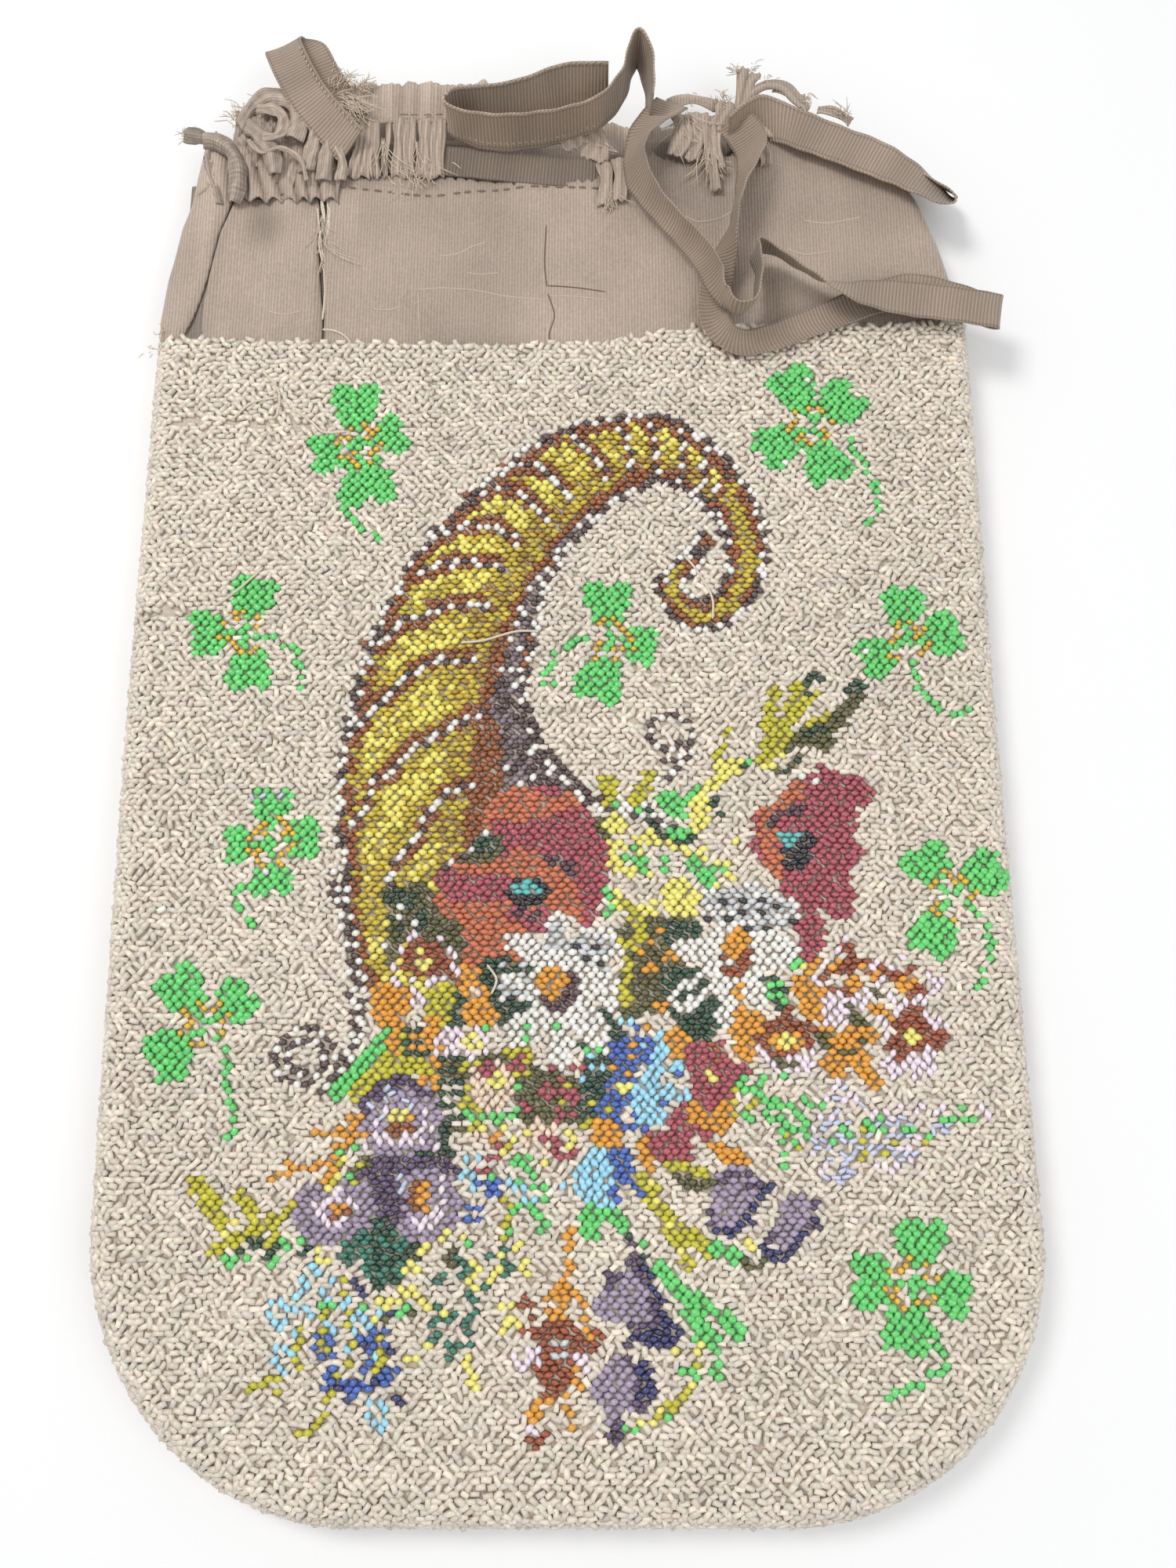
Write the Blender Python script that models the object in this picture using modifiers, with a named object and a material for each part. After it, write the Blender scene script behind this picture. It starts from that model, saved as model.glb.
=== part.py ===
"""A beaded drawstring purse lying flat on its back, with its mouth toward +Y.

The origin is on the floor under the middle of the beaded body: +X is to the right of the
pictured front, +Y runs to the mouth and +Z up. All lengths are in metres.
The bag is made of nested layers round one flat core: silk lining, knitted silk and the
layer of glass beads. The fields of coloured beads are inlays in shallow pockets of the
ground beads, drawn on a chart of squares that stretch with the bag.
"""

import math

import bmesh
import bpy
import numpy as np
from mathutils import Vector

# Driving sizes of the bag
BODY_WIDTH = 0.190
BODY_LENGTH = 0.248
CORNER_RADIUS = 0.054
INSIDE_DEPTH = 0.0050
LINING_WALL = 0.0004
KNIT_WALL = 0.0005
BEAD_WALL = 0.0014
SEAM_GAP = 0.0003
EDGE_BEAD_RADIUS = 0.0007
INLAY_THICKNESS = 0.0007
INLAY_GAP = 0.0003
POCKET_RISE = 0.0020
PRISM_STEP = 0.00002
CORNER_STEPS = 7
# Driving sizes of the silk collar and its casing
COLLAR_LENGTH = 0.070
COLLAR_WALL = 0.0005
COLLAR_TOP_HALF_WIDTH = 0.076
COLLAR_TOP_RADIUS = 0.0030
COLLAR_FULLNESS = 0.001
COLLAR_CURVE = 2.2
COLLAR_COLUMNS = 36
COLLAR_EDGE_COLUMNS = 6
COLLAR_ROWS = 6
SLIT_RISE = 0.0040
FOLD_HEIGHT = 0.0005
FOLD_RADIANS_PER_METRE = 260.0
FRONT_WALL_FROM = 0.9
FRILL_HEIGHT = 0.0085
FRILL_SHORTENING = 0.0080
FRILL_WAVE = 0.0005
FRILL_WAVES = 7
FRILL_COLUMNS = 28
FRILL_WALL = 0.0004
CASING_HEIGHT = 0.0400
STRIP_GAP = 0.0010
STRIP_LENGTH = 0.0150
STRIP_BULGE = 0.0010
STRIP_CROWN = 0.0004
STRIP_STEPS = 6
STRIP_WALL = 0.0004
# Driving sizes of the drawstring ribbon
RIBBON_WIDTH = 0.0100
RIBBON_WALL = 0.0004
CASING_RIBBON_WIDTH = 0.0066

# The chart's squares across the body, along it and along the collar, each about a millimetre
SQUARES_ACROSS = 190
SQUARES_ALONG = 248
COLLAR_SQUARES = 70
NEIGHBOUR_SQUARES = 1
MM = 0.001

MERGE = 1e-6

HALF_WIDTH = BODY_WIDTH / 2
HALF_LENGTH = BODY_LENGTH / 2
LINING_INSET = BEAD_WALL + KNIT_WALL + 2 * SEAM_GAP
KNIT_INSET = BEAD_WALL + SEAM_GAP
HALF_DEPTH = LINING_INSET + LINING_WALL + INSIDE_DEPTH / 2
MIDDLE_Z = HALF_DEPTH
TOP_Z = 2 * HALF_DEPTH
POCKET_DEPTH = INLAY_THICKNESS + INLAY_GAP
SQUARE_X = BODY_WIDTH / SQUARES_ACROSS
SQUARE_Y = BODY_LENGTH / SQUARES_ALONG
COLLAR_SQUARE_Y = COLLAR_LENGTH / COLLAR_SQUARES

COLOURS = {
    "ground": (0.60, 0.54, 0.46),
    "knit": (0.42, 0.36, 0.30),
    "silk": (0.47, 0.40, 0.34),
    "ribbon": (0.26, 0.21, 0.17),
    "green": (0.14, 0.45, 0.16),
    "gold": (0.62, 0.50, 0.10),
    "rust": (0.28, 0.10, 0.05),
    "umber": (0.07, 0.05, 0.05),
    "orange": (0.50, 0.18, 0.08),
    "rose": (0.33, 0.07, 0.09),
    "black": (0.02, 0.02, 0.02),
    "white": (0.72, 0.72, 0.68),
    "amber": (0.66, 0.31, 0.06),
    "lilac": (0.36, 0.29, 0.36),
    "sky": (0.38, 0.66, 0.85),
    "blue": (0.06, 0.14, 0.38),
    "olive": (0.48, 0.46, 0.04),
    "lemon": (0.80, 0.72, 0.22),
    "peach": (0.78, 0.58, 0.42),
}
GLASS_ROUGHNESS = 0.25
CLOTH_ROUGHNESS = 0.80


def collection(name):
    made = bpy.data.collections.new(name)
    bpy.context.scene.collection.children.link(made)
    return made


def clear_scene():
    for thing in list(bpy.data.objects):
        bpy.data.objects.remove(thing, do_unlink=True)


def material(colour, roughness):
    """One Principled material for each colour, made when it is first asked for."""
    found = bpy.data.materials.get(colour)
    if found:
        return found
    made = bpy.data.materials.new(colour)
    made.use_nodes = True
    shader = made.node_tree.nodes["Principled BSDF"]
    shader.inputs["Base Color"].default_value = (*COLOURS[colour], 1.0)
    shader.inputs["Roughness"].default_value = roughness
    shader.inputs["Metallic"].default_value = 0.0
    return made


def new_object(name, mesh, home, colour=None, roughness=CLOTH_ROUGHNESS):
    thing = bpy.data.objects.new(name, mesh)
    home.objects.link(thing)
    if colour:
        mesh.materials.clear()
        mesh.materials.append(material(colour, roughness))
    return thing


def guide(thing):
    """Marks a helper that only cuts or shapes others."""
    thing.hide_render = True
    thing.display_type = "WIRE"
    return thing


def mapped_grid(columns, rows, place, close=None):
    """A bmesh grid whose crossing (i, j) stands at place(i, j)."""
    bm = bmesh.new()
    bmesh.ops.create_grid(bm, x_segments=columns, y_segments=rows, size=1.0)
    crossing = {}
    for vert in bm.verts:
        i = round((vert.co.x + 1) / 2 * columns)
        j = round((vert.co.y + 1) / 2 * rows)
        crossing[i, j] = vert
    for (i, j), vert in crossing.items():
        vert.co = place(i, j)
    if close:
        close(bm, crossing)
    bmesh.ops.remove_doubles(bm, verts=bm.verts, dist=MERGE)
    bmesh.ops.recalc_face_normals(bm, faces=bm.faces)
    return bm


def face_up(bm):
    """Turns the surface so that its highest face looks up."""
    bm.normal_update()
    highest = max(bm.faces, key=lambda face: face.calc_center_median().z)
    if highest.normal.z < 0:
        bmesh.ops.reverse_faces(bm, faces=bm.faces)


def thickened(name, bm, wall, home, colour, roughness=CLOTH_ROUGHNESS, offset=-1.0):
    """The surface with a wall laid under it, or round it with offset 0."""
    mesh = bpy.data.meshes.new(name)
    bm.to_mesh(mesh)
    bm.free()
    thing = new_object(name, mesh, home, colour, roughness)
    solidify = thing.modifiers.new("wall", "SOLIDIFY")
    solidify.thickness = wall
    solidify.offset = offset
    solidify.use_even_offset = True
    return thing


def baked(thing):
    """Replaces the object's mesh by what its modifiers make of it."""
    bpy.context.view_layer.update()
    graph = bpy.context.evaluated_depsgraph_get()
    mesh = bpy.data.meshes.new_from_object(thing.evaluated_get(graph))
    thing.modifiers.clear()
    thing.data = mesh
    return thing


def keep_largest(thing):
    """Drops the crumbs that a cut leaves beside the main body."""
    bm = bmesh.new()
    bm.from_mesh(thing.data)
    bmesh.ops.remove_doubles(bm, verts=bm.verts, dist=MERGE)
    left = set(bm.faces)
    bodies = []
    while left:
        body = {left.pop()}
        edge_of_it = list(body)
        while edge_of_it:
            face = edge_of_it.pop()
            for edge in face.edges:
                for other in edge.link_faces:
                    if other in left:
                        left.discard(other)
                        body.add(other)
                        edge_of_it.append(other)
        bodies.append(body)
    largest = max(bodies, key=lambda body: sum(face.calc_area() for face in body))
    extra = [face for body in bodies if body is not largest for face in body]
    bmesh.ops.delete(bm, geom=extra, context="FACES")
    bm.to_mesh(thing.data)
    bm.free()


def boolean(thing, operation, other, solver="EXACT"):
    cut = thing.modifiers.new(operation.lower(), "BOOLEAN")
    cut.operation = operation
    cut.solver = solver
    if isinstance(other, bpy.types.Collection):
        cut.operand_type = "COLLECTION"
        cut.collection = other
    else:
        cut.object = other


# Outlines on the chart


def closed_curve(points, steps=3):
    """A smooth closed outline through points, with steps between each pair."""
    count = len(points)
    out = []
    for k in range(count):
        a, b, c, d = (points[(k + step) % count] for step in (-1, 0, 1, 2))
        for step in range(steps):
            t = step / steps
            out.append(
                tuple(
                    0.5
                    * (
                        2 * b[axis]
                        + (c[axis] - a[axis]) * t
                        + (2 * a[axis] - 5 * b[axis] + 4 * c[axis] - d[axis]) * t**2
                        + (3 * b[axis] - a[axis] - 3 * c[axis] + d[axis]) * t**3
                    )
                    for axis in (0, 1)
                )
            )
    return out


def open_curve(stations, steps=3):
    """Values between the stations of an open line, each station a tuple of any length."""
    rows = [stations[0], *stations, stations[-1]]
    out = []
    for k in range(1, len(rows) - 2):
        a, b, c, d = (np.array(row, float) for row in rows[k - 1 : k + 3])
        for step in range(steps):
            t = step / steps
            out.append(
                0.5
                * (
                    2 * b
                    + (c - a) * t
                    + (2 * a - 5 * b + 4 * c - d) * t**2
                    + (3 * b - a - 3 * c + d) * t**3
                )
            )
    out.append(np.array(stations[-1], float))
    return out


def ellipse(x, y, width, height, turn=0.0, points=14):
    out = []
    for k in range(points):
        angle = 2 * math.pi * k / points
        across = width / 2 * math.cos(angle)
        up = height / 2 * math.sin(angle)
        lean = math.radians(turn)
        out.append(
            (
                x + across * math.cos(lean) - up * math.sin(lean),
                y + across * math.sin(lean) + up * math.cos(lean),
            )
        )
    return out


def rosette(x, y, radius, petals, notch=0.24, turn=0.0):
    """A flower's outline: a circle whose radius dips between the petals."""
    out = []
    for k in range(petals * 4):
        angle = 2 * math.pi * k / (petals * 4)
        dip = notch * (0.5 - 0.5 * math.cos(petals * angle))
        reach = radius * (1 - dip)
        bearing = angle + math.radians(turn)
        out.append((x + reach * math.cos(bearing), y + reach * math.sin(bearing)))
    return out


def stroke(points, width, taper=1.0, steps=2):
    """The outline of a line drawn with a pen, narrower by taper at its end."""
    line = open_curve([(*point,) for point in points], steps)
    left, right = [], []
    for k, point in enumerate(line):
        ahead = line[min(k + 1, len(line) - 1)] - line[max(k - 1, 0)]
        ahead = ahead / np.hypot(*ahead)
        share = k / (len(line) - 1)
        half = width / 2 * (1 + (taper - 1) * share)
        side = np.array((-ahead[1], ahead[0])) * half
        left.append(tuple(point + side))
        right.append(tuple(point - side))
    return left + right[::-1]


def clover(x, y, leaves):
    """A clover seen from its heart. Each leaf is (bearing, length, half its spread)."""
    out = []
    leaves = sorted(leaves)
    for k, (bearing, length, spread) in enumerate(leaves):
        for share in (-0.9, -0.5, -0.22, 0.0, 0.22, 0.5, 0.9):
            swell = (1 - share**4) ** 0.5
            notch = 1 - 0.16 * math.exp(-((share / 0.2) ** 2))
            reach = CLOVER_HEART + (length - CLOVER_HEART) * swell * notch
            out.append((bearing + spread * share, reach))
        after, _, after_spread = leaves[(k + 1) % len(leaves)]
        free = (after - bearing) % 360 - spread - after_spread
        valley = bearing + spread + free / 2
        wings = (0.0,) if free < 50 else (0.3 - free / 2, free / 2 - 0.3)
        out += [(valley + wing, CLOVER_HEART) for wing in wings]
    return [
        (x + reach * math.cos(math.radians(angle)), y + reach * math.sin(math.radians(angle)))
        for angle, reach in out
    ]


def grown(outline, by):
    """The outline moved outward by a distance, each corner along the middle of its two sides."""
    points = np.array(outline, float)
    side = np.roll(points, -1, 0) - points
    side /= np.maximum(np.hypot(side[:, 0], side[:, 1])[:, None], 1e-9)
    after = np.roll(points, -1, 0)
    area = np.sum(points[:, 0] * after[:, 1] - points[:, 1] * after[:, 0])
    outward = np.stack([side[:, 1], -side[:, 0]], 1) * (1 if area > 0 else -1)
    corner = outward + np.roll(outward, 1, 0)
    corner /= np.maximum(np.hypot(corner[:, 0], corner[:, 1])[:, None], 1e-9)
    lean = np.clip(np.sum(corner * outward, 1), 0.7, 1.0)[:, None]
    return [tuple(point) for point in points + corner * by / lean]


CLOVERS = {
    "clover_upper_left": (
        (-47, 99),
        [(97, 15, 33), (18, 11, 40), (198, 11.5, 38), (283, 15.5, 36)],
        [(-49, 95), (-50.5, 88), (-50.5, 84), (-48.5, 80.5), (-42.5, 76)],
    ),
    "clover_upper_right": (
        (55.5, 104),
        [(110, 15.5, 33), (38, 14, 37), (214, 14.5, 34), (288, 15.5, 32)],
        [(57, 102.5), (63, 100), (67.5, 92), (69.5, 86), (67, 79)],
    ),
    "clover_left": (
        (-70.5, 54.5),
        [(80, 13, 36), (184, 12, 38), (278, 14, 32)],
        [(-69, 54.5), (-62, 52), (-58.5, 48), (-57, 42.5)],
    ),
    "clover_middle": (
        (9.5, 52.5),
        [(93, 13.5, 34), (350, 10.5, 38), (256, 15, 32)],
        [(8, 52.5), (3, 53), (-1, 51), (-3.5, 46), (-3.5, 41)],
    ),
    "clover_right": (
        (74.5, 51.5),
        [(93, 13.5, 33), (16, 12.5, 36), (203, 12, 34)],
        [(74.5, 50), (75, 45), (77.5, 40.5), (81, 36.5), (86, 36)],
    ),
    "clover_lower_left": (
        (-62, 7.5),
        [(90, 12, 30), (8, 10.5, 40), (183, 9.5, 38), (275, 11.5, 34)],
        [(-64, 5.5), (-67.5, -1), (-68.5, -5), (-65, -10)],
    ),
    "clover_lower_right": (
        (80.5, -4),
        [(122, 13, 34), (33, 13.5, 32), (243, 13.5, 33)],
        [(82, -4), (86.5, -8), (88, -13), (87, -18), (85, -21.5)],
    ),
    "clover_bottom_left": (
        (-73, -30.5),
        [(126, 14, 30), (42, 11.5, 36), (218, 13.5, 36)],
        [(-72, -32), (-68.5, -36.5), (-66.5, -43), (-66.5, -51.5)],
    ),
    "clover_bottom_right": (
        (68, -79.5),
        [(77, 12.5, 36), (346, 11.5, 32), (177, 12, 38), (259, 13, 34)],
        [(69, -81), (72, -88), (73, -94.5), (68, -98), (61, -101)],
    ),
}

STEM_WIDTH = 2.2
CLOVER_HEART = 2.6

# The horn's middle line on the chart: x, y and half its width
HORN = [
    (-29.5, -24, 12),
    (-28.5, -6, 17),
    (-28.5, 18, 19.8),
    (-27, 40, 18.6),
    (-23.5, 55, 17),
    (-18.5, 68, 15),
    (-10, 80, 12.6),
    (0.5, 90.7, 11.6),
    (10, 95.7, 9.6),
    (19.5, 98, 8.3),
    (27.5, 94.7, 6.6),
    (34.5, 88.5, 5.6),
    (39, 80, 4.4),
    (40, 71, 3.8),
    (37.3, 62.5, 3.4),
    (31, 58, 3.6),
    (25, 60.5, 3.0),
    (23.5, 66, 2.6),
    (27, 70.5, 2.2),
]
HORN_OUTLINE_WIDTH = 1.9
HORN_STEPS = 1
HORN_RIBS = 8
HORN_SPINE_WIDTH = 2.0
HORN_SPINE_FIRST = 1
HORN_SPINE_LAST = 11


def horn_point(line, place, across):
    """The point at place along the horn's line, where across runs from -1, its outer edge, to 1."""
    k = min(int(place), len(line) - 2)
    here = line[k] + (line[k + 1] - line[k]) * (place - k)
    ahead = line[min(k + 1, len(line) - 1)] - line[max(k - 1, 0)]
    ahead = ahead[:2] / np.hypot(*ahead[:2])
    side = np.array((ahead[1], -ahead[0]))
    return tuple(here[:2] + side * here[2] * across)


def horn_outline(inset):
    """The horn's whole outline, moved in by inset."""
    line = open_curve(HORN, HORN_STEPS)
    outer, inner = [], []
    for k, (_, _, half) in enumerate(line):
        share = max(1 - inset / half, 0.12)
        outer.append(horn_point(line, k, -share))
        inner.append(horn_point(line, k, share))
    return outer + inner[::-1]


def horn_spine_share(half):
    """Where the rust line along the horn's outer edge runs, just inside the outline."""
    return -max(1 - (HORN_OUTLINE_WIDTH + HORN_SPINE_WIDTH / 2) / half, 0.3)


def horn_spine():
    line = open_curve(HORN, HORN_STEPS)
    run = range(HORN_SPINE_FIRST, HORN_SPINE_LAST + 1)
    return stroke([horn_point(line, k, horn_spine_share(line[k][2])) for k in run],
                  HORN_SPINE_WIDTH, 0.7, 1)


def horn_rib(number):
    """One slanted rust line of the horn, from its outer outline almost to its inner one."""
    line = open_curve(HORN, HORN_STEPS)
    share = number / (HORN_RIBS - 1)
    start = HORN_SPINE_FIRST + 0.5 + (HORN_SPINE_LAST - HORN_SPINE_FIRST - 1.5) * share
    width = 2.2 - 0.8 * share
    edge = horn_spine_share(line[int(start)][2])
    reach = [(edge, 0.0), (-0.45, 0.25), (0.0, 0.5), (0.42, 0.7), (0.66, 0.8)]
    return stroke([horn_point(line, start + rise, across) for across, rise in reach], width, 1, 1)


# Each field of coloured beads: name, outline and colour, the front ones first
FIELDS = [
    ("poppy_left_eye", ellipse(-8, -3.2, 9.4, 9), "black"),
    ("poppy_right_eye", ellipse(48.2, 6.4, 8.2, 9), "black"),
    (
        "poppy_left",
        closed_curve(
            [
                (-13, 19), (-2, 19.5), (5, 14.5), (8.5, 8), (9.5, 1), (8, -6), (5, -14),
                (3, -10), (-4, -8), (-8, -12), (-9, -18), (-15, -19), (-20, -17),
                (-22.5, -9), (-26.5, -4), (-24, 2.5), (-15, 4), (-18, 10),
            ],
            2,
        ),
        "orange",
    ),
    (
        "poppy_right",
        closed_curve(
            [
                (41, 13.5), (46.5, 20.5), (55, 23.5), (62, 22), (65.5, 16), (62, 10.5),
                (61.5, 2), (58, -7), (53, -7), (53.5, -14), (50, -16.5), (47.5, -9),
                (43.5, -5.5), (42.5, 0), (39.5, 6),
            ],
            2,
        ),
        "rose",
    ),
    ("daisy_left_eye", ellipse(-1.8, -23.2, 8.4, 9.4), "amber"),
    ("daisy_right_eye", ellipse(35, -15, 6.4, 8), "amber"),
    ("daisy_left", rosette(-1.5, -23.5, 14.0, 8, 0.30, 12), "white"),
    ("daisy_right", rosette(35.5, -14.5, 13.8, 8, 0.30, 0), "white"),
    (
        "rose_blossom",
        closed_curve(
            [
                (25, -33), (33, -31), (38, -36), (35, -41), (31, -47), (29, -52),
                (24, -58), (17, -57), (16, -52), (22, -48), (24, -42),
            ],
            2,
        ),
        "rose",
    ),
    ("cornflower_upper", rosette(16, -42, 9.6, 6, 0.26, 10), "sky"),
    ("cornflower_lower", rosette(7, -60, 7.6, 5, 0.24, 20), "blue"),
    ("aster_top", rosette(-33, -48.3, 8.8, 8, 0.14, 0), "lilac"),
    ("aster_left", rosette(-44.5, -65.5, 8.4, 8, 0.14, 10), "lilac"),
    ("aster_right", rosette(-27.5, -64.5, 7.6, 8, 0.14, 20), "lilac"),
    ("blossom_left", rosette(-28, -16.5, 7.4, 6, 0.2, 0), "rust"),
    ("blossom_middle", rosette(45, -33, 7.6, 6, 0.2, 10), "rust"),
    ("blossom_right", rosette(70.5, -32.5, 8.4, 6, 0.24, 0), "rust"),
    ("blossom_high", rosette(60, -21, 8.2, 5, 0.26, 30), "rust"),
    ("peach_blossom", rosette(-12, -46, 8.6, 5, 0.22, 50), "peach"),
    ("violet_upper", ellipse(35.3, -65, 13.5, 10.5, 30), "lilac"),
    ("violet_right", ellipse(45, -70.5, 14.5, 8.5, 52), "lilac"),
    ("violet_middle", ellipse(15, -84.5, 16, 12.5, -38), "lilac"),
    ("violet_low", ellipse(12.3, -98, 12.5, 11, 20), "lilac"),
    (
        "leaf_spray_right",
        stroke([(36, -44), (45, -50), (58, -52), (70, -50), (83, -47)], 6, 0.3),
        "green",
    ),
    ("leaf_spray_low", stroke([(20, -78), (25, -84), (29, -91), (29.5, -97)], 4.5, 0.6), "green"),
    ("olive_sprig_left", stroke([(-51, -73), (-60, -69), (-68, -65), (-72, -62)], 7, 0.5), "olive"),
    ("olive_leaf", stroke([(43, 27), (50, 33), (57, 39), (63, 41)], 7, 0.5), "olive"),
    ("lemon_spray", stroke([(9, -1), (16, 6), (24, 15), (33, 24)], 6, 0.7), "lemon"),
    ("lemon_spray_low", stroke([(-28, -74), (-24, -82), (-17, -90), (-18, -98)], 5, 0.6), "lemon"),
    ("blue_sprig", stroke([(-41, -77), (-44, -86), (-41, -94), (-35, -101)], 9, 0.6), "sky"),
    ("stalk_flower", stroke([(0, -70), (-1, -80), (-1, -92), (-4, -106)], 8, 0.7), "rust"),
]


def on_bag(point):
    """A chart point in metres. Its squares stretch with the body, and above the mouth with the collar."""
    x, y = point
    above = y - SQUARES_ALONG / 2
    if above <= 0:
        return x * SQUARE_X, y * SQUARE_Y
    return x * SQUARE_X, HALF_LENGTH + above * COLLAR_SQUARE_Y


def flat_outline(name, outline, low, high, home):
    """A closed outline in metres, filled and raised from low to high as one mesh."""
    curve = bpy.data.curves.new(name, "CURVE")
    curve.dimensions = "2D"
    curve.fill_mode = "BOTH"
    curve.extrude = (high - low) / 2
    spline = curve.splines.new("POLY")
    spline.points.add(len(outline) - 1)
    for point, (x, y) in zip(spline.points, outline):
        point.co = (x, y, 0.0, 1.0)
    spline.use_cyclic_u = True
    thing = bpy.data.objects.new(name, curve)
    home.objects.link(thing)
    thing.location.z = (high + low) / 2
    bpy.context.view_layer.update()
    graph = bpy.context.evaluated_depsgraph_get()
    mesh = bpy.data.meshes.new_from_object(thing.evaluated_get(graph))
    mesh.transform(thing.matrix_world)
    bpy.data.objects.remove(thing, do_unlink=True)
    bm = bmesh.new()
    bm.from_mesh(mesh)
    bmesh.ops.remove_doubles(bm, verts=bm.verts, dist=MERGE)
    bmesh.ops.recalc_face_normals(bm, faces=bm.faces)
    bm.to_mesh(mesh)
    bm.free()
    return new_object(name, mesh, home)


def union_of(name, pieces):
    """The first of several overlapping prisms, with the others joined to it."""
    first = pieces[0]
    for other in pieces[1:]:
        boolean(first, "UNION", other, "MANIFOLD")
    baked(first)
    for other in pieces[1:]:
        bpy.data.objects.remove(other, do_unlink=True)
    first.name = name
    return guide(first)


# The body's layers


def core_outline():
    """The flat core's edge from the left of the mouth round the bottom, with its outward direction."""
    side = HALF_WIDTH - HALF_DEPTH
    radius = CORNER_RADIUS - HALF_DEPTH
    centre_x = HALF_WIDTH - CORNER_RADIUS
    centre_y = CORNER_RADIUS - HALF_LENGTH
    points = [(-side, HALF_LENGTH, math.pi), (-side, (HALF_LENGTH + centre_y) / 2, math.pi)]
    for k in range(CORNER_STEPS + 1):
        angle = math.pi + math.pi / 2 * k / CORNER_STEPS
        points.append(
            (-centre_x + radius * math.cos(angle), centre_y + radius * math.sin(angle), angle)
        )
    for k in range(CORNER_STEPS + 1):
        angle = 1.5 * math.pi + math.pi / 2 * k / CORNER_STEPS
        points.append(
            (centre_x + radius * math.cos(angle), centre_y + radius * math.sin(angle), angle)
        )
    points.append((side, (HALF_LENGTH + centre_y) / 2, 2 * math.pi))
    points.append((side, HALF_LENGTH, 2 * math.pi))
    return points


def layer_surface(inset, first_angle, last_angle, steps):
    """The surface that lies HALF_DEPTH less inset from the core, rolled round its edge.

    The roll's angle is 0 on top and 180 degrees underneath. A flat face closes each side
    that the roll reaches, and the mouth stays open.
    """
    outline = core_outline()
    reach = HALF_DEPTH - inset

    def place(i, j):
        x, y, bearing = outline[i]
        roll = math.radians(first_angle + (last_angle - first_angle) * j / steps)
        out = reach * math.sin(roll)
        return Vector(
            (
                x + out * math.cos(bearing),
                y + out * math.sin(bearing),
                MIDDLE_Z + reach * math.cos(roll),
            )
        )

    def close(bm, crossing):
        if first_angle == 0:
            bm.faces.new([crossing[i, 0] for i in range(len(outline))])
        if last_angle == 180:
            bm.faces.new([crossing[i, steps] for i in range(len(outline))])

    bm = mapped_grid(len(outline) - 1, steps, place, close)
    face_up(bm)
    return bm


def bead_sheet(name, front, home, inset=0.0, wall=BEAD_WALL):
    """The front or back layer of ground beads, down to just above the edge row of beads."""
    room = math.degrees((EDGE_BEAD_RADIUS + SEAM_GAP) / (HALF_DEPTH - BEAD_WALL))
    if front:
        bm = layer_surface(inset, 0, 90 - room, 3)
    else:
        bm = layer_surface(inset, 90 + room, 180, 3)
        bmesh.ops.reverse_faces(bm, faces=bm.faces)
        bm.normal_update()
        lowest = min(bm.faces, key=lambda face: face.calc_center_median().z)
        if lowest.normal.z > 0:
            bmesh.ops.reverse_faces(bm, faces=bm.faces)
    return thickened(name, bm, wall, home, "ground", GLASS_ROUGHNESS)


def edge_row(home):
    """The row of beads that closes the side and bottom edges."""
    curve = bpy.data.curves.new("edge_beads", "CURVE")
    curve.dimensions = "3D"
    curve.bevel_depth = EDGE_BEAD_RADIUS
    curve.bevel_resolution = 1
    curve.use_fill_caps = True
    spline = curve.splines.new("POLY")
    outline = core_outline()
    reach = HALF_DEPTH - EDGE_BEAD_RADIUS
    spline.points.add(len(outline) - 1)
    for point, (x, y, bearing) in zip(spline.points, outline):
        point.co = (x + reach * math.cos(bearing), y + reach * math.sin(bearing), MIDDLE_Z, 1.0)
    thing = bpy.data.objects.new("edge_beads", curve)
    home.objects.link(thing)
    curve.materials.append(material("ground", GLASS_ROUGHNESS))
    return thing


# The silk collar


def collar_shape(height):
    """Half the width and the roll radius of the collar at a height above the mouth, both in metres."""
    share = height / COLLAR_LENGTH
    start_width = HALF_WIDTH - KNIT_INSET + COLLAR_FULLNESS
    half = start_width + (COLLAR_TOP_HALF_WIDTH - start_width) * share**COLLAR_CURVE
    start_radius = HALF_DEPTH - KNIT_INSET
    radius = start_radius + (COLLAR_TOP_RADIUS - start_radius) * share
    return half, radius


def collar_loop(share, half, radius):
    """A point of the flattened loop: share runs once round, from the left edge over the front."""
    turn = share * COLLAR_COLUMNS
    front = COLLAR_COLUMNS // 2
    side = 1 if turn <= front else -1
    local = turn if turn <= front else COLLAR_COLUMNS - turn
    straight = half - radius
    bend = COLLAR_EDGE_COLUMNS / 2
    if local < bend:
        angle = math.pi - math.pi / 2 * local / bend
        return -straight + radius * math.cos(angle), side * radius * math.sin(angle)
    if local > front - bend:
        angle = math.pi / 2 * (front - local) / bend
        return straight + radius * math.cos(angle), side * radius * math.sin(angle)
    run = (local - bend) / (front - COLLAR_EDGE_COLUMNS)
    return -straight + 2 * straight * run, side * radius


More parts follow.
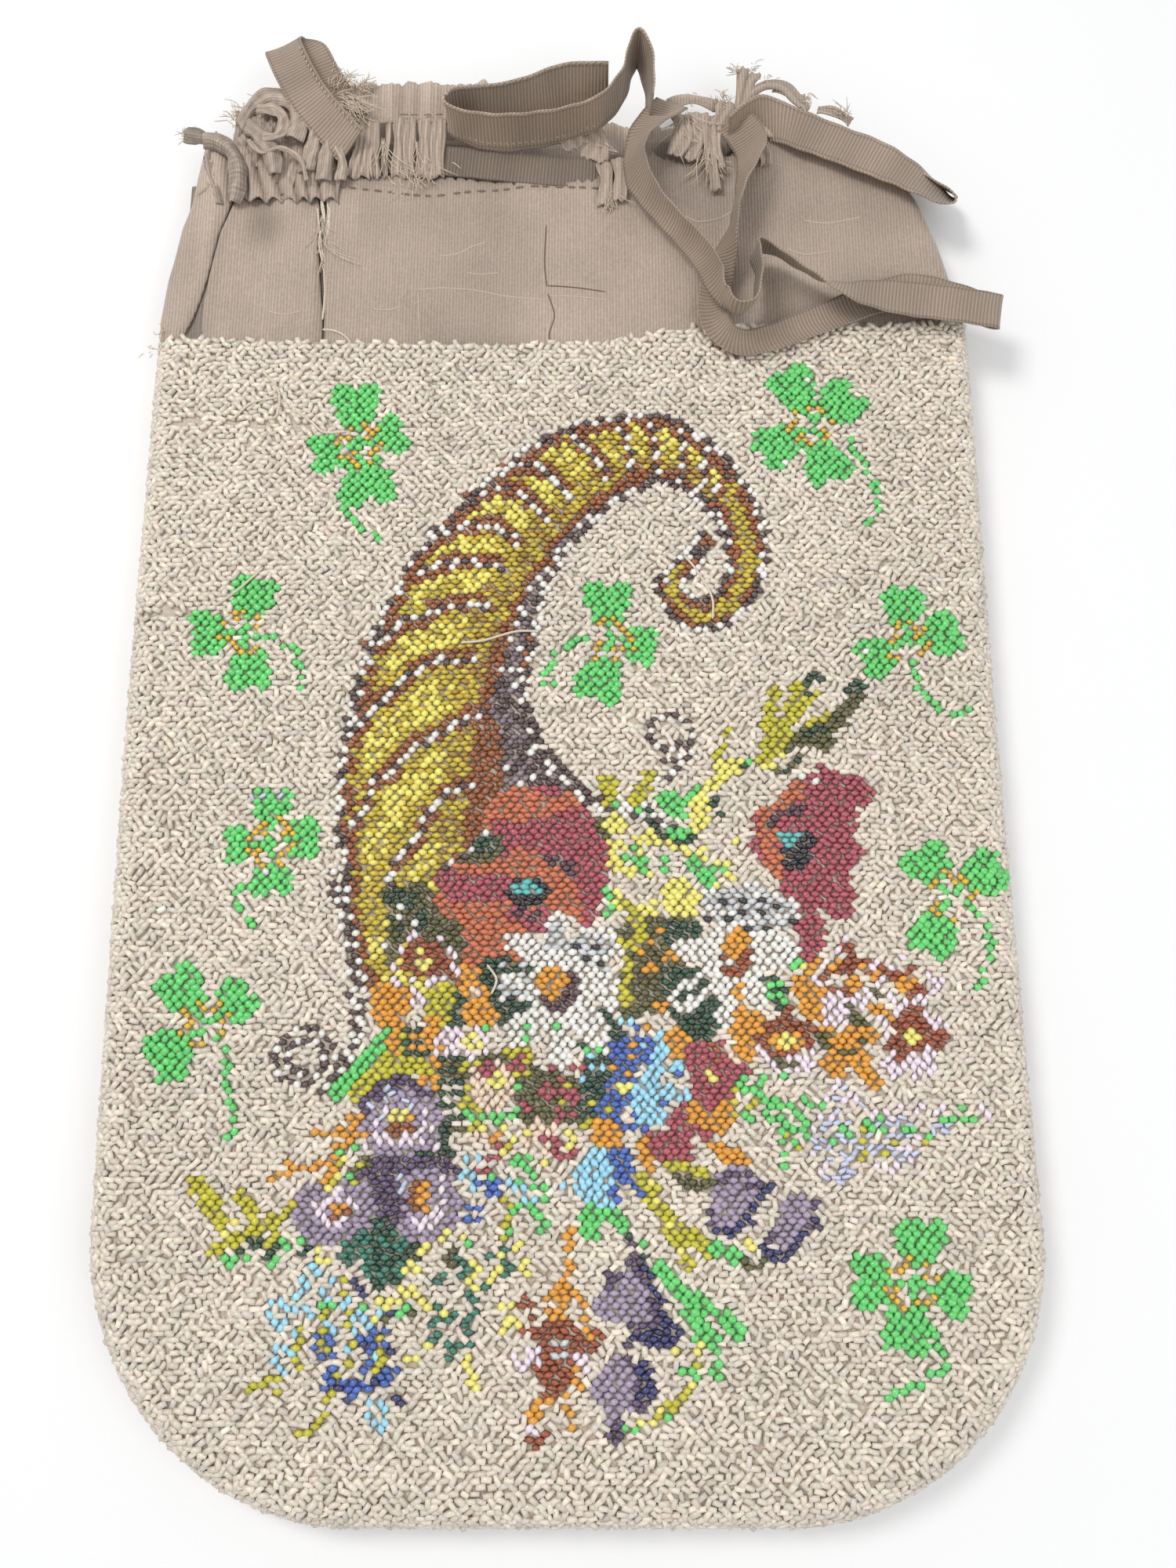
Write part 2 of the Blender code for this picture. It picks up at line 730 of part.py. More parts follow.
def silk_collar(home, cutters):
    """The silk tube above the beadwork, softly folded, with the two long slits of its front."""

    def place(i, j):
        height = SEAM_GAP + (COLLAR_LENGTH - SEAM_GAP) * j / COLLAR_ROWS
        half, radius = collar_shape(height)
        x, z = collar_loop(i / COLLAR_COLUMNS, half, radius)
        if z > FRONT_WALL_FROM * radius:
            z += FOLD_HEIGHT * (j / COLLAR_ROWS) * (1 + math.sin(x * FOLD_RADIANS_PER_METRE)) / 2
        return Vector((x, HALF_LENGTH + height, MIDDLE_Z + z))

    bm = mapped_grid(COLLAR_COLUMNS, COLLAR_ROWS, place)
    face_up(bm)
    collar = thickened("silk_collar", bm, COLLAR_WALL, home, "silk")
    left_slit = [(-88.6, 122), (-85.6, 122), (-85.2, 136), (-82.6, 150), (-79.8, 163), (-84.5, 150),
                 (-87.2, 138)]
    middle_slit = [(-57.4, 122), (-56.2, 122), (-56.2, 140), (-57.2, 152), (-58.4, 163), (-58.4, 150),
                   (-57.6, 138)]
    for name, outline in (("left_slit", left_slit), ("middle_slit", middle_slit)):
        slit = flat_outline(
            name, [on_bag(point) for point in outline], MIDDLE_Z, TOP_Z + SLIT_RISE, cutters
        )
        boolean(collar, "DIFFERENCE", guide(slit))
    return collar


def collar_top(height):
    """The height in Z that clears the collar's front wall."""
    _, radius = collar_shape(height)
    return MIDDLE_Z + radius + FOLD_HEIGHT


def heading_frill(name, side, home):
    """The gathered band of silk above the casing, on the front or the back."""
    low = COLLAR_LENGTH - FRILL_HEIGHT
    half = COLLAR_TOP_HALF_WIDTH - FRILL_SHORTENING
    _, radius = collar_shape(low)
    clear = radius + FOLD_HEIGHT * (side > 0) + SEAM_GAP

    def place(i, j):
        share = i / FRILL_COLUMNS
        x = -half + 2 * half * share
        wave = FRILL_WAVE * (1 + math.sin(2 * math.pi * FRILL_WAVES * share))
        y = HALF_LENGTH + low + FRILL_HEIGHT * j
        return Vector((x, y, MIDDLE_Z + side * (clear + FRILL_WALL + wave * (0.3 + 0.7 * j))))

    bm = mapped_grid(FRILL_COLUMNS, 1, place)
    face_up(bm)
    offset = -1.0 if side > 0 else 1.0
    return thickened(name, bm, FRILL_WALL, home, "silk", offset=offset)


def sheet_from(name, stations, width, wall, home, colour, steps=2):
    """A strip along stations of (x, y, z, bearing, tilt), where x and y are on the chart.

    The height z is in millimetres above the top of the beads. Bearing and tilt, in degrees,
    give the direction of its width: 0 tilt lies flat and 90 stands on edge.
    """
    line = open_curve(stations, steps)

    def place(i, j):
        x, y, z, bearing, tilt = line[i]
        bearing, tilt = math.radians(bearing), math.radians(tilt)
        middle_x, middle_y = on_bag((x, y))
        across = width * (j - 0.5)
        return Vector(
            (
                middle_x + across * math.cos(tilt) * math.cos(bearing),
                middle_y + across * math.cos(tilt) * math.sin(bearing),
                TOP_Z + z * MM + across * math.sin(tilt),
            )
        )

    bm = mapped_grid(len(line) - 1, 1, place)
    return thickened(name, bm, wall, home, colour, offset=0.0)


# The ribbon's free loops: x, y, height above the beads, bearing and tilt of its width
RIBBONS = {
    "ribbon_left_loop": [
        (-54.6, 178.5, 2.4, 38, 25),
        (-60, 187.2, 4.4, 36, 20),
        (-65.2, 194.8, 5.4, 35, 10),
        (-68.6, 201.4, 4.8, 33, 0),
        (-69.8, 204, 3.4, 33, 0),
        (-67.6, 202.6, 1.8, 33, 0),
        (-61.5, 196.8, 1.0, 36, 0),
        (-56.8, 189.6, 0.4, 38, 0),
        (-53, 184.5, 0.2, 40, 0),
    ],
    "ribbon_middle_loop": [
        (19.2, 192, 5.2, 20, 86),
        (18.3, 197, 5.4, 30, 86),
        (16.2, 200.2, 5.5, 90, 88),
        (14.6, 196.5, 5.4, 150, 88),
        (12.6, 191, 5.2, 130, 88),
        (7.5, 185, 5.2, 110, 88),
        (-1, 180.6, 5.2, 95, 88),
        (-11, 178.9, 5.2, 90, 88),
        (-21, 178.2, 5.2, 88, 88),
        (-27.3, 179.6, 5.2, 78, 88),
        (-28.8, 181.6, 5.2, 60, 88),
        (-26.5, 183.2, 5.2, 90, 88),
        (-17, 182.6, 5.2, 90, 88),
        (-7, 183.2, 5.2, 90, 88),
        (1, 187, 5.2, 90, 88),
        (6.5, 188.8, 5.2, 90, 88),
    ],
    "ribbon_long_loop": [
        (25.0, 187.4, 2.0, -32, 10),
        (19.0, 181.0, 2.8, -25, 30),
        (16.2, 174.0, 3.4, 0, 54),
        (16.0, 168.0, 3.8, 20, 58),
        (19.0, 162.0, 4.2, 38, 62),
        (23.6, 156.0, 4.4, 40, 66),
        (28.6, 150.0, 4.6, 38, 64),
        (32.2, 144.0, 5.6, 14, 56),
        (34.2, 138.0, 6.6, 10, 58),
        (35.4, 132.4, 7.2, 40, 84),
        (38.0, 128.4, 7.4, 80, 104),
        (41.6, 129.2, 7.4, 110, 106),
        (43.4, 134.0, 7.4, 150, 96),
        (43.8, 140.0, 7.0, 150, 92),
        (43.2, 144.6, 6.6, 110, 100),
        (46.6, 144.4, 6.4, 76, 112),
        (52.0, 140.6, 6.4, 60, 116),
        (58.0, 136.6, 6.2, 62, 122),
        (64.0, 134.4, 5.6, 74, 145),
        (71.0, 133.8, 4.6, 80, 168),
        (79.0, 133.0, 4.0, 82, 180),
        (88.6, 131.8, 3.8, 80, 180),
        (97.6, 130.6, 3.4, 80, 180),
        (99.6, 130.8, 2.2, 80, 180),
        (97.0, 132.0, 1.2, 80, 180),
        (88.0, 135.6, 0.8, 78, 180),
        (80.0, 137.4, 0.8, 88, 180),
        (72.0, 135.6, 0.8, 104, 180),
        (64.0, 132.2, 0.8, 114, 180),
        (54.0, 127.8, 0.8, 114, 180),
        (46.0, 124.6, 0.9, 108, 180),
        (39.8, 123.6, 1.0, 88, 182),
        (35.6, 126.4, 1.4, 50, 186),
        (33.6, 131.8, 1.2, 14, 184),
        (34.6, 138.6, 1.0, -6, 186),
        (36.4, 145.6, 2.2, -14, 220),
        (38.6, 152.4, 4.6, -14, 256),
        (40.4, 160.0, 4.8, -12, 258),
        (42.4, 167.4, 4.2, -4, 240),
        (43.6, 173.6, 3.2, 10, 222),
        (42.2, 178.8, 2.2, 24, 204),
        (39.6, 182.8, 1.4, 30, 190),
    ],
    "ribbon_right_loop": [
        (47.6, 184.8, 0.9, 98, 30),
        (54, 184.2, 1.4, 82, 14),
        (62, 180.4, 2.2, 62, 8),
        (70, 175.8, 2.8, 60, 8),
        (78, 171, 3.4, 60, 24),
        (84.5, 166.4, 4.6, 58, 56),
        (89, 163, 5.4, 60, 86),
        (92.2, 165, 5.4, 60, 88),
        (90, 169.4, 5.4, 60, 88),
        (85.5, 174, 5.6, 60, 87),
        (81.5, 179, 6.2, 60, 86),
        (76.5, 183, 7.4, 60, 84),
        (72.5, 184.4, 8.2, 60, 84),
    ],
}
CASING_RIBBON = [(-47, 173.6), (-30, 172.8), (-12, 171.4), (6, 169.6), (12, 169.6)]
# The casing's strips: the middle's x on the chart, and the width in millimetres
CASING_STRIPS = [(-49.5, 6.6), (-42.4, 5.0), (-33.2, 5.6)]


def casing_ribbon(home):
    """The run of ribbon that still lies in the torn casing."""
    outline = stroke(CASING_RIBBON, CASING_RIBBON_WIDTH / MM, 1.0, 3)
    low = collar_top(CASING_HEIGHT) + SEAM_GAP
    solid = flat_outline(
        "ribbon_in_casing", [on_bag(point) for point in outline], low, low + RIBBON_WALL, home
    )
    solid.data.materials.append(material("ribbon", CLOTH_ROUGHNESS))
    return solid


def casing_strips(home):
    """The gathered strips of silk that are left of the casing's outer layer."""
    start = COLLAR_LENGTH - FRILL_HEIGHT - STRIP_GAP - STRIP_LENGTH
    clear = collar_top(CASING_HEIGHT) + SEAM_GAP + RIBBON_WALL + SEAM_GAP
    for number, (x, width) in enumerate(CASING_STRIPS, 1):

        def place(i, j, x=x, width=width):
            share = i / STRIP_STEPS
            bulge = STRIP_BULGE * math.sin(math.pi * share)
            crown = STRIP_CROWN if j == 1 else 0.0
            middle, _ = on_bag((x, 0))
            return Vector(
                (
                    middle + width * MM / 2 * (j - 1),
                    HALF_LENGTH + start + STRIP_LENGTH * share,
                    clear + STRIP_WALL + bulge + crown,
                )
            )

        bm = mapped_grid(STRIP_STEPS, 2, place)
        face_up(bm)
        thickened(f"casing_strip_{number}", bm, STRIP_WALL, home, "silk")


def field_outlines():
    """Each field's name, the outlines that make it up and its colour, the front ones first."""
    fields = [
        (name, [clover(*heart, leaves), stroke(stem, STEM_WIDTH)], "green")
        for name, (heart, leaves, stem) in CLOVERS.items()
    ]
    fields += [(name, [outline], colour) for name, outline, colour in FIELDS]
    ribs = [horn_spine(), *(horn_rib(number) for number in range(HORN_RIBS))]
    fields.append(("horn_ribs", ribs, "rust"))
    fields.append(("horn_gold", [horn_outline(HORN_OUTLINE_WIDTH)], "gold"))
    fields.append(("horn_outline", [horn_outline(0.0)], "umber"))
    return fields


def prism_of(name, outlines, by, home):
    """One solid through the front layer over the outlines, moved outward by a distance."""
    solids = [
        flat_outline(
            f"{name}_{k}",
            [on_bag(point) for point in grown(outline, by)],
            MIDDLE_Z + k * PRISM_STEP,
            TOP_Z + POCKET_RISE + k * PRISM_STEP,
            home,
        )
        for k, outline in enumerate(outlines)
    ]
    return union_of(name, solids)


def inlays(home, cutters):
    """The fields of coloured beads, and the pocket that each needs in the front layer."""
    skin = guide(baked(bead_sheet("inlay_skin", True, cutters, 0.0, INLAY_THICKNESS)))
    pocket_wall = POCKET_DEPTH + POCKET_RISE / 2
    pocket_skin = guide(
        baked(bead_sheet("pocket_skin", True, cutters, -POCKET_RISE / 2, pocket_wall))
    )
    pockets = collection("pockets")
    done = []
    for name, outlines, colour in field_outlines():
        field = new_object(name, skin.data.copy(), home, colour, GLASS_ROUGHNESS)
        prism = prism_of(f"{name}_prism", outlines, 0.0, cutters)
        boolean(field, "INTERSECT", prism, "MANIFOLD")
        low = np.min([np.min(outline, 0) for outline in outlines], 0)
        high = np.max([np.max(outline, 0) for outline in outlines], 0)
        for room, room_low, room_high in done:
            below = (low < room_high + NEIGHBOUR_SQUARES).all()
            if below and (room_low < high + NEIGHBOUR_SQUARES).all():
                boolean(field, "DIFFERENCE", room, "MANIFOLD")
        baked(field)
        keep_largest(field)
        room = prism_of(f"{name}_room", outlines, INLAY_GAP / MM, cutters)
        done.append((room, low, high))
        pocket = guide(new_object(f"{name}_pocket", pocket_skin.data.copy(), pockets))
        boolean(pocket, "INTERSECT", room, "MANIFOLD")
        baked(pocket)
    return pockets


def build():
    clear_scene()
    home = collection("beaded_purse")
    cutters = collection("cutters")
    front = bead_sheet("ground_beads_front", True, home)
    bead_sheet("ground_beads_back", False, home)
    edge_row(home)
    thickened("knit_bag", layer_surface(KNIT_INSET, 0, 180, 4), KNIT_WALL, home, "knit")
    thickened("silk_lining", layer_surface(LINING_INSET, 0, 180, 4), LINING_WALL, home, "silk")
    silk_collar(home, cutters)
    heading_frill("heading_frill_front", 1, home)
    heading_frill("heading_frill_back", -1, home)
    casing_ribbon(home)
    casing_strips(home)
    for name, stations in RIBBONS.items():
        sheet_from(name, stations, RIBBON_WIDTH, RIBBON_WALL, home, "ribbon")
    boolean(front, "DIFFERENCE", inlays(home, cutters))


build()
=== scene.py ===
"""The looks of a beaded drawstring purse that lies flat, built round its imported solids."""

import math

import bpy
import numpy as np
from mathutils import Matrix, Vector


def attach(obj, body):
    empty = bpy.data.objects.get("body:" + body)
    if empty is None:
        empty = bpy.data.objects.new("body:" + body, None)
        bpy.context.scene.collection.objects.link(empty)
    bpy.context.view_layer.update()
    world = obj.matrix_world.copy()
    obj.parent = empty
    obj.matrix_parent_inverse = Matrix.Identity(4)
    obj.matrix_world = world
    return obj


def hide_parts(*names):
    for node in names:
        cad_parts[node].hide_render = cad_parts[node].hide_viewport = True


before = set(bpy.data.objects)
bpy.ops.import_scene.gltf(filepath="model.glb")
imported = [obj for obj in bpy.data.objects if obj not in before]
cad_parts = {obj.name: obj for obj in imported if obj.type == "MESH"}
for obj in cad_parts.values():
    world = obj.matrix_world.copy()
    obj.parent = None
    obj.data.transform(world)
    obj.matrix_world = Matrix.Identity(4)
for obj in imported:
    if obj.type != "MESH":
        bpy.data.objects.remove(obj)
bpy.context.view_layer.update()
MM = 0.001
chance = np.random.default_rng(41)

# The bag in millimetres: layers round a flat core, whose outline is the body's less its half depth
HALF_DEPTH = 5.4
MIDDLE_Z = 5.4
TOP_Z = 10.8
CORE_SIDE = 89.6
CORE_CENTRE = (41.0, -70.0)
CORE_RADIUS = 48.6
MOUTH_Y = 124.0
KNIT_INSET = 1.0


# The camera stands over the purse, a little toward its bottom

LOOK_AT = np.array((4.74, 20.0, TOP_Z))
CAMERA_DISTANCE = 257.9
CAMERA_TILT = math.radians(12.6)
LENS = 27.9


def camera():
    """The camera that the picture was taken with: its lens, its tilt and its distance from the purse."""
    data = bpy.data.cameras.new("camera")
    data.lens = LENS
    data.sensor_width = 36.0
    data.clip_start = 0.01
    thing = bpy.data.objects.new("camera", data)
    bpy.context.scene.collection.objects.link(thing)
    back = np.array((0.0, -math.sin(CAMERA_TILT), math.cos(CAMERA_TILT)))
    thing.location = (LOOK_AT + back * CAMERA_DISTANCE) * MM
    thing.rotation_euler = (CAMERA_TILT, 0.0, 0.0)
    bpy.context.scene.camera = thing


# Places on the bag


def core_edge(u, v):
    """How far a point of the flat pattern lies outside the core, and the way out: straight past the
    sides and the bottom, and along the radius at the corners. Above the mouth only the sides count."""
    side = np.where(u < 0, -1.0, 1.0)
    corner_x = np.abs(u) - CORE_CENTRE[0]
    corner_y = v - CORE_CENTRE[1]
    far = np.hypot(corner_x, corner_y)
    beyond = np.abs(u) - CORE_SIDE
    way_x, way_y = side.copy(), np.zeros_like(u)
    low = corner_y < 0
    flat = low & (corner_x <= 0)
    round_ = low & (corner_x > 0)
    beyond = np.where(flat, -corner_y - CORE_RADIUS, beyond)
    beyond = np.where(round_, far - CORE_RADIUS, beyond)
    way_x = np.where(flat, 0.0, np.where(round_, side * corner_x / np.maximum(far, 1e-6), way_x))
    way_y = np.where(flat, -1.0, np.where(round_, corner_y / np.maximum(far, 1e-6), way_y))
    return beyond, way_x, way_y


def lean(y):
    """How far the whole bag leans sideways at a height on the chart."""
    return -1.2 + 2.6 * np.clip((60 - y) / 170, 0, 1) ** 1.5


def swell(x, y):
    """The soft waves of the bag's upper face: two long sines and a shorter one, less than a millimetre."""
    return (
        0.28 * np.sin(x / 23 + 0.6) * np.sin(y / 31 + 1.0)
        + 0.16 * np.sin(x / 11 - y / 17)
        + 0.08 * np.sin(y / 7 + x / 15)
    )


def on_bag(u, v, height, face=1.0):
    """The place and the outward direction of a point that lies height above the bag's skin. Inside
    the core's outline it lies flat; beyond it the skin rolls round with the bag's half depth."""
    beyond, way_x, way_y = core_edge(u, v)
    roll = np.clip(beyond, 0, HALF_DEPTH * math.pi / 2) / HALF_DEPTH
    slip = np.maximum(beyond, 0)
    reach = (HALF_DEPTH + height) * np.sin(roll)
    x = u - way_x * slip + way_x * reach
    y = v - way_y * slip + way_y * reach
    rise = (HALF_DEPTH + height) * np.cos(roll)
    if face > 0:
        rise = rise + swell(x, y) * np.cos(roll)
    out = np.stack([way_x * np.sin(roll), way_y * np.sin(roll), face * np.cos(roll)], -1)
    return np.stack([x + lean(y), y, MIDDLE_Z + face * rise], -1), out


# Meshes from arrays


def mesh_piece(name, places, corners, sizes, smooth=True):
    """A mesh piece from its places in millimetres, and the corners and size of each face."""
    mesh = bpy.data.meshes.new(name)
    mesh.vertices.add(len(places))
    mesh.vertices.foreach_set("co", (np.asarray(places) * MM).astype(np.float32).ravel())
    mesh.loops.add(len(corners))
    mesh.loops.foreach_set("vertex_index", np.asarray(corners, np.int32))
    mesh.polygons.add(len(sizes))
    starts = np.concatenate([[0], np.cumsum(sizes)[:-1]])
    mesh.polygons.foreach_set("loop_start", starts.astype(np.int32))
    mesh.polygons.foreach_set("loop_total", np.asarray(sizes, np.int32))
    mesh.update(calc_edges=True)
    mesh.validate()
    mesh.polygons.foreach_set("use_smooth", np.full(len(mesh.polygons), smooth))
    thing = bpy.data.objects.new(name, mesh)
    bpy.context.scene.collection.objects.link(thing)
    return thing


def paint(thing, name, values):
    """Stores one colour for each vertex."""
    layer = thing.data.color_attributes.new(name, "FLOAT_COLOR", "POINT")
    layer.data.foreach_set("color", np.asarray(values, np.float32).ravel())


def linear(colour):
    """A colour of 0 to 255 as the linear light that a shader takes."""
    share = np.asarray(colour, float) / 255
    return np.where(share <= 0.04045, share / 12.92, ((share + 0.055) / 1.055) ** 2.4)


# One bead of each cut: a prism of rings along its hole, from (place along, size) and n sides


def bead_cut(rings, sides):
    """The places and faces of a bead: rings of sides corners, closed by a face at each end."""
    places, corners, sizes = [], [], []
    for along, size in rings:
        for k in range(sides):
            angle = 2 * math.pi * (k + 0.5) / sides
            places.append((along, size * math.cos(angle), size * math.sin(angle)))
    for ring in range(len(rings) - 1):
        for k in range(sides):
            a, b = ring * sides + k, ring * sides + (k + 1) % sides
            corners += [a, b, b + sides, a + sides]
            sizes.append(4)
    last = (len(rings) - 1) * sides
    corners += list(reversed(range(sides))) + [last + k for k in range(sides)]
    sizes += [sides, sides]
    return np.array(places), np.array(corners), np.array(sizes)


CUTS = {
    "cut": bead_cut([(-1.0, 0.86), (1.0, 0.86)], 5),
    "round": bead_cut([(-1.0, 0.62), (0.0, 1.0), (1.0, 0.62)], 6),
    "drum": bead_cut([(-1.0, 0.66), (-0.62, 0.98), (0.62, 0.98), (1.0, 0.66)], 6),
    "oval": bead_cut([(-1.0, 0.5), (0.0, 1.0), (1.0, 0.5)], 6),
}

# Each glass: its colour, its cut, half its length, half its breadth, how it lies (the turn of its hole
# from the row, and how far that strays) and how its tone varies
GLASS = {
    "ground": ((224, 213, 197), "cut", 0.98, 0.80, (0, 44), 0.09),
    "green": ((104, 208, 112), "drum", 0.82, 0.82, (35, 35), 0.06),
    "dot": ((236, 190, 60), "round", 0.68, 0.68, (0, 30), 0.05),
    "gold": ((208, 184, 62), "round", 0.92, 0.68, (0, 14), 0.10),
    "straw": ((250, 236, 116), "round", 0.88, 0.84, (0, 25), 0.05),
    "bronze": ((172, 134, 48), "round", 0.92, 0.68, (0, 14), 0.10),
    "rust": ((152, 88, 48), "round", 0.84, 0.77, (0, 16), 0.08),
    "umber": ((88, 68, 68), "round", 0.86, 0.73, (0, 25), 0.12),
    "mulberry": ((136, 118, 124), "round", 0.88, 0.68, (10, 25), 0.14),
    "white": ((248, 244, 236), "round", 0.84, 0.84, (30, 35), 0.05),
    "orange": ((206, 116, 80), "round", 0.92, 0.73, (0, 12), 0.06),
    "rose": ((176, 84, 96), "round", 0.86, 0.79, (10, 20), 0.06),
    "plum": ((92, 62, 74), "round", 0.86, 0.77, (0, 20), 0.10),
    "black": ((44, 42, 48), "round", 0.88, 0.73, (0, 15), 0.10),
    "teal": ((108, 198, 194), "round", 0.92, 0.70, (0, 12), 0.06),
    "moss": ((96, 94, 56), "round", 0.88, 0.73, (10, 18), 0.14),
    "leaf": ((44, 74, 56), "round", 0.88, 0.73, (10, 18), 0.14),
    "amber": ((234, 164, 58), "round", 0.88, 0.79, (0, 15), 0.06),
    "brown": ((156, 80, 50), "round", 0.92, 0.70, (0, 15), 0.08),
    "pink": ((250, 232, 242), "oval", 1.08, 0.73, (90, 32), 0.03),
    "lilac": ((172, 156, 178), "round", 0.88, 0.77, (10, 20), 0.08),
    "grape": ((92, 74, 104), "round", 0.88, 0.75, (10, 20), 0.12),
    "navy": ((54, 56, 104), "round", 0.88, 0.77, (0, 18), 0.10),
    "sky": ((168, 226, 250), "oval", 1.06, 0.77, (80, 35), 0.05),
    "blue": ((74, 106, 186), "round", 0.86, 0.79, (0, 22), 0.08),
    "mist": ((200, 206, 230), "cut", 0.86, 0.60, (20, 30), 0.08),
    "olive": ((206, 198, 56), "round", 0.88, 0.77, (0, 18), 0.07),
    "lemon": ((252, 240, 128), "round", 0.90, 0.86, (10, 30), 0.04),
    "peach": ((250, 222, 198), "oval", 1.03, 0.75, (85, 30), 0.04),
    "grey": ((214, 216, 216), "round", 0.92, 0.70, (15, 22), 0.10),
    "pine": ((60, 124, 104), "round", 0.88, 0.73, (0, 20), 0.10),
}


# The chart of the beadwork, on the bag's own millimetres


def places_of(text):
    """Points from a line of text: x and y of each, with a comma after each point."""
    return np.array([[float(part) for part in point.split()] for point in text.split(",")])


def inside(points, outline):
    """Which points lie in a closed outline: those with an odd number of its sides to their right."""
    found = np.zeros(len(points), bool)
    x, y = points.T
    for (x1, y1), (x2, y2) in zip(outline, np.roll(outline, -1, 0)):
        crosses = (y1 > y) != (y2 > y)
        at = (x2 - x1) * (y - y1) / (y2 - y1 + 1e-9) + x1
        found ^= crosses & (x < at)
    return found


def smoothed(line, steps=5, closed=False):
    """The line with Catmull-Rom curves between its points."""
    line = np.asarray(line, float)
    if closed:
        rows = np.concatenate([line[-1:], line, line[:2]])
    else:
        rows = np.concatenate([line[:1], line, line[-1:]])
    a, b, c, d = rows[:-3, None], rows[1:-2, None], rows[2:-1, None], rows[3:, None]
    t = np.linspace(0, 1, steps, endpoint=False)[None, :, None]
    curve = 0.5 * (
        2 * b + (c - a) * t + (2 * a - 5 * b + 4 * c - d) * t**2 + (3 * b - a - 3 * c + d) * t**3
    )
    curve = curve.reshape(-1, line.shape[1])
    return curve if closed else np.concatenate([curve, line[-1:]])


def from_line(points, line):
    """The distance of each point from a line of straight parts, and where along it the nearest place is."""
    nearest = np.full(len(points), 1e9)
    along = np.zeros(len(points))
    so_far = 0.0
    for start, end in zip(line[:-1], line[1:]):
        way = end - start
        length = np.hypot(*way) + 1e-9
        share = np.clip(((points - start) @ way) / length**2, 0, 1)
        away = np.hypot(*(points - start - share[:, None] * way).T)
        closer = away < nearest
        nearest[closer] = away[closer]
        along[closer] = so_far + share[closer] * length
        so_far += length
    return nearest, along


class Chart:
    """The beads' places and the glass and motif of each, painted from back to front."""

    def __init__(self, points):
        self.points = points
        self.glass = np.full(len(points), "ground", dtype="U12")
        self.motif = np.full(len(points), "ground", dtype="U24")

    def put(self, motif, glass, chosen):
        """Gives the chosen beads a motif and a glass."""
        self.glass[chosen] = glass
        self.motif[chosen] = motif

    def area(self, motif, glass, text, share=1.0):
        """Fills a smooth closed outline, or a share of its beads."""
        outline = smoothed(places_of(text), 4, True)
        chosen = inside(self.points, outline)
        if share < 1:
            chosen &= chance.random(len(chosen)) < share
        self.put(motif, glass, chosen)

    def blob(self, motif, glass, x, y, width, height, turn=0.0):
        """Fills an ellipse."""
        lean_ = math.radians(turn)
        dx, dy = self.points[:, 0] - x, self.points[:, 1] - y
        across = dx * math.cos(lean_) + dy * math.sin(lean_)
        up = dy * math.cos(lean_) - dx * math.sin(lean_)
        self.put(motif, glass, (across / width * 2) ** 2 + (up / height * 2) ** 2 < 1)

    def line(self, motif, glass, width, text):
        """Draws a curved line as wide as the pen."""
        away, _ = from_line(self.points, smoothed(places_of(text), 4))
        self.put(motif, glass, away < width / 2)

    def dots(self, motif, glass, text):
        """Sets the bead nearest to each point."""
        for place in places_of(text):
            self.put(motif, glass, np.argmin(np.hypot(*(self.points - place).T)))

    def chain(self, motif, glasses, text, step=1.55):
        """A row of single beads along a curved line, its glasses taken in turn."""
        curve = smoothed(places_of(text), 6)
        run = np.concatenate([[0], np.cumsum(np.hypot(*np.diff(curve, axis=0).T))])
        count = max(int(run[-1] / step), 1)
        for k in range(count + 1):
            at = run[-1] * k / count
            place = [np.interp(at, run, curve[:, axis]) for axis in (0, 1)]
            nearest = np.argmin(np.hypot(*(self.points - place).T))
            self.put(motif, glasses[k % len(glasses)], nearest)


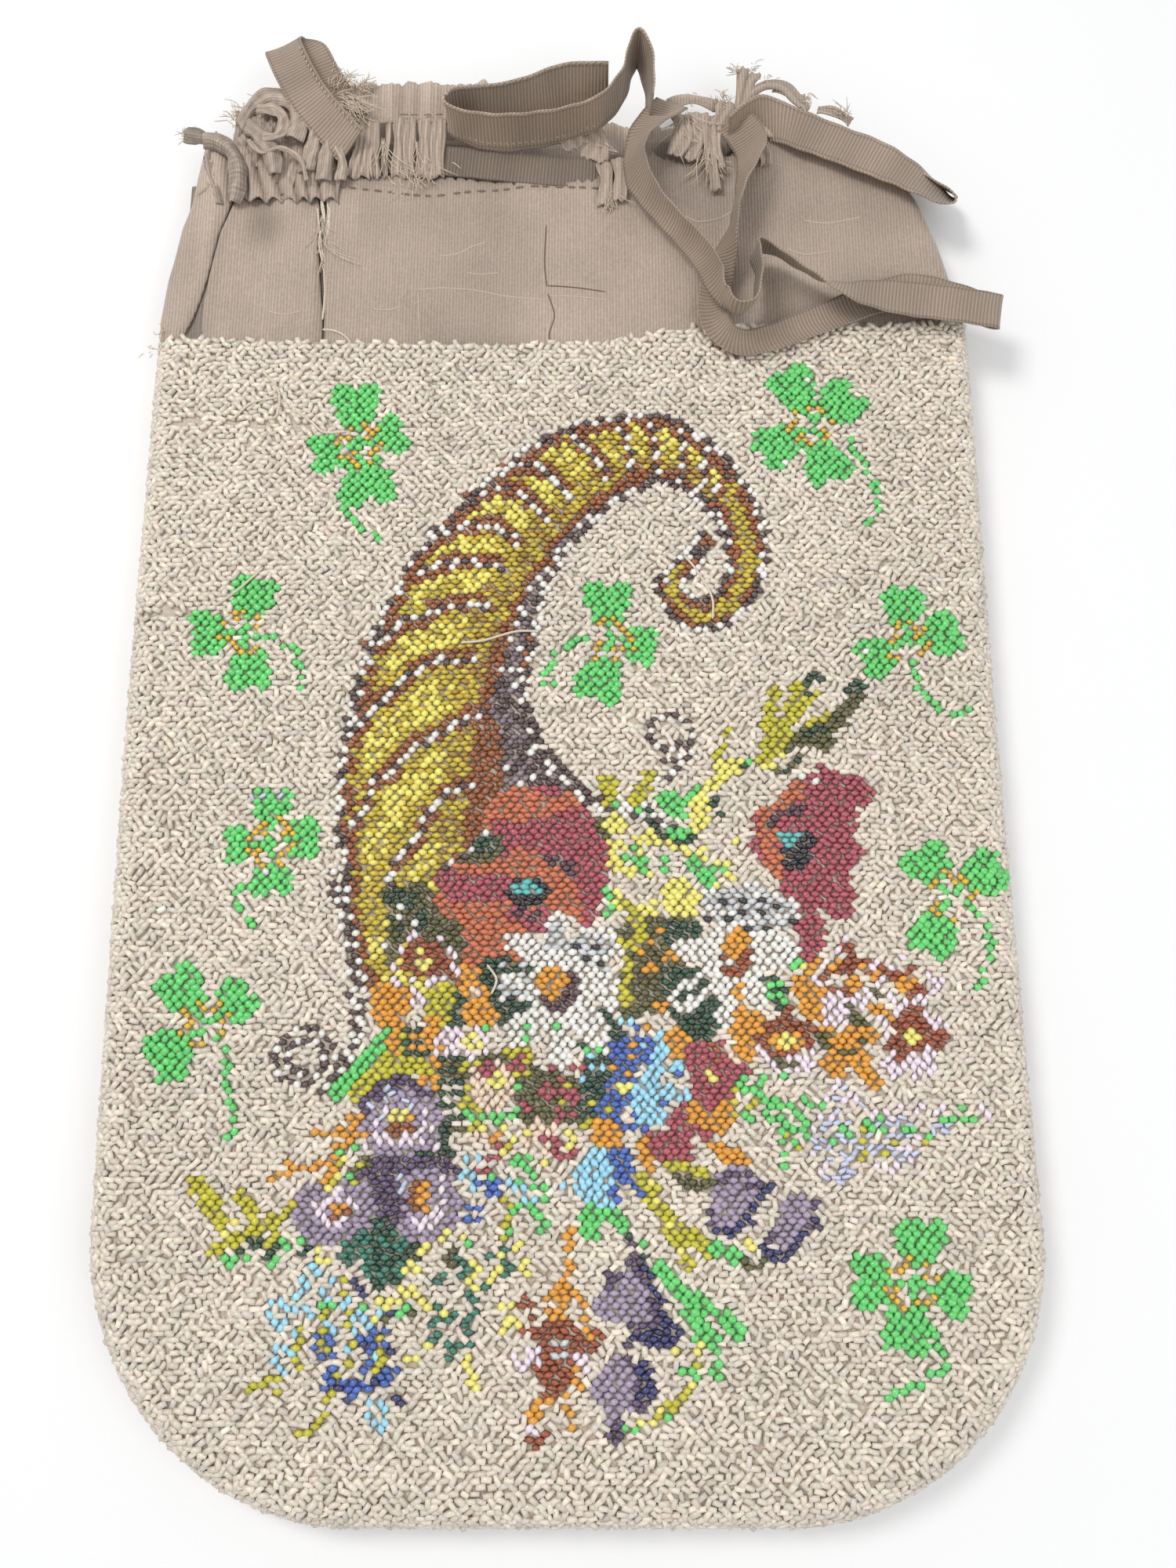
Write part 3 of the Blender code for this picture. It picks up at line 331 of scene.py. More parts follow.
# Each clover: its heart, its leaves (bearing, length, half the spread) and its stem
CLOVERS = {
    "clover_upper_left": (
        (-47, 99),
        [(97, 15, 33), (18, 11, 40), (198, 11.5, 38), (283, 15.5, 36)],
        "-49.5 88.5, -50.5 86, -50.5 83.5, -48.5 81, -46.5 78.5, -44 78, -42.5 76",
    ),
    "clover_upper_right": (
        (55.5, 104),
        [(110, 15.5, 33), (38, 14, 37), (214, 14.5, 34), (288, 15.5, 32)],
        "63.5 100, 66 96.5, 68 93, 69.3 89, 69.4 84, 67 79.5",
    ),
    "clover_left": (
        (-70.5, 54.5),
        [(80, 13, 36), (184, 12, 38), (278, 14, 32)],
        "-67.5 53.8, -64.5 52.8, -61.5 51.5, -59 49, -57.8 46, -57.2 42",
    ),
    "clover_middle": (
        (9.5, 52.5),
        [(93, 13.5, 34), (350, 10.5, 38), (256, 15, 32)],
        "4 52.8, 1.5 52.2, -1.5 49.5, -3 46.5, -4.5 44, -5 41.5, -3 42.5",
    ),
    "clover_right": (
        (74.5, 51.5),
        [(93, 13.5, 33), (16, 12.5, 36), (203, 12, 34)],
        "74.5 47.5, 75.5 44, 76.5 41.5, 79 38.5, 81.5 36, 84.5 35.5, 86.5 36",
    ),
    "clover_lower_left": (
        (-62, 7.5),
        [(90, 12, 30), (8, 10.5, 40), (183, 9.5, 38), (275, 11.5, 34)],
        "-67.5 -1.5, -68.5 -4, -68 -6.5, -66 -9, -64.8 -10.5",
    ),
    "clover_lower_right": (
        (80.5, -4),
        [(122, 13, 34), (33, 13.5, 32), (243, 13.5, 33)],
        "83.5 -5.5, 86 -7.5, 87 -10.5, 88.3 -13.5, 87.5 -16.5, 86.5 -19, 84.5 -22",
    ),
    "clover_bottom_left": (
        (-73, -30.5),
        [(126, 14, 30), (42, 11.5, 36), (218, 13.5, 36)],
        "-70.5 -33.5, -69 -36, -68.3 -38.5, -67.5 -42, -66.5 -46, -65.5 -49.5, -66.5 -52",
    ),
    "clover_bottom_right": (
        (68, -79.5),
        [(77, 12.5, 36), (346, 11.5, 32), (177, 12, 38), (259, 13, 34)],
        "71 -87, 72.5 -91, 73 -94.5, 70 -97, 66.5 -98.5, 62 -100.5",
    ),
}
CLOVER_HEART = 2.6


def draw_clovers(chart):
    """Each leaf reaches out by a rounded swell with a notch in its middle, in the leaf's own turn."""
    for name, (heart, leaves, stem) in CLOVERS.items():
        away = chart.points - heart
        far = np.hypot(*away.T)
        angle = np.degrees(np.arctan2(away[:, 1], away[:, 0]))
        for bearing, length, spread in leaves:
            share = ((angle - bearing + 180) % 360 - 180) / spread
            bulge = np.sqrt(np.clip(1 - share**4, 0, 1))
            notch = 1 - 0.16 * np.exp(-((share / 0.2) ** 2))
            reach = CLOVER_HEART + (length - CLOVER_HEART) * bulge * notch
            chart.put(name, "green", (far < reach + 0.3) & (far > 4.4) & (np.abs(share) < 1.03))
        for bearing, length, spread in leaves:
            for turn, out in ((-30, 4.1), (30, 4.1), (-18, 5.0), (18, 5.0), (-55, 3.0)):
                place = math.radians(bearing + turn)
                dot = np.add(heart, (out * math.cos(place), out * math.sin(place)))
                chart.put(name, "dot", np.argmin(np.hypot(*(chart.points - dot).T)))
            way = np.array((math.cos(math.radians(bearing)), math.sin(math.radians(bearing))))
            for out in (1.2, 2.8, 4.4):
                dot = np.add(heart, way * out)
                chart.put(name, "green", np.argmin(np.hypot(*(chart.points - dot).T)))
        chart.chain(name, ["green"], stem, 1.75)
    chart.dots("clover_upper_right", "white", "55.2 114.3, 48.6 95")
    chart.dots("clover_right", "white", "65 50.5")
    chart.dots("clover_lower_left", "white", "-63 1.5")
    chart.dots("clover_lower_left", "mist", "-66.3 17.3, -63.6 17.3, -61 17.8")


# The horn's middle line on the chart: x, y and half its width
HORN = np.array(
    [
        (-29.5, -24, 12), (-28.5, -6, 17), (-28.5, 18, 20.4), (-27, 40, 19.0), (-23.5, 55, 17.4),
        (-18.5, 68, 15.4), (-10, 80, 13.0), (0.5, 90.7, 12), (10, 95.7, 10.4), (19.5, 98, 9.0),
        (27.5, 94.7, 7.4), (34.5, 88.5, 6.2), (39, 80, 5.4), (40, 71, 4.8), (37.3, 62.5, 4.2),
        (31, 58, 4.2), (25, 60.5, 3.8), (23.5, 66, 3.4), (27, 70.5, 2.4),
    ],
    float,
)
# The white dotted lines across it, from its outer edge to its inner side
HORN_LINES = [
    "-26 1, -22 4, -18 8, -15 11",
    "-37 -3, -35.5 3, -33 6, -31 9, -30 13, -27 16, -24 18.5, -20 20, -17 22.5, -14 24",
    "-48 8.5, -44 13, -42 17, -41 20, -38.5 22, -35.7 25.3, -31 29, -26 31.5, -22 34, -19 35, -15 36",
    "-47 31, -44 34, -42 37, -38 41, -34 44.5, -30 46.5, -26 47.5, -20 47.5",
    "-43.5 51, -39 53.5, -36.3 56.3, -33 57.2, -30 58.5, -26.5 59.8, -21 60.3, -17 60",
    "-36.5 66, -34 68, -31 69, -27 70, -22 70.2, -17 70, -13.5 68.8",
    "-30 75.5, -26.5 78, -23 79.5, -19.5 79.6, -16 78.6, -13 77.2, -10.5 74.8",
    "-22.5 85.5, -19 87.8, -15.5 88.8, -12.5 88, -9.5 85.8, -7.5 83.5, -4.5 81",
    "-14 93.5, -10.5 94.3, -7 93.8, -4 92, -1.5 89.5, 0.5 86.5",
    "2 101, 4.5 98.5, 6.5 96, 8 93.5, 9 91",
    "12.5 103, 13.5 99.5, 14.3 96, 15 92",
    "18.5 104, 19.8 100, 20 96, 20 91",
    "25.5 102, 26.2 98, 26.2 94, 25.5 90",
    "32 98, 31.2 94, 31 91, 29.5 87.5",
    "37 92, 34.6 89, 33.5 86",
]


def along_horn(points):
    """For each bead, its place along the horn's middle line in stations, and its place across it,
    which runs from -1 at the outer edge to 1 at the inner one."""
    line = smoothed(HORN, 16)
    ahead = np.gradient(line[:, :2], axis=0)
    ahead /= np.hypot(*ahead.T)[:, None]
    apart = np.hypot(*(points[:, None, :] - line[None, :, :2]).transpose(2, 0, 1))
    nearest = apart.argmin(1)
    off = points - line[nearest, :2]
    inward = off[:, 0] * ahead[nearest, 1] - off[:, 1] * ahead[nearest, 0]
    return nearest / 16, inward / line[nearest, 2], line[nearest, 2]


def draw_horn(chart):
    """The horn: its gold body, its rust ribs and its dotted outline."""
    points = chart.points
    place, across, half = along_horn(points)
    on_it = (np.abs(across) < 1) & (place > 0.05)
    edge = half * (1 - np.abs(across))
    apart = []
    for text in HORN_LINES:
        line = smoothed(places_of(text), 4)
        apart.append(from_line(points, line)[0])
    apart = np.sort(np.array(apart), 0)
    middle = apart[0] / (apart[0] + apart[1])
    luck = chance.random(len(points))
    tail = place > 11.3
    chart.put("horn_gold", "gold", on_it)
    streak = on_it & (middle > 0.27) & (across > -0.72) & (across < 0.12) & ~tail
    chart.put("horn_gold", "straw", streak & (luck < 0.62))
    shade = on_it & (across > 0.1) & (luck < 0.35) & ~tail
    chart.put("horn_gold", "bronze", shade)
    rust_from = np.interp(place, [0, 2, 3, 4, 5, 7, 9, 11], [0.3, 0.38, 0.42, 0.5, 0.62, 0.66, 0.5, 0.6])
    chart.put("horn_ribs", "rust", on_it & (across > rust_from) & (place < 11.3))
    dusk_from = np.interp(place, [0, 2, 3, 4, 5, 6, 8, 8.6], [0.9, 0.72, 0.64, 0.64, 0.7, 0.76, 0.84, 0.99])
    dusk = on_it & (across > dusk_from) & (place > 1.9) & (place < 8.6)
    chart.put("horn_outline", "mulberry", dusk)
    chart.put("horn_outline", "umber", dusk & (luck < 0.38))
    chart.put("horn_outline", "white", dusk & (luck > 0.85))
    outer_rust = on_it & (across < 0) & (edge < 3.8) & (luck < 0.9)
    chart.put("horn_ribs", "rust", outer_rust & (place < 11.5))
    sides = tail & on_it & (np.abs(across) > 0.34)
    chart.put("horn_ribs", "rust", sides & (luck < 0.75))
    for text in HORN_LINES:
        line = places_of(text)
        middle_x = (line[0] + line[-1]) / 2
        low = ", ".join(f"{x} {y - 2.0}" for x, y in line[: len(line) // 2 + 1])
        high = ", ".join(f"{x} {y + 2.0}" for x, y in line[len(line) // 2 :])
        if middle_x[0] < 6:
            chart.line("horn_ribs", "rust", 1.5, low)
            chart.line("horn_ribs", "rust", 1.5, high)
        chart.line("horn_ribs", "rust", 2.3, text)
        chart.chain("horn_outline", ["white", "umber", "white"], text, 1.45)
    rim = on_it & (edge < 2.1)
    chart.put("horn_outline", "umber", rim)
    chart.put("horn_ribs", "rust", rim & (edge > 1.3) & (luck > 0.55))
    chart.put("horn_outline", "white", rim & (luck < 0.5) & ((edge < 1.5) | (luck < 0.2)))
    flare = "-13 46, -10.5 40, -8.5 35, -6 29, -2.5 24, 1 20.5, 3 17, -2 17, -8 19, -15 22, -17 34, -15 42"
    chart.area("horn_outline", "mulberry", flare)
    chart.area("horn_outline", "umber", flare, 0.5)
    chart.area("horn_outline", "white", flare, 0.07)
    chart.chain(
        "horn_outline", ["white", "umber", "white"],
        "-10 42, -8.5 36, -8 33, -5.5 27.5, -2.5 23.5, 0 20.5, 3.5 17, 6.5 15, 10 14.3, 14 13.5, 18 13, "
        "20.5 11.5",
        1.6,
    )
    chart.chain("horn_outline", ["umber"], "-9 38, -6.5 31.5, -3 26, 0.5 22, 4 18.6, 7.5 16.5", 1.6)
    chart.area("horn_ribs", "rust",
               "-20 30, -15 34, -13.5 28, -13.5 22, -12 19, -14 13, -18 10, -20 14, -19 20", 0.85)
    chart.area("horn_gold", "gold", "-45.5 -4, -40 -2, -38 -6, -37 -12, -38 -18, -41.5 -19, -44 -11")
    chart.blob("horn_gold", "straw", -39.3, -14.8, 4, 5)
    chart.chain("horn_ribs", ["rust"], "-45 -1, -43.5 -7, -42 -13, -41 -19, -40.4 -23", 1.5)
    chart.chain("horn_outline", ["umber", "white"],
                "-46.8 -1, -45 -7, -43.8 -13, -42.8 -18, -42 -23, -41.2 -28, -41.5 -31", 1.5)
    chart.chain("horn_outline", ["white", "umber"],
                "-48.5 1, -46.6 -7, -45.2 -13, -44.4 -18, -43.6 -23, -42.8 -28, -43 -33", 1.5)
    chart.chain("horn_outline", ["umber", "white"],
                "-41.5 -31, -42 -34, -43.5 -36.5, -45 -38.5, -46.5 -40.5, -49 -42.5", 1.6)
    chart.chain("horn_outline", ["white", "umber"], "-43 -33, -44 -35.5, -45.5 -37", 1.6)


def draw_spirals(chart):
    """The two little spirals of white and dark beads that end the horn's rim."""
    for x, y, radius, turns, start, shrink in ((-53, -37, 7.0, 1.9, -30, 0.66),
                                               (22, 31, 5.6, 1.2, -100, 0.5)):
        run = np.linspace(0, 1, 90)
        angle = np.radians(start) + 2 * math.pi * turns * run
        far = radius * (1 - shrink * run)
        length = 2 * math.pi * turns * radius * (1 - shrink / 2)
        taken = np.zeros(len(chart.points))
        for k, step in enumerate(np.arange(0, 1, 1.4 / length)):
            at = [np.interp(step, run, line) for line in (x + far * np.cos(angle), y + far * np.sin(angle))]
            nearest = np.argmin(np.hypot(*(chart.points - at).T) + taken)
            taken[nearest] = 9
            chart.points[nearest] += 0.7 * (at - chart.points[nearest])
            chart.put("spirals", ("umber", "umber", "white")[k % 3], nearest)
    chart.chain("spirals", ["white", "umber"], "20 20.5, 22.5 21.5, 25 24, 26.8 27.5, 27.2 30.5", 1.6)


def draw_left_side(chart):
    """The left of the bouquet: a blossom, amber buds, leaves and fine sprays."""
    area, line, dots, chain = chart.area, chart.line, chart.dots, chart.chain
    area("bouquet_leaves", "moss",
         "-39 -2.5, -35 -2, -31 -1, -27.5 -3, -26 -7, -22.5 -9, -21 -13, -21.5 -17, -24 -19, -28 -14, "
         "-33 -12.5, -34.5 -16, -36 -19, -37.5 -15, -36.5 -9")
    area("bouquet_leaves", "leaf", "-38 -3, -33 -3, -29 -6, -28 -11, -35 -11", 0.4)
    dots("bouquet_leaves", "white", "-34 -6.3, -35 -8, -31.5 -9.5, -36.8 -13.5")
    area("blossom_left", "brown",
         "-33 -14.5, -29.5 -12.5, -26 -14, -23.5 -17, -25 -19.8, -30 -20.4, -33.2 -18.6")
    dots("blossom_left", "lemon", "-29.3 -15.6, -28 -17.2, -30.2 -17.4, -29 -18.4")
    dots("blossom_left", "pink", "-31.2 -11.6, -32.4 -13.3, -33.4 -15, -26 -13.4, -24.6 -15.3, -23.2 -16.6, "
         "-34.4 -18.4, -35.2 -20, -34.2 -21.6, -22.6 -18.4, -22 -20, -24.2 -20.6, -23.4 -22, -30.6 -20.8, "
         "-30.6 -23.2, -29.4 -24.4, -28 -22.6, -27.6 -25.4, -26.4 -21.4, -31.2 -25.2, -29 -26")
    area("bouquet_amber", "amber",
         "-39.5 -21.5, -35 -22.6, -31.6 -24, -31.4 -27, -33 -31, -34 -38, -35.6 -38, -36.4 -31, -39.4 -28")
    area("bouquet_amber", "amber",
         "-21.4 -19, -19.5 -14.5, -17 -16, -16.4 -21, -14 -25.5, -13.4 -29, -17 -30.5, -20.5 -29, -21.4 -24")
    dots("bouquet_amber", "peach", "-18.4 -22.5, -18 -24.2")
    area("olive_leaf_fill", "olive", "-27 -22.5, -23.5 -22, -21.6 -27, -22 -30.6, -28.6 -30, -28.4 -25")
    area("bouquet_leaves", "leaf",
         "-16.4 -17, -13 -16.5, -11.6 -21, -10 -25, -9 -28, -12.6 -31, -14 -27, -15.4 -22")
    area("bouquet_leaves", "leaf", "-22 -23, -20.6 -24, -21 -31, -23 -32, -23.6 -30")
    for y in (-31.5, -33.8, -36.2):
        chain("bouquet_leaves", ["leaf"], f"-33 {y}, -28 {y + 0.3}", 1.4)
        chain("bouquet_amber", ["olive", "amber"], f"-33 {y - 1.2}, -28 {y - 0.9}", 1.4)
    line("bouquet_amber", "amber", 3.2, "-27 -30, -26.4 -36, -27.4 -42")
    area("olive_leaf_fill", "olive", "-41 -37, -36.5 -35, -34 -38, -36 -42, -41 -45, -43.4 -44, -42.6 -41")
    area("olive_leaf_fill", "olive", "-34 -37.5, -28 -37, -27 -40, -31 -39.6, -33 -42, -36.6 -40")
    for y in (-37, -39.4, -41.8, -44.2, -46.6, -49):
        chain("bouquet_leaves", ["leaf"], f"-24.6 {y}, -20.8 {y}", 1.4)
        chain("bouquet_leaves", ["moss"], f"-24.4 {y - 1.2}, -21 {y - 1.2}", 1.6)
    area("bouquet_leaves", "leaf",
         "-30 -50, -24 -48, -23 -52, -22 -56, -24 -59, -30 -60, -36 -61, -41 -60, -41 -56, -35 -55, -30 -54")
    area("bouquet_leaves", "moss", "-41 -56, -35 -55.4, -34 -58, -38 -61, -41.4 -60")
    line("sprays_left", "green", 2.9, "-36.8 -32, -38.6 -35, -41 -38, -44 -41, -46 -44")
    dots("sprays_left", "green", "-16.2 -31.4")
    for x, y, heart in ((-23.4, -33.6, "pink"), (-18.6, -33.8, "lemon")):
        for k in range(8):
            angle = math.pi / 4 * k
            dots("small_flowers", "pink", f"{x + 2.7 * math.cos(angle)} {y + 2.6 * math.sin(angle)}")
        dots("small_flowers", heart, f"{x - 1} {y}, {x + 1} {y}, {x} {y + 1.1}, {x} {y - 1.1}")


def draw_poppies(chart):
    """The two poppies with their eyes."""
    area, dots, blob = chart.area, chart.dots, chart.blob
    area("poppy_left", "orange",
         "-14 18.4, -9 20, -4 20, 1 18.6, 4 15.4, 5.4 13, 7 9.6, 8.8 5, 9 1, 7.6 -3, 6.6 -8, 5 -14, "
         "3.4 -14, 3.2 -9, 0 -7, -3 -8.6, -4.6 -11, -7.4 -12.6, -8 -17, -12 -18.6, -16.6 -17.6, -20 -18, "
         "-21 -12, -23 -8.6, -27 -7, -27 -2, -25 2, -20 4.6, -16 4, -14 9, -18 11, -17 15")
    area("poppy_left", "rose",
         "-15.6 13, -10 12, -4 13, 0 14.4, 4 14.6, 6.4 11, 8.6 6, 9 1, 7.4 -4, 6.4 -10, 5 -14, 3.6 -13, "
         "4 -7, 2.4 -2, 2 1, -1 4, -5 5.4, -9 6.4, -13 5, -15.6 9")
    area("poppy_left", "rose", "-8 20, -3 20.2, 0 18.6, -3 17.8")
    area("poppy_left", "rose", "-27 1.4, -20 1, -13 0.6, -11.6 -2, -12.6 -4.6, -18 -5.4, -25 -4.4")
    area("poppy_left", "rose", "-12.4 -6, -8 -7, -3.6 -6, -2.4 -9, -5 -11.6, -9 -9.4, -12 -9")
    area("poppy_left", "orange", "-3 -1, 1.6 -1, 2.6 -6, 0 -8, -3 -7")
    dots("poppy_left", "plum",
         "-3.4 4.6, -1.8 4.9, -2.8 3.6, -0.8 3.8, 1 2.2, 0.6 3.2, 1.4 1.4, -9 -7.4, -7 -7.8, -6 -6.8")
    blob("poppy_left", "black", -7.6, -3.0, 9.6, 7)
    blob("poppy_left", "teal", -7.8, -2.0, 6.4, 3.0)
    area("bouquet_leaves", "moss",
         "-23.6 3.4, -20.6 4, -18.4 7, -16.6 9.6, -13.4 9, -12.8 5.6, -14.4 3.6, -18 3.6, -21 2.6")
    area("bouquet_leaves", "leaf", "-19 8, -16 9, -14 6, -17 5")
    area("poppy_right", "rose",
         "40 13, 42 15.6, 45 16, 47 20, 50 22, 53 22, 54.4 24.4, 57 23, 61 22.6, 64 21, 65.8 17, 64 15, "
         "61 15, 62.4 11, 61 9, 63 5, 60.6 2, 59.4 -1, 60.4 -5, 58 -8.4, 55 -7.6, 52.6 -6, 54 -9, "
         "53.6 -14, 51 -17.4, 48 -16.4, 48 -12, 46.4 -9, 48 -6, 45 -7.4, 43 -6, 44.6 -2, 43 0, 41 2, "
         "40.4 4, 38.8 6.6, 39.8 9")
    area("poppy_right", "orange",
         "40.4 13, 43 15.6, 45.4 16.6, 47.4 20.6, 50.4 21.8, 50 17, 47 15.6, 44.6 13, 44.8 9, 45.2 5, "
         "45.4 0.4, 43 0, 41.4 3, 41 7")
    dots("poppy_right", "white", "50.8 21.2, 52.6 20.8")
    area("poppy_right", "plum", "42.8 12.6, 45.4 14.6, 50.6 15.4, 50.2 13.2, 46.4 13, 44.4 11, 43 11.2")
    area("poppy_right", "black", "49 9.6, 52 9, 52 5, 50 2.8, 47 1.4, 45.8 3.8, 45.6 6.6, 49 6.6")
    blob("poppy_right", "teal", 47.2, 8.2, 5.0, 4.4)


def draw_daisies(chart):
    """The two daisies with their eyes, and the leaves and buds round them."""
    area, line, dots, blob, chain = chart.area, chart.line, chart.dots, chart.blob, chart.chain
    area("bouquet_leaves", "leaf", "-17 -17, -9 -17, -4 -16, -6 -22, -8 -27, -12 -29, -15 -26")
    area("bouquet_leaves", "moss",
         "8 -11, 12 -10, 14 -8, 19 -8.6, 23 -8, 28 -9, 28 -14, 24 -18, 22 -20, 22 -25, 18 -27, 13 -29, "
         "10 -27, 10 -22, 12 -17")
    area("bouquet_leaves", "leaf", "19 -10, 28 -9.6, 28 -16, 23 -17")
    area("bouquet_leaves", "leaf", "4 -27, 9 -27, 12 -31, 10 -34, 4 -32")
    area("bouquet_leaves", "leaf", "20 -19, 30 -20, 34 -26, 30 -33, 24 -32, 21 -27")
    area("daisy_left", "white",
         "-7 -18.6, -12 -14.6, -13 -11.6, -9 -11, -6.4 -13, -4.8 -14, -4 -9.6, -1 -7, 1 -9, 0.6 -13, "
         "5 -10, 10 -11, 12.6 -14, 10 -17, 6 -18.4, 9 -20, 13 -22, 13.6 -26, 10 -27.4, 6 -25.6, 8 -29, "
         "9.6 -34, 6.6 -36.4, 3 -33, 1.4 -30, 1.6 -37, -1 -39.4, -3.4 -37, -3.6 -31, -7 -34.6, -11 -34, "
         "-12 -30, -9 -27.6, -6.6 -26, -12 -25.6, -14 -22, -11.6 -20")
    area("daisy_left", "grey", "-2.6 -9, 0 -8, 0.4 -13, 5 -11, 9.6 -12, 9 -15.6, 3 -17, -1 -15, -4.6 -15",
         0.75)
    area("daisy_left", "grey", "-13 -21, -7 -20, -6.6 -23.6, -12 -24", 0.6)
    chain("daisy_left", ["moss", "grey"], "-13.6 -18, -9 -17.4", 1.5)
    chain("daisy_left", ["black", "grey"], "-11.4 -24.6, -6.8 -23.8", 1.5)
    chain("daisy_left", ["black", "grey"], "2 -14, 6 -14.8", 1.5)
    chain("daisy_left", ["black", "grey"], "3.8 -17, 8.6 -18.4", 1.5)
    blob("daisy_left", "amber", -2.2, -21.8, 6.6, 7.4, -30)
    area("daisy_left", "plum",
         "-5.4 -24.6, -2.4 -25, 0.4 -22.6, 1.4 -19.6, 2.8 -20.6, 2.6 -24, -0.4 -27, -4 -27.2")
    dots("daisy_left", "green", "-7.2 -30.8, -8.4 -32.8, -1.6 -31, 4.6 -35.2, 6.2 -35.6")
    area("daisy_right", "white",
         "28.6 -12.6, 24 -12.8, 22 -15.8, 25.6 -18, 30 -17.4, 25 -20.6, 21.6 -24, 23 -28, 27 -26.6, "
         "30.6 -23, 30 -27, 32.6 -30.6, 35.6 -28.6, 37 -24, 38.6 -27, 41.4 -26, 40.6 -21, 39.4 -18.6, "
         "44 -19, 48 -16, 47.4 -12, 42.6 -12.6, 48 -9, 48.4 -5.4, 44 -3, 41 -7, 41.6 -2, 37 -1.2, 35 -7, "
         "33 -2, 28.6 -3, 28 -7, 31.4 -10")
    area("daisy_right", "grey", "28.6 -3.6, 34 -2.4, 41 -2, 47.6 -5.4, 47 -10.6, 39 -9, 33 -8.6, 29 -7", 0.8)
    chain("daisy_right", ["black", "grey"], "30 -8.6, 35 -8.2, 40 -7.2, 44 -6.2", 1.7)
    chain("daisy_right", ["black", "grey"], "38.6 -10.6, 42 -10.2, 46.6 -9.4", 1.7)
    chain("daisy_right", ["black", "grey"], "33 -5.4, 37 -4.4, 41 -4.6", 1.9)
    chain("daisy_right", ["leaf"], "24 -24.4, 26.6 -23.2, 29 -21.2", 1.4)
    chain("daisy_right", ["leaf"], "27.6 -31, 29.6 -28, 31.4 -25.4", 1.4)
    line("bouquet_leaves", "leaf", 2.4, "27 -33, 29 -30")
    blob("daisy_right", "amber", 35, -14.0, 6.2, 7.0, -20)
    area("daisy_right", "brown",
         "32.8 -16.4, 34.4 -18, 36 -17.2, 38 -14.8, 38.4 -17.4, 36.8 -20.2, 34.6 -20.4, 32.8 -19")
    chain("bouquet_amber", ["amber"], "35.6 -22, 35.2 -24, 35.6 -26, 35 -28", 1.3)
    dots("bouquet_amber", "amber",
         "16.4 -11.6, 15 -13.6, 17 -13, 16.4 -15.2, 17.6 -17, 21 -15.4, 22.2 -16.8, 20.4 -17.6, "
         "19.4 -11.4, 16.6 -18.8, 18.6 -18.4, 13.6 -19.6, 21 -25.6, 19.6 -27.4, 18 -26")
    area("olive_leaf_fill", "olive",
         "11 -12, 13.6 -12.4, 15 -15, 14 -20, 14.6 -25, 12.6 -28, 11.4 -24, 12.4 -18", 0.8)
    area("olive_leaf_fill", "olive", "12 -4.6, 14.4 -6, 17.6 -9, 17 -12, 14.4 -14.6, 13.4 -10")


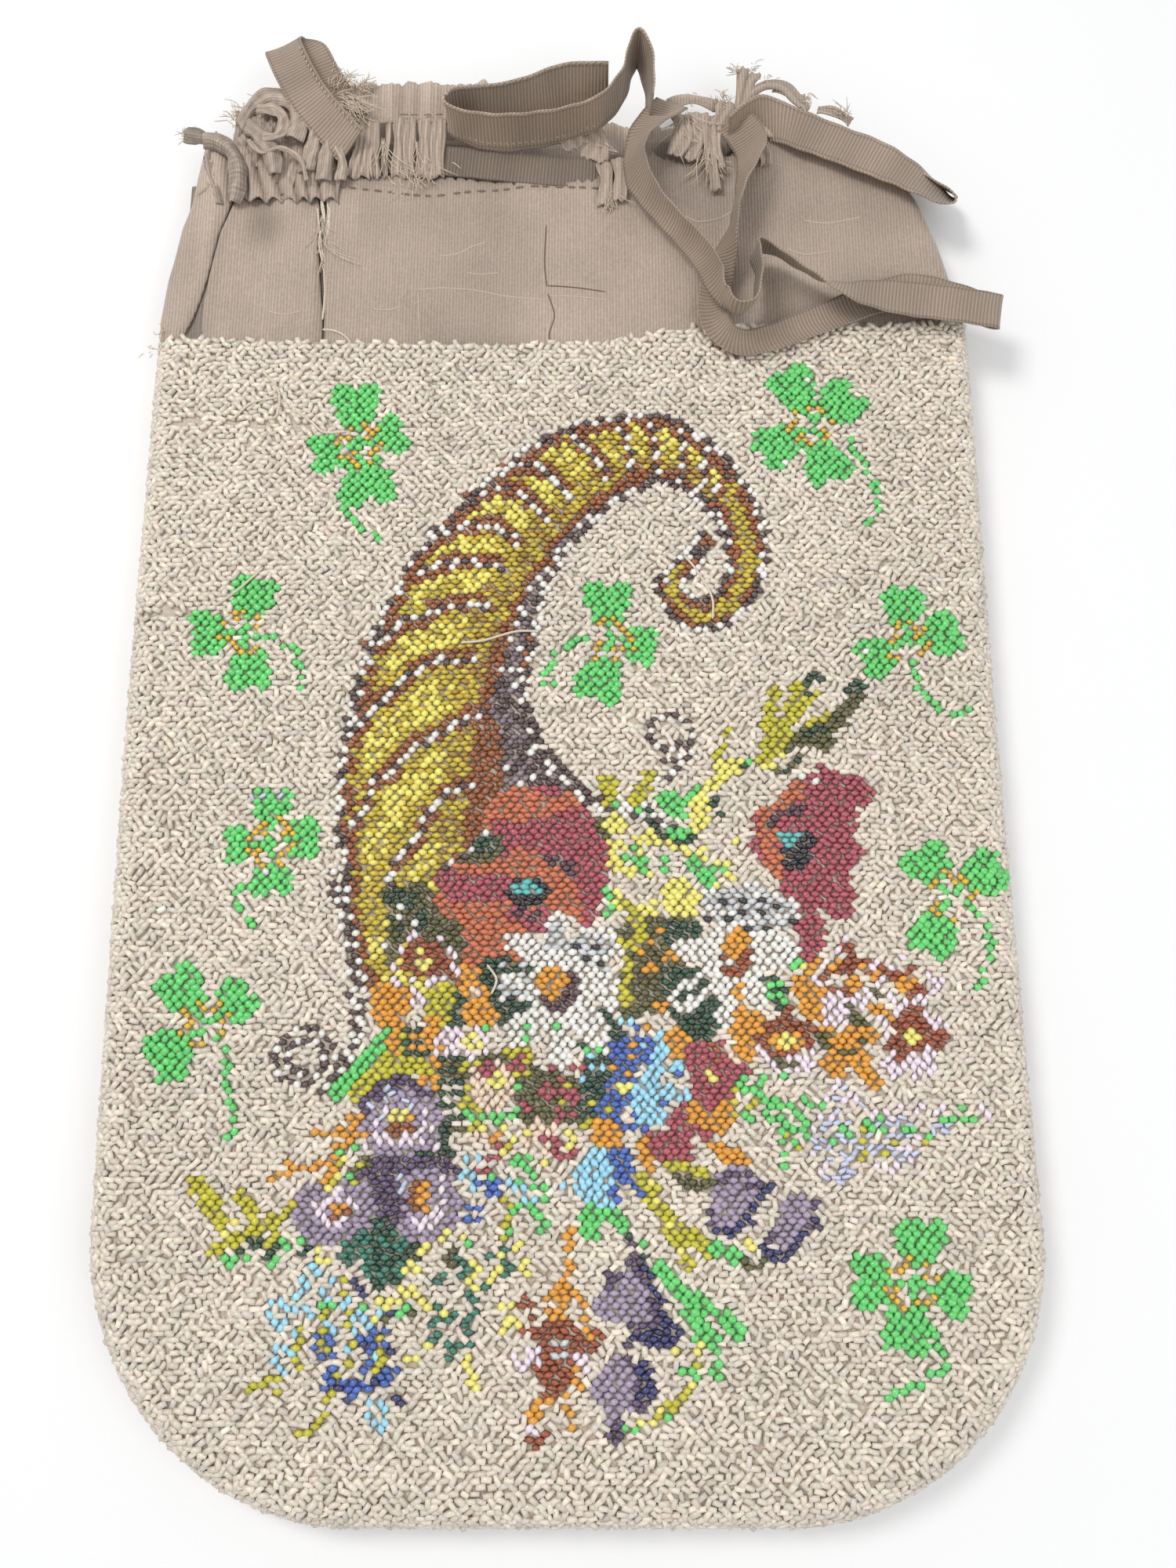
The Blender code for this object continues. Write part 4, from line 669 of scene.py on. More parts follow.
def draw_upper_sprays(chart):
    """The top of the bouquet: the pale yellow spray and the olive leaf."""
    area, line, dots, chain = chart.area, chart.line, chart.dots, chart.chain
    line("lemon_spray", "olive", 3.6, "9.2 15.6, 9.4 18, 9.2 20.8")
    line("lemon_spray", "olive", 3.2, "14.6 15.6, 16 18.4, 17.8 21.6")
    area("bouquet_leaves", "moss", "5.6 13, 8.4 12.6, 8.6 9.4, 7.6 6.6, 5.4 8.6")
    area("bouquet_leaves", "leaf",
         "13 14.6, 19 14.4, 21.6 11.4, 27 10, 27.4 7.6, 22 7, 19.4 9, 17 12, 13 12.6")
    dots("bouquet_leaves", "white", "13.6 13.8, 16.4 15.4, 12.4 15, 19.6 13.4")
    dots("bouquet_leaves", "leaf", "31 15, 32 13.6, 30.8 16.8, 31.8 16.2")
    area("lemon_spray", "lemon", "8 12.6, 10.6 13.4, 13.4 11.6, 12.4 9.6, 10 9, 8.4 10")
    dots("lemon_spray", "lemon",
         "9.4 8, 11.2 8, 10.2 6.4, 12 6.6, 10.8 4.8, 9.6 3.6, 11.6 3.2, 10.6 1.8, 12.4 1.4, 14.8 1.2, "
         "17 0.8, 14.4 8.6, 15.4 6.8, 16.8 8.8, 17.6 7.2, 18.8 9.2, 17.4 10.2, 16.4 5.4, 19.6 7.8, "
         "9.2 5.4, 13 0.2, 7.8 14.4, 21.6 7.6, 22.6 6")
    dots("lemon_spray", "green",
         "14.8 5.6, 16 4.4, 14 3.4, 15.2 2.4, 16.6 1.4, 12.8 4.2, 21.2 3.8, 20.6 2.6, 11.2 15.2, 15 14.8, "
         "9.4 2")
    area("lemon_spray", "lemon", "20.8 -2, 23 0.4, 26 -0.4, 27.8 -4, 26.4 -8, 23.6 -8.8, 21.2 -6.6, 20 -4.4")
    area("lemon_spray", "lemon", "14.6 -5.4, 17 -5.8, 19.4 -4, 19.6 -6, 17.6 -9.8, 15 -10, 13.8 -7.6")
    dots("lemon_spray", "lemon", "11 -2.6, 12.2 -4, 10.4 -4.2, 11.6 -5.6, 13.4 -5.4, 13 -7")
    area("lemon_spray", "lemon", "26 9.4, 29.4 10, 30 13, 30.8 17, 28.4 19.4, 26 16.4, 26.4 12.4")
    area("lemon_spray", "lemon",
         "28.8 18.2, 32 18.6, 33.4 21, 37.4 23, 37.4 25, 34.8 25.4, 32 26.6, 30.8 22.4, 29.8 20.4")
    dots("lemon_spray", "lemon",
         "24.2 6.6, 25.8 6, 27.2 5, 28.8 5.4, 29.8 4, 26.2 4.4, 31 0, 33 0.4, 34.6 -0.8, 35.4 -2.4, "
         "31.8 -1.6, 32.2 3.6, 33.2 2.6, 36.2 7.6")
    area("lemon_spray", "green",
         "19.8 17.6, 23 18.2, 25 17, 27.4 20.4, 29 20.2, 28 17.2, 25.6 15, 25.4 11, 23.6 12.6, 20.4 13.8")
    area("lemon_spray", "green", "21 10.2, 26 10.4, 25.4 8.2, 22.4 8.2")
    area("lemon_spray", "green",
         "25.4 4, 28.4 4.2, 29 1.8, 33 3.2, 34 2, 31 0.2, 30.2 -3.4, 27.4 -3.4, 27.8 0.2, 25 1.4")
    chain("lemon_spray", ["green"], "7 -1.8, 8.6 -3, 9 -5, 9.2 -7.4", 1.4)
    chain("olive_leaf", ["olive"], "31.8 26.8, 33.4 27.6, 33.8 29.4, 34.6 31.2", 1.2)
    dots("olive_leaf", "green", "38.6 25.4, 41 25.2, 53.4 38.2")
    dots("olive_leaf", "leaf", "37.4 24.2, 38.4 23.4")
    area("olive_leaf", "moss",
         "43.6 26.4, 46.6 28.6, 49.6 32.6, 53 34.4, 56.6 35.4, 60 38.6, 62 41.4, 64.4 42, 64.6 39, 62 36, "
         "60.4 33, 57.6 31, 57.4 28, 55.4 26.8, 52 28.4, 49 27.4, 45 25.4")
    area("olive_leaf", "leaf", "50 30, 55 31, 60 35.6, 62 39, 58 35, 53 32", 0.5)
    line("olive_leaf", "olive", 3.0, "43.4 33.4, 44.4 36.6, 44.6 40.6")
    line("olive_leaf", "olive", 4.0, "42.2 24.6, 44 28.4, 46.4 32, 48.6 35.6, 50.2 41")
    chain("olive_leaf", ["olive"], "44 31.4, 47 33.6, 50.4 36, 52 38.6, 53.6 40", 1.4)
    chain("olive_leaf", ["olive"], "52.6 33.6, 54.4 34.6, 56.4 35.8", 1.4)
    chain("olive_leaf", ["leaf"], "52.4 40.6, 52.4 42.4, 54.2 44.4, 55 43", 1.2)
    chain("olive_leaf", ["leaf"], "61.6 41, 63 43.4, 64.6 42.4, 64 40.6", 1.2)
    chain("olive_leaf", ["leaf", "moss"], "44 24, 46.6 23.4, 48.6 24.8, 49.6 26", 1.3)
    dots("olive_leaf", "lemon", "42.4 23.6, 44.6 24.6, 45.6 26")


def draw_right_side(chart):
    """The right of the bouquet: three blossoms, amber buds and a spray of leaves."""
    area, dots, chain = chart.area, chart.dots, chart.chain
    area("blossom_high", "brown",
         "57 -13, 59.6 -12.6, 60.6 -16, 64 -17, 67 -18.4, 65.4 -20.6, 61.4 -19.6, 58 -19.6, 54.6 -20.4, "
         "54 -22.6, 58 -22.6, 62 -23.6, 58 -25, 52.6 -22.6, 54.4 -18.6, 57.6 -17")
    area("bouquet_amber", "amber",
         "46 -20.4, 50 -20.6, 52.4 -22.6, 55.4 -24.4, 53 -26.6, 52 -29.6, 49 -28, 47.6 -25, 46.4 -23")
    dots("bouquet_amber", "amber",
         "51 -18.2, 52.8 -17.4, 55.6 -17.2, 54.8 -18.4, 49.4 -19.4, 62.6 -20.6, 65 -21.6, 61.4 -18.4, "
         "63.8 -19.4")
    area("blossom_high", "amber", "57.6 -20.4, 60.4 -20.4, 61 -22.4, 59.4 -23.6, 57.6 -22.6")
    dots("blossom_high", "pink",
         "57.4 -12.6, 56.4 -14.4, 53.6 -16.8, 52.6 -18.6, 64.2 -16.8, 63 -18.4, 69.2 -16.8, 68 -18.8, "
         "51 -20.8, 52 -22.4, 66.4 -23.6, 64.4 -22.6, 65.4 -20.4")
    area("blossom_right", "brown",
         "68 -20, 71.6 -17.6, 71.6 -21, 75 -22.6, 73.4 -25.4, 73.8 -28.4, 78.6 -30.6, 77.4 -33, 75 -35.6, "
         "71 -36.6, 65 -37.4, 64.6 -34, 67 -31, 64.6 -28, 68.6 -27, 69.6 -24, 66.4 -21.6")
    area("blossom_high", "pink",
         "53.6 -24, 57 -23.8, 58.6 -25.6, 60.6 -23.6, 63.6 -22.4, 64 -24.6, 60.6 -27.2, 58.4 -28, "
         "57.4 -30.6, 53.6 -30.6, 52.2 -27.4")
    area("bouquet_leaves", "moss", "57.4 -26.6, 59.6 -26.4, 61.4 -28.6, 60.8 -30.8, 58.4 -29.4")
    dots("bouquet_leaves", "moss", "63 -23.6, 64.2 -24.2")
    area("bouquet_amber", "amber", "62 -25, 64.4 -26.2, 67.4 -28.6, 66 -31, 63.6 -29")
    area("bouquet_amber", "amber", "67.6 -20.6, 71.6 -21, 71.4 -23.4, 68.4 -23.4")
    area("bouquet_amber", "amber",
         "50.4 -30.4, 56 -31, 62 -30.6, 64 -32.6, 60.6 -35.4, 62.6 -38.6, 64.6 -41.6, 62 -43.4, 58.6 -39, "
         "56.4 -36.4, 56.6 -41, 53 -40.4, 51.6 -36.6, 53 -34.6")
    area("bouquet_leaves", "moss", "50.6 -31, 53.6 -32.4, 54.6 -34.6, 51.6 -34")
    dots("bouquet_leaves", "moss", "59.6 -33.4, 58.4 -34.8, 57.2 -35.6")
    area("blossom_right", "lemon", "69.4 -31, 71.8 -31.2, 72.2 -33.6, 69.8 -34.4, 68.8 -33")
    dots("blossom_right", "pink",
         "74.4 -20.4, 76 -21.4, 77.6 -20.6, 76.4 -23, 72 -24.4, 73.6 -25, 71 -26, 75 -24, 66.4 -25.4, "
         "68 -26.2, 67 -27.6, 69.4 -25, 74.6 -29.6, 76.2 -28.8, 77.6 -29.8, 75.8 -31, 64.6 -30.4, "
         "65.2 -32, 64.2 -28.8, 73.4 -27.4")
    area("blossom_right", "pink",
         "63.6 -36.6, 66.6 -35.6, 68 -37.6, 69.6 -36.2, 73.6 -34.6, 75.4 -37, 74 -39.4, 70.6 -40.6, "
         "69 -38.6, 66 -40.6, 63.8 -39")
    area("blossom_middle", "brown",
         "39.4 -31, 41.6 -29, 44 -28, 45.8 -25.6, 47.6 -28.4, 50.6 -30.6, 50.4 -34, 47 -36, 42.4 -36.6, "
         "39.4 -34")
    area("blossom_middle", "amber", "42.6 -32, 46.6 -31.6, 48.6 -33.6, 45 -35.4, 42.4 -34.2")
    dots("blossom_middle", "lemon", "44.4 -32.2, 46 -32.4, 45.2 -33.6, 43.8 -33.4")
    area("blossom_middle", "pink",
         "37.6 -34, 40.4 -34, 41.6 -37, 45 -36.2, 49 -36.6, 50.4 -34, 51 -37, 49.6 -40, 46 -39.4, "
         "42.4 -39.8, 40 -37.6")
    dots("bouquet_leaves", "moss", "44 -38.6, 45.6 -38.2, 43 -36.8")
    area("bouquet_amber", "amber",
         "33.6 -27, 36.6 -26.4, 40.6 -28.6, 40.6 -31, 38 -32.6, 39.4 -36, 37 -37.4, 34.6 -33, 32.6 -30.6")
    area("bouquet_leaves", "leaf", "40.6 -20.4, 44.6 -21, 46.4 -24.4, 45 -27, 42.4 -26, 40.6 -23.4")
    dots("leaf_spray_right", "green",
         "42 -22.2, 43.6 -23.6, 44.6 -25.2, 42.6 -24.4, 43.8 -22, 46.4 -17.4, 48 -17.8, 47.2 -19, 45.6 -16.6")
    dots("leaf_spray_right", "lemon", "44.4 -17.2, 45.6 -18.6, 40.6 -24.2, 41.2 -25.4, 49.4 -19")
    for text in ("35 -42, 38 -43.6, 41 -45, 44.4 -46, 48 -45.4, 51.8 -46.6",
                 "41 -45, 43 -48, 46 -50.2, 49.4 -51.6", "44.4 -51.4, 43.4 -54.4, 43.6 -57.8",
                 "38 -43.6, 40.4 -46.4, 41.6 -49, 43.8 -52.6", "40.6 -40, 43.6 -40.6",
                 "45.6 -46.6, 47.4 -48.8, 49 -50", "36.6 -40.6, 38.4 -41.8"):
        chain("leaf_spray_right", ["green"], text, 1.8)
    dots("leaf_spray_right", "green", "34.8 -45.2, 36.6 -48.4, 46.2 -53, 47.2 -47, 37.2 -49.4")
    dots("leaf_spray_right", "olive", "36.4 -46.6, 38 -45, 46.2 -54.6, 45.2 -52, 34 -47")
    spray = ("47.6 -55.6, 51 -50.6, 53.4 -45, 55.6 -41.6, 58.6 -43.6, 61 -47, 66 -47.2, 72 -49.6, "
             "77 -48.6, 76.6 -52.4, 72 -55.6, 67 -56.6, 63 -59, 58.6 -57, 56.4 -61.4, 52 -60")
    area("leaf_spray_right", "mist", spray, 0.5)
    dots("leaf_spray_right", "pink",
         "54 -42.4, 55.6 -42, 57.2 -43.6, 53 -44.2, 58.2 -45, 56 -45.6, 51 -48.8, 49.6 -50.2, 52.6 -48.4, "
         "50 -55.8, 52 -57.6, 48.6 -55.2, 61 -48.2, 62.4 -47, 64 -47.6, 66 -48.6, 68 -46.8, 70 -47.2, "
         "72.4 -46, 74 -47.6, 76.2 -46.4, 62 -57.2, 64.2 -58.4, 67 -54.4, 69 -53.4, 71 -52.2, 69 -56, "
         "83.4 -46.6, 84.6 -47.2, 66 -57.4, 51.6 -59")
    dots("leaf_spray_right", "green",
         "56 -50.4, 54 -52.4, 60.2 -49, 62 -50, 64.6 -51, 66.2 -52.6, 70 -51, 73.2 -52, 75 -48.4, "
         "78 -48.4, 80 -47.4, 81.6 -48.2, 80.6 -49.2, 67.6 -51.2, 57.4 -51.6, 63.4 -48.8")
    dots("leaf_spray_right", "olive",
         "59.4 -51, 58.8 -53, 60 -55, 65 -53.2, 64.6 -55.2, 71.6 -53.2, 60.4 -53.2, 59.2 -55.8")


def draw_centre(chart):
    """The middle of the bouquet: the peach and rose blossoms and the two cornflowers."""
    area, line, dots, blob, chain = chart.area, chart.line, chart.dots, chart.blob, chart.chain
    area("bouquet_leaves", "moss",
         "-12 -36, -7 -38, 2 -40, 8 -38, 9 -44, 6 -50, 1 -49, -4 -50, -9 -50, -10 -44, -16 -48, -20 -47, "
         "-20 -38")
    area("olive_leaf_fill", "olive", "-12 -35.6, -8 -34, -6.6 -38, -9 -41, -12 -40", 0.8)
    area("olive_leaf_fill", "olive", "-21 -38, -18 -37, -16 -41, -17 -47, -20.6 -48, -20.6 -43", 0.8)
    area("peach_blossom", "peach",
         "-19 -39, -16 -37.4, -12.6 -37.6, -9.8 -40.6, -10.4 -45.4, -14 -47.2, -17.4 -45.6, -19.4 -42")
    dots("peach_blossom", "lemon", "-14.4 -41, -12.6 -41.4, -13.6 -42.4, -13.4 -40")
    dots("small_flowers", "rose",
         "-16.4 -38.4, -15 -37.4, -14.6 -39, -16 -40, -10.6 -37.2, -9 -37, -9.6 -38.8, -11 -39, "
         "-3.6 -42.8, -2 -43, -3 -44.4, -4.6 -44.2, -8 -45.4, -8.8 -46.8, -7.2 -46.6, -2 -36, -0.4 -36.4, "
         "-1 -37.8, -2.4 -38, -1.4 -40.8, 0.2 -41.2, -0.6 -42.4, 3 -38.6, 4.4 -39.4, 3.4 -40.6, "
         "1.6 -39.4, 2 -43.6, 3.4 -44.2, 2.4 -45.6, 0.8 -45, -1.8 -46.6, -0.4 -47.4, -1.6 -48.6, 1.4 -48, "
         "-16 -56.6, -15 -58, -16.8 -58, -14 -56.4, -14.6 -51.6, -13.4 -53, -15.6 -53.4, -2.4 -52, "
         "-1 -52.6, -2.2 -54, -0.6 -55.6, 0.8 -56.6, 1.6 -54.6, -3.8 -53")
    chain("peach_blossom", ["green"], "-19.4 -46.6, -18 -48.4, -15.4 -48, -13 -48.4, -10.6 -48, -9.4 -46",
          1.7)
    dots("peach_blossom", "green", "-5.2 -51.6, -20 -47.4, -9.8 -43")
    area("peach_blossom", "peach",
         "-18 -50, -13 -50.6, -8.4 -49.6, -5 -48.6, -1.4 -49.6, -3 -52.6, -1.4 -57.6, -6 -56, -8.6 -53.6, "
         "-11 -56.8, -14.6 -54.6, -18.6 -52.4", 0.6)
    dots("peach_blossom", "lemon",
         "-12.4 -51.2, -14 -53.4, -12.6 -54.8, -16.6 -51, -4 -56.2, -10.4 -52.2, 1.4 -53.4, 2.6 -52.4, "
         "1 -51.8, -8 -51.6")
    dots("peach_blossom", "olive", "-17.4 -49.6, -19 -50.4, -11.4 -53.4, 0 -45.6, 1 -42.6, 3 -47")
    blob("peach_blossom", "amber", -13.6, -52.4, 2.6, 2.2)
    area("cornflower_upper", "leaf", "3.4 -34, 8.4 -33, 9 -38, 8 -43, 7 -49, 4 -50, 2.6 -45, 4.4 -40")
    area("cornflower_upper", "blue",
         "8 -50.4, 12.4 -47.6, 13.4 -43, 15.4 -39, 19 -36.6, 18.6 -33.6, 14 -31.6, 11.6 -33, 12 -30, "
         "10 -31, 9.4 -36, 10 -39, 8 -43, 6 -47")
    area("cornflower_upper", "sky",
         "13 -44.6, 15 -41, 18 -40.6, 22 -42.4, 25 -43, 25.2 -45.6, 21.2 -45, 20.6 -48.6, 18 -49.4, "
         "15 -49.4, 13.6 -47.4")
    line("cornflower_upper", "sky", 3.0, "17.8 -41, 18.8 -37, 20.2 -32.6")
    dots("cornflower_upper", "sky",
         "22.4 -37.6, 23.6 -38.6, 21.6 -39, 5.2 -36, 6.6 -35.2, 8 -33.6, 7 -38.6, 4.2 -41, 5.6 -39.2, "
         "7.4 -34, 13 -29.6, 11.6 -28.4, 14.4 -28.8, 10 -33, 16 -34.2, 9.2 -31.4, 10.6 -29.6")
    dots("cornflower_upper", "blue",
         "14 -50, 12 -51, 16.4 -51, 14.6 -48.4, 19.6 -46, 22 -40, 14.6 -29.8, 12.4 -27.8")
    dots("cornflower_upper", "amber", "10 -38.4, 13 -36.2, 14 -34.6, 16.4 -31, 12.6 -40")
    dots("cornflower_upper", "lemon", "11.4 -41.6, 12.6 -42.4, 11.8 -43")
    area("rose_blossom", "rose",
         "25 -34, 29 -32.6, 32.4 -34, 33 -37, 37.4 -37.6, 36.4 -40.6, 33.4 -42, 34 -45.6, 31 -47.6, "
         "29.4 -49.6, 29 -52.6, 25.6 -52.6, 25.4 -58, 21 -58.6, 18.6 -56, 15.4 -54.6, 16.4 -50.6, "
         "20.4 -50.6, 21 -46.6, 24.4 -45.4, 25.6 -41, 23.6 -37")
    area("rose_blossom", "brown", "29 -33, 32 -34, 31.6 -38, 29 -37.6", 0.7)
    dots("rose_blossom", "lemon", "28.8 -39.6, 29.6 -41, 29.8 -40")
    dots("rose_blossom", "peach", "33.8 -36.4, 35 -35.6, 34.8 -37")
    area("bouquet_amber", "amber",
         "20 -31.6, 24.6 -30.6, 28.6 -31.4, 26 -33.8, 24 -36.6, 21.4 -36, 20.4 -33.6")
    area("bouquet_amber", "amber", "33 -32, 36.4 -31.4, 39 -34.6, 38 -37.6, 35.4 -38, 34.6 -34.6", 0.9)
    area("bouquet_amber", "amber", "26 -44.6, 29 -46.6, 33 -45, 33.4 -50.6, 30.4 -51.6, 27 -50, 24.6 -48.6")
    area("bouquet_amber", "amber", "29.6 -52.6, 33 -54.4, 36.8 -54.6, 36.8 -57, 32.4 -57, 29.4 -55.4")
    area("bouquet_amber", "amber", "6 -48.6, 10 -48.4, 12 -51.6, 11.4 -54, 7.4 -54.4, 5 -51.6")
    area("bouquet_amber", "amber", "14.8 -51.6, 17 -53.6, 18.6 -59, 16.6 -59.4, 15 -56")
    dots("bouquet_amber", "olive", "6 -46, 8 -47, 9.4 -46.4, 34.2 -43.8, 33.8 -45.4, 5 -48.6, 4 -50")
    area("cornflower_lower", "sky", "2 -62, 2.4 -57, 5.4 -54.8, 9.4 -55.4, 9.8 -60, 8.6 -64, 6.4 -66, 4 -65")
    area("cornflower_lower", "blue",
         "8.6 -54.6, 11.4 -54, 14.4 -58, 16.6 -62.6, 14.6 -63.6, 11.6 -60.6, 10.8 -65, 9 -64, 9.6 -59")
    area("cornflower_lower", "green",
         "3 -68, 4.4 -64.6, 7 -65.6, 10 -65, 12.6 -66.4, 13.4 -69.6, 10.4 -69, 7.6 -67.6, 6.6 -71.6, 4 -71")
    chain("cornflower_lower", ["green", "leaf"], "12.4 -69.6, 14 -71.6, 15.8 -74", 1.4)
    dots("cornflower_lower", "sky", "9.6 -66, 0.6 -61.6")
    area("bouquet_leaves", "moss", "20 -56.6, 24.6 -59, 29.4 -59, 29 -62.6, 24.6 -62.6, 21.4 -60")
    area("olive_leaf_fill", "olive", "20 -56, 23.4 -57, 28.6 -58.6, 29 -60.6, 25 -59.6, 21 -59")


def draw_low_left(chart):
    """The low left of the bouquet: three asters and the olive sprig."""
    area, line, dots, blob, chain = chart.area, chart.line, chart.dots, chart.blob, chart.chain
    area("bouquet_leaves", "grape",
         "-35 -55, -30 -56, -25 -56, -21 -57, -22 -60, -26 -60.6, -31 -62, -32 -68, -37.6 -68, -38.6 -63, "
         "-41 -60")
    area("bouquet_leaves", "pine",
         "-44 -71, -40 -69.6, -33 -68, -29 -71.6, -30 -76.6, -33.4 -80.4, -37.6 -79.6, -40 -75, -43 -76")
    area("bouquet_leaves", "leaf",
         "-38 -68.6, -33 -67, -29.4 -71, -28 -75, -32 -77.4, -33 -80.6, -38 -80, -37 -73", 0.6)
    blob("aster_top", "lilac", -33.0, -48.4, 17.4, 15.4)
    area("aster_top", "grape",
         "-41 -48.6, -41.6 -44.6, -38 -41.6, -34 -39.6, -29.6 -41.4, -26.4 -44, -28 -44.4, -31 -42.6, "
         "-36 -43.6, -39 -46.6")
    dots("aster_top", "mist", "-36 -43.4, -34 -43.6, -32 -45, -35.6 -45, -38 -46, -30.6 -45.6, -37.4 -48.4")
    for x in np.arange(-40.4, -26, 2.3):
        dots("aster_top", "pink", f"{x} {-51.6 - 0.6 * math.sin(x)}, {x + 1.1} -53.2")
    dots("aster_top", "pink", "-28 -47.4, -28.6 -49.4, -29.4 -50.6, -37 -49.6, -36.4 -47.4")
    area("aster_top", "amber", "-35.6 -47, -33 -46.4, -30.6 -47, -30.4 -49.2, -35.6 -49.2")
    dots("aster_top", "lemon", "-35 -47.6, -33.6 -46.8, -32.4 -47.6, -33.4 -48.4")
    area("aster_top", "rust", "-35.6 -49.4, -30.4 -49.4, -31 -51.6, -35 -51.6")
    blob("aster_left", "lilac", -45.6, -66.0, 17.4, 12.8, 10)
    for text in ("-48.4 -64.6, -47 -64, -46.6 -65.4, -48.6 -66.4, -47.6 -67.6, -46.6 -68.8",
                 "-44.4 -68.8, -43.6 -67.6, -42 -66.4, -41.6 -65, -42.8 -63.4",
                 "-44 -64.6, -45.4 -63.6, -44.6 -62.4"):
        dots("aster_left", "pink", text)
    area("aster_left", "rust", "-46 -65, -42.6 -64.6, -42 -66.6, -45.4 -68")
    dots("aster_left", "amber", "-46 -65.6, -44.4 -65.2, -42.6 -65.2, -43.6 -66.4")
    blob("aster_right", "lilac", -27.4, -65.0, 14.4, 14.6)
    area("aster_right", "grape", "-33.6 -58.6, -30.6 -59, -31.4 -63, -32 -67, -34.6 -68")
    dots("aster_right", "pink",
         "-24.6 -62.4, -23.8 -64, -24.4 -65.6, -25.4 -67, -27 -68, -28.6 -68.6, -30 -67.6, -23.4 -66.4, "
         "-25 -68.6, -26.6 -69.6, -24.4 -60.6")
    area("aster_right", "rust", "-30.4 -61.6, -28.6 -61, -28.4 -66, -30 -65.6")
    area("aster_right", "amber", "-28.4 -61.4, -26.6 -61.6, -26.2 -64.6, -27.4 -66.4, -28.6 -66")
    dots("aster_right", "mist", "-31 -60.6, -31.6 -62.2, -32.2 -60")
    for text in ("-40.6 -47.6, -43 -49.4, -46 -50.6, -49 -51.6",
                 "-40.6 -51.6, -43.6 -53.6, -46 -56, -49.6 -57.4, -54 -58.6, -58.4 -60",
                 "-43.4 -52, -45.4 -54", "-44 -55.6, -46 -58, -47 -61", "-43 -48.6, -41 -49.6",
                 "-52 -57.4, -54.6 -57"):
        chain("sprays_left", ["amber"], text, 1.5)
    chain("sprays_left", ["lemon", "olive"], "-43 -56, -45 -59, -47 -62", 1.5)
    chain("sprays_left", ["olive"], "-40.6 -57.6, -41.6 -60", 1.3)
    dots("sprays_left", "green", "-41.6 -59.8, -45 -54.6, -41.4 -54.6")
    line("olive_sprig_left", "olive", 3.4, "-73 -61.4, -71 -63, -68.6 -66.4, -67 -68.6")
    line("olive_sprig_left", "olive", 2.6, "-64.6 -63.4, -62.6 -65.4, -60.4 -68.6")
    chain("olive_sprig_left", ["olive"], "-53 -64.6, -55 -67, -57 -70, -58 -73", 1.4)
    chain("olive_sprig_left", ["olive"], "-57.4 -66, -59 -69", 1.4)
    line("olive_sprig_left", "olive", 2.4, "-69.4 -73.6, -66 -72, -62.6 -70.6, -61 -70.4")
    dots("olive_sprig_left", "leaf",
         "-62 -71.6, -61 -72.6, -63.4 -73, -60.4 -71.4, -57.6 -74, -56.4 -72.6, -59 -74.8")
    dots("olive_sprig_left", "green",
         "-65.4 -75, -63.8 -75.4, -62.4 -75, -64.6 -76.2, -57.4 -76, -56.4 -75, -54.8 -71.8, -54.6 -73.2, "
         "-51 -71.6, -50.6 -73.4")
    dots("olive_sprig_left", "leaf", "-50.6 -72.4, -51 -74.4")
    dots("olive_sprig_left", "lemon", "-47.6 -73.6, -46.8 -75.2, -48.4 -75, -66.4 -69.6, -64.6 -68.8")


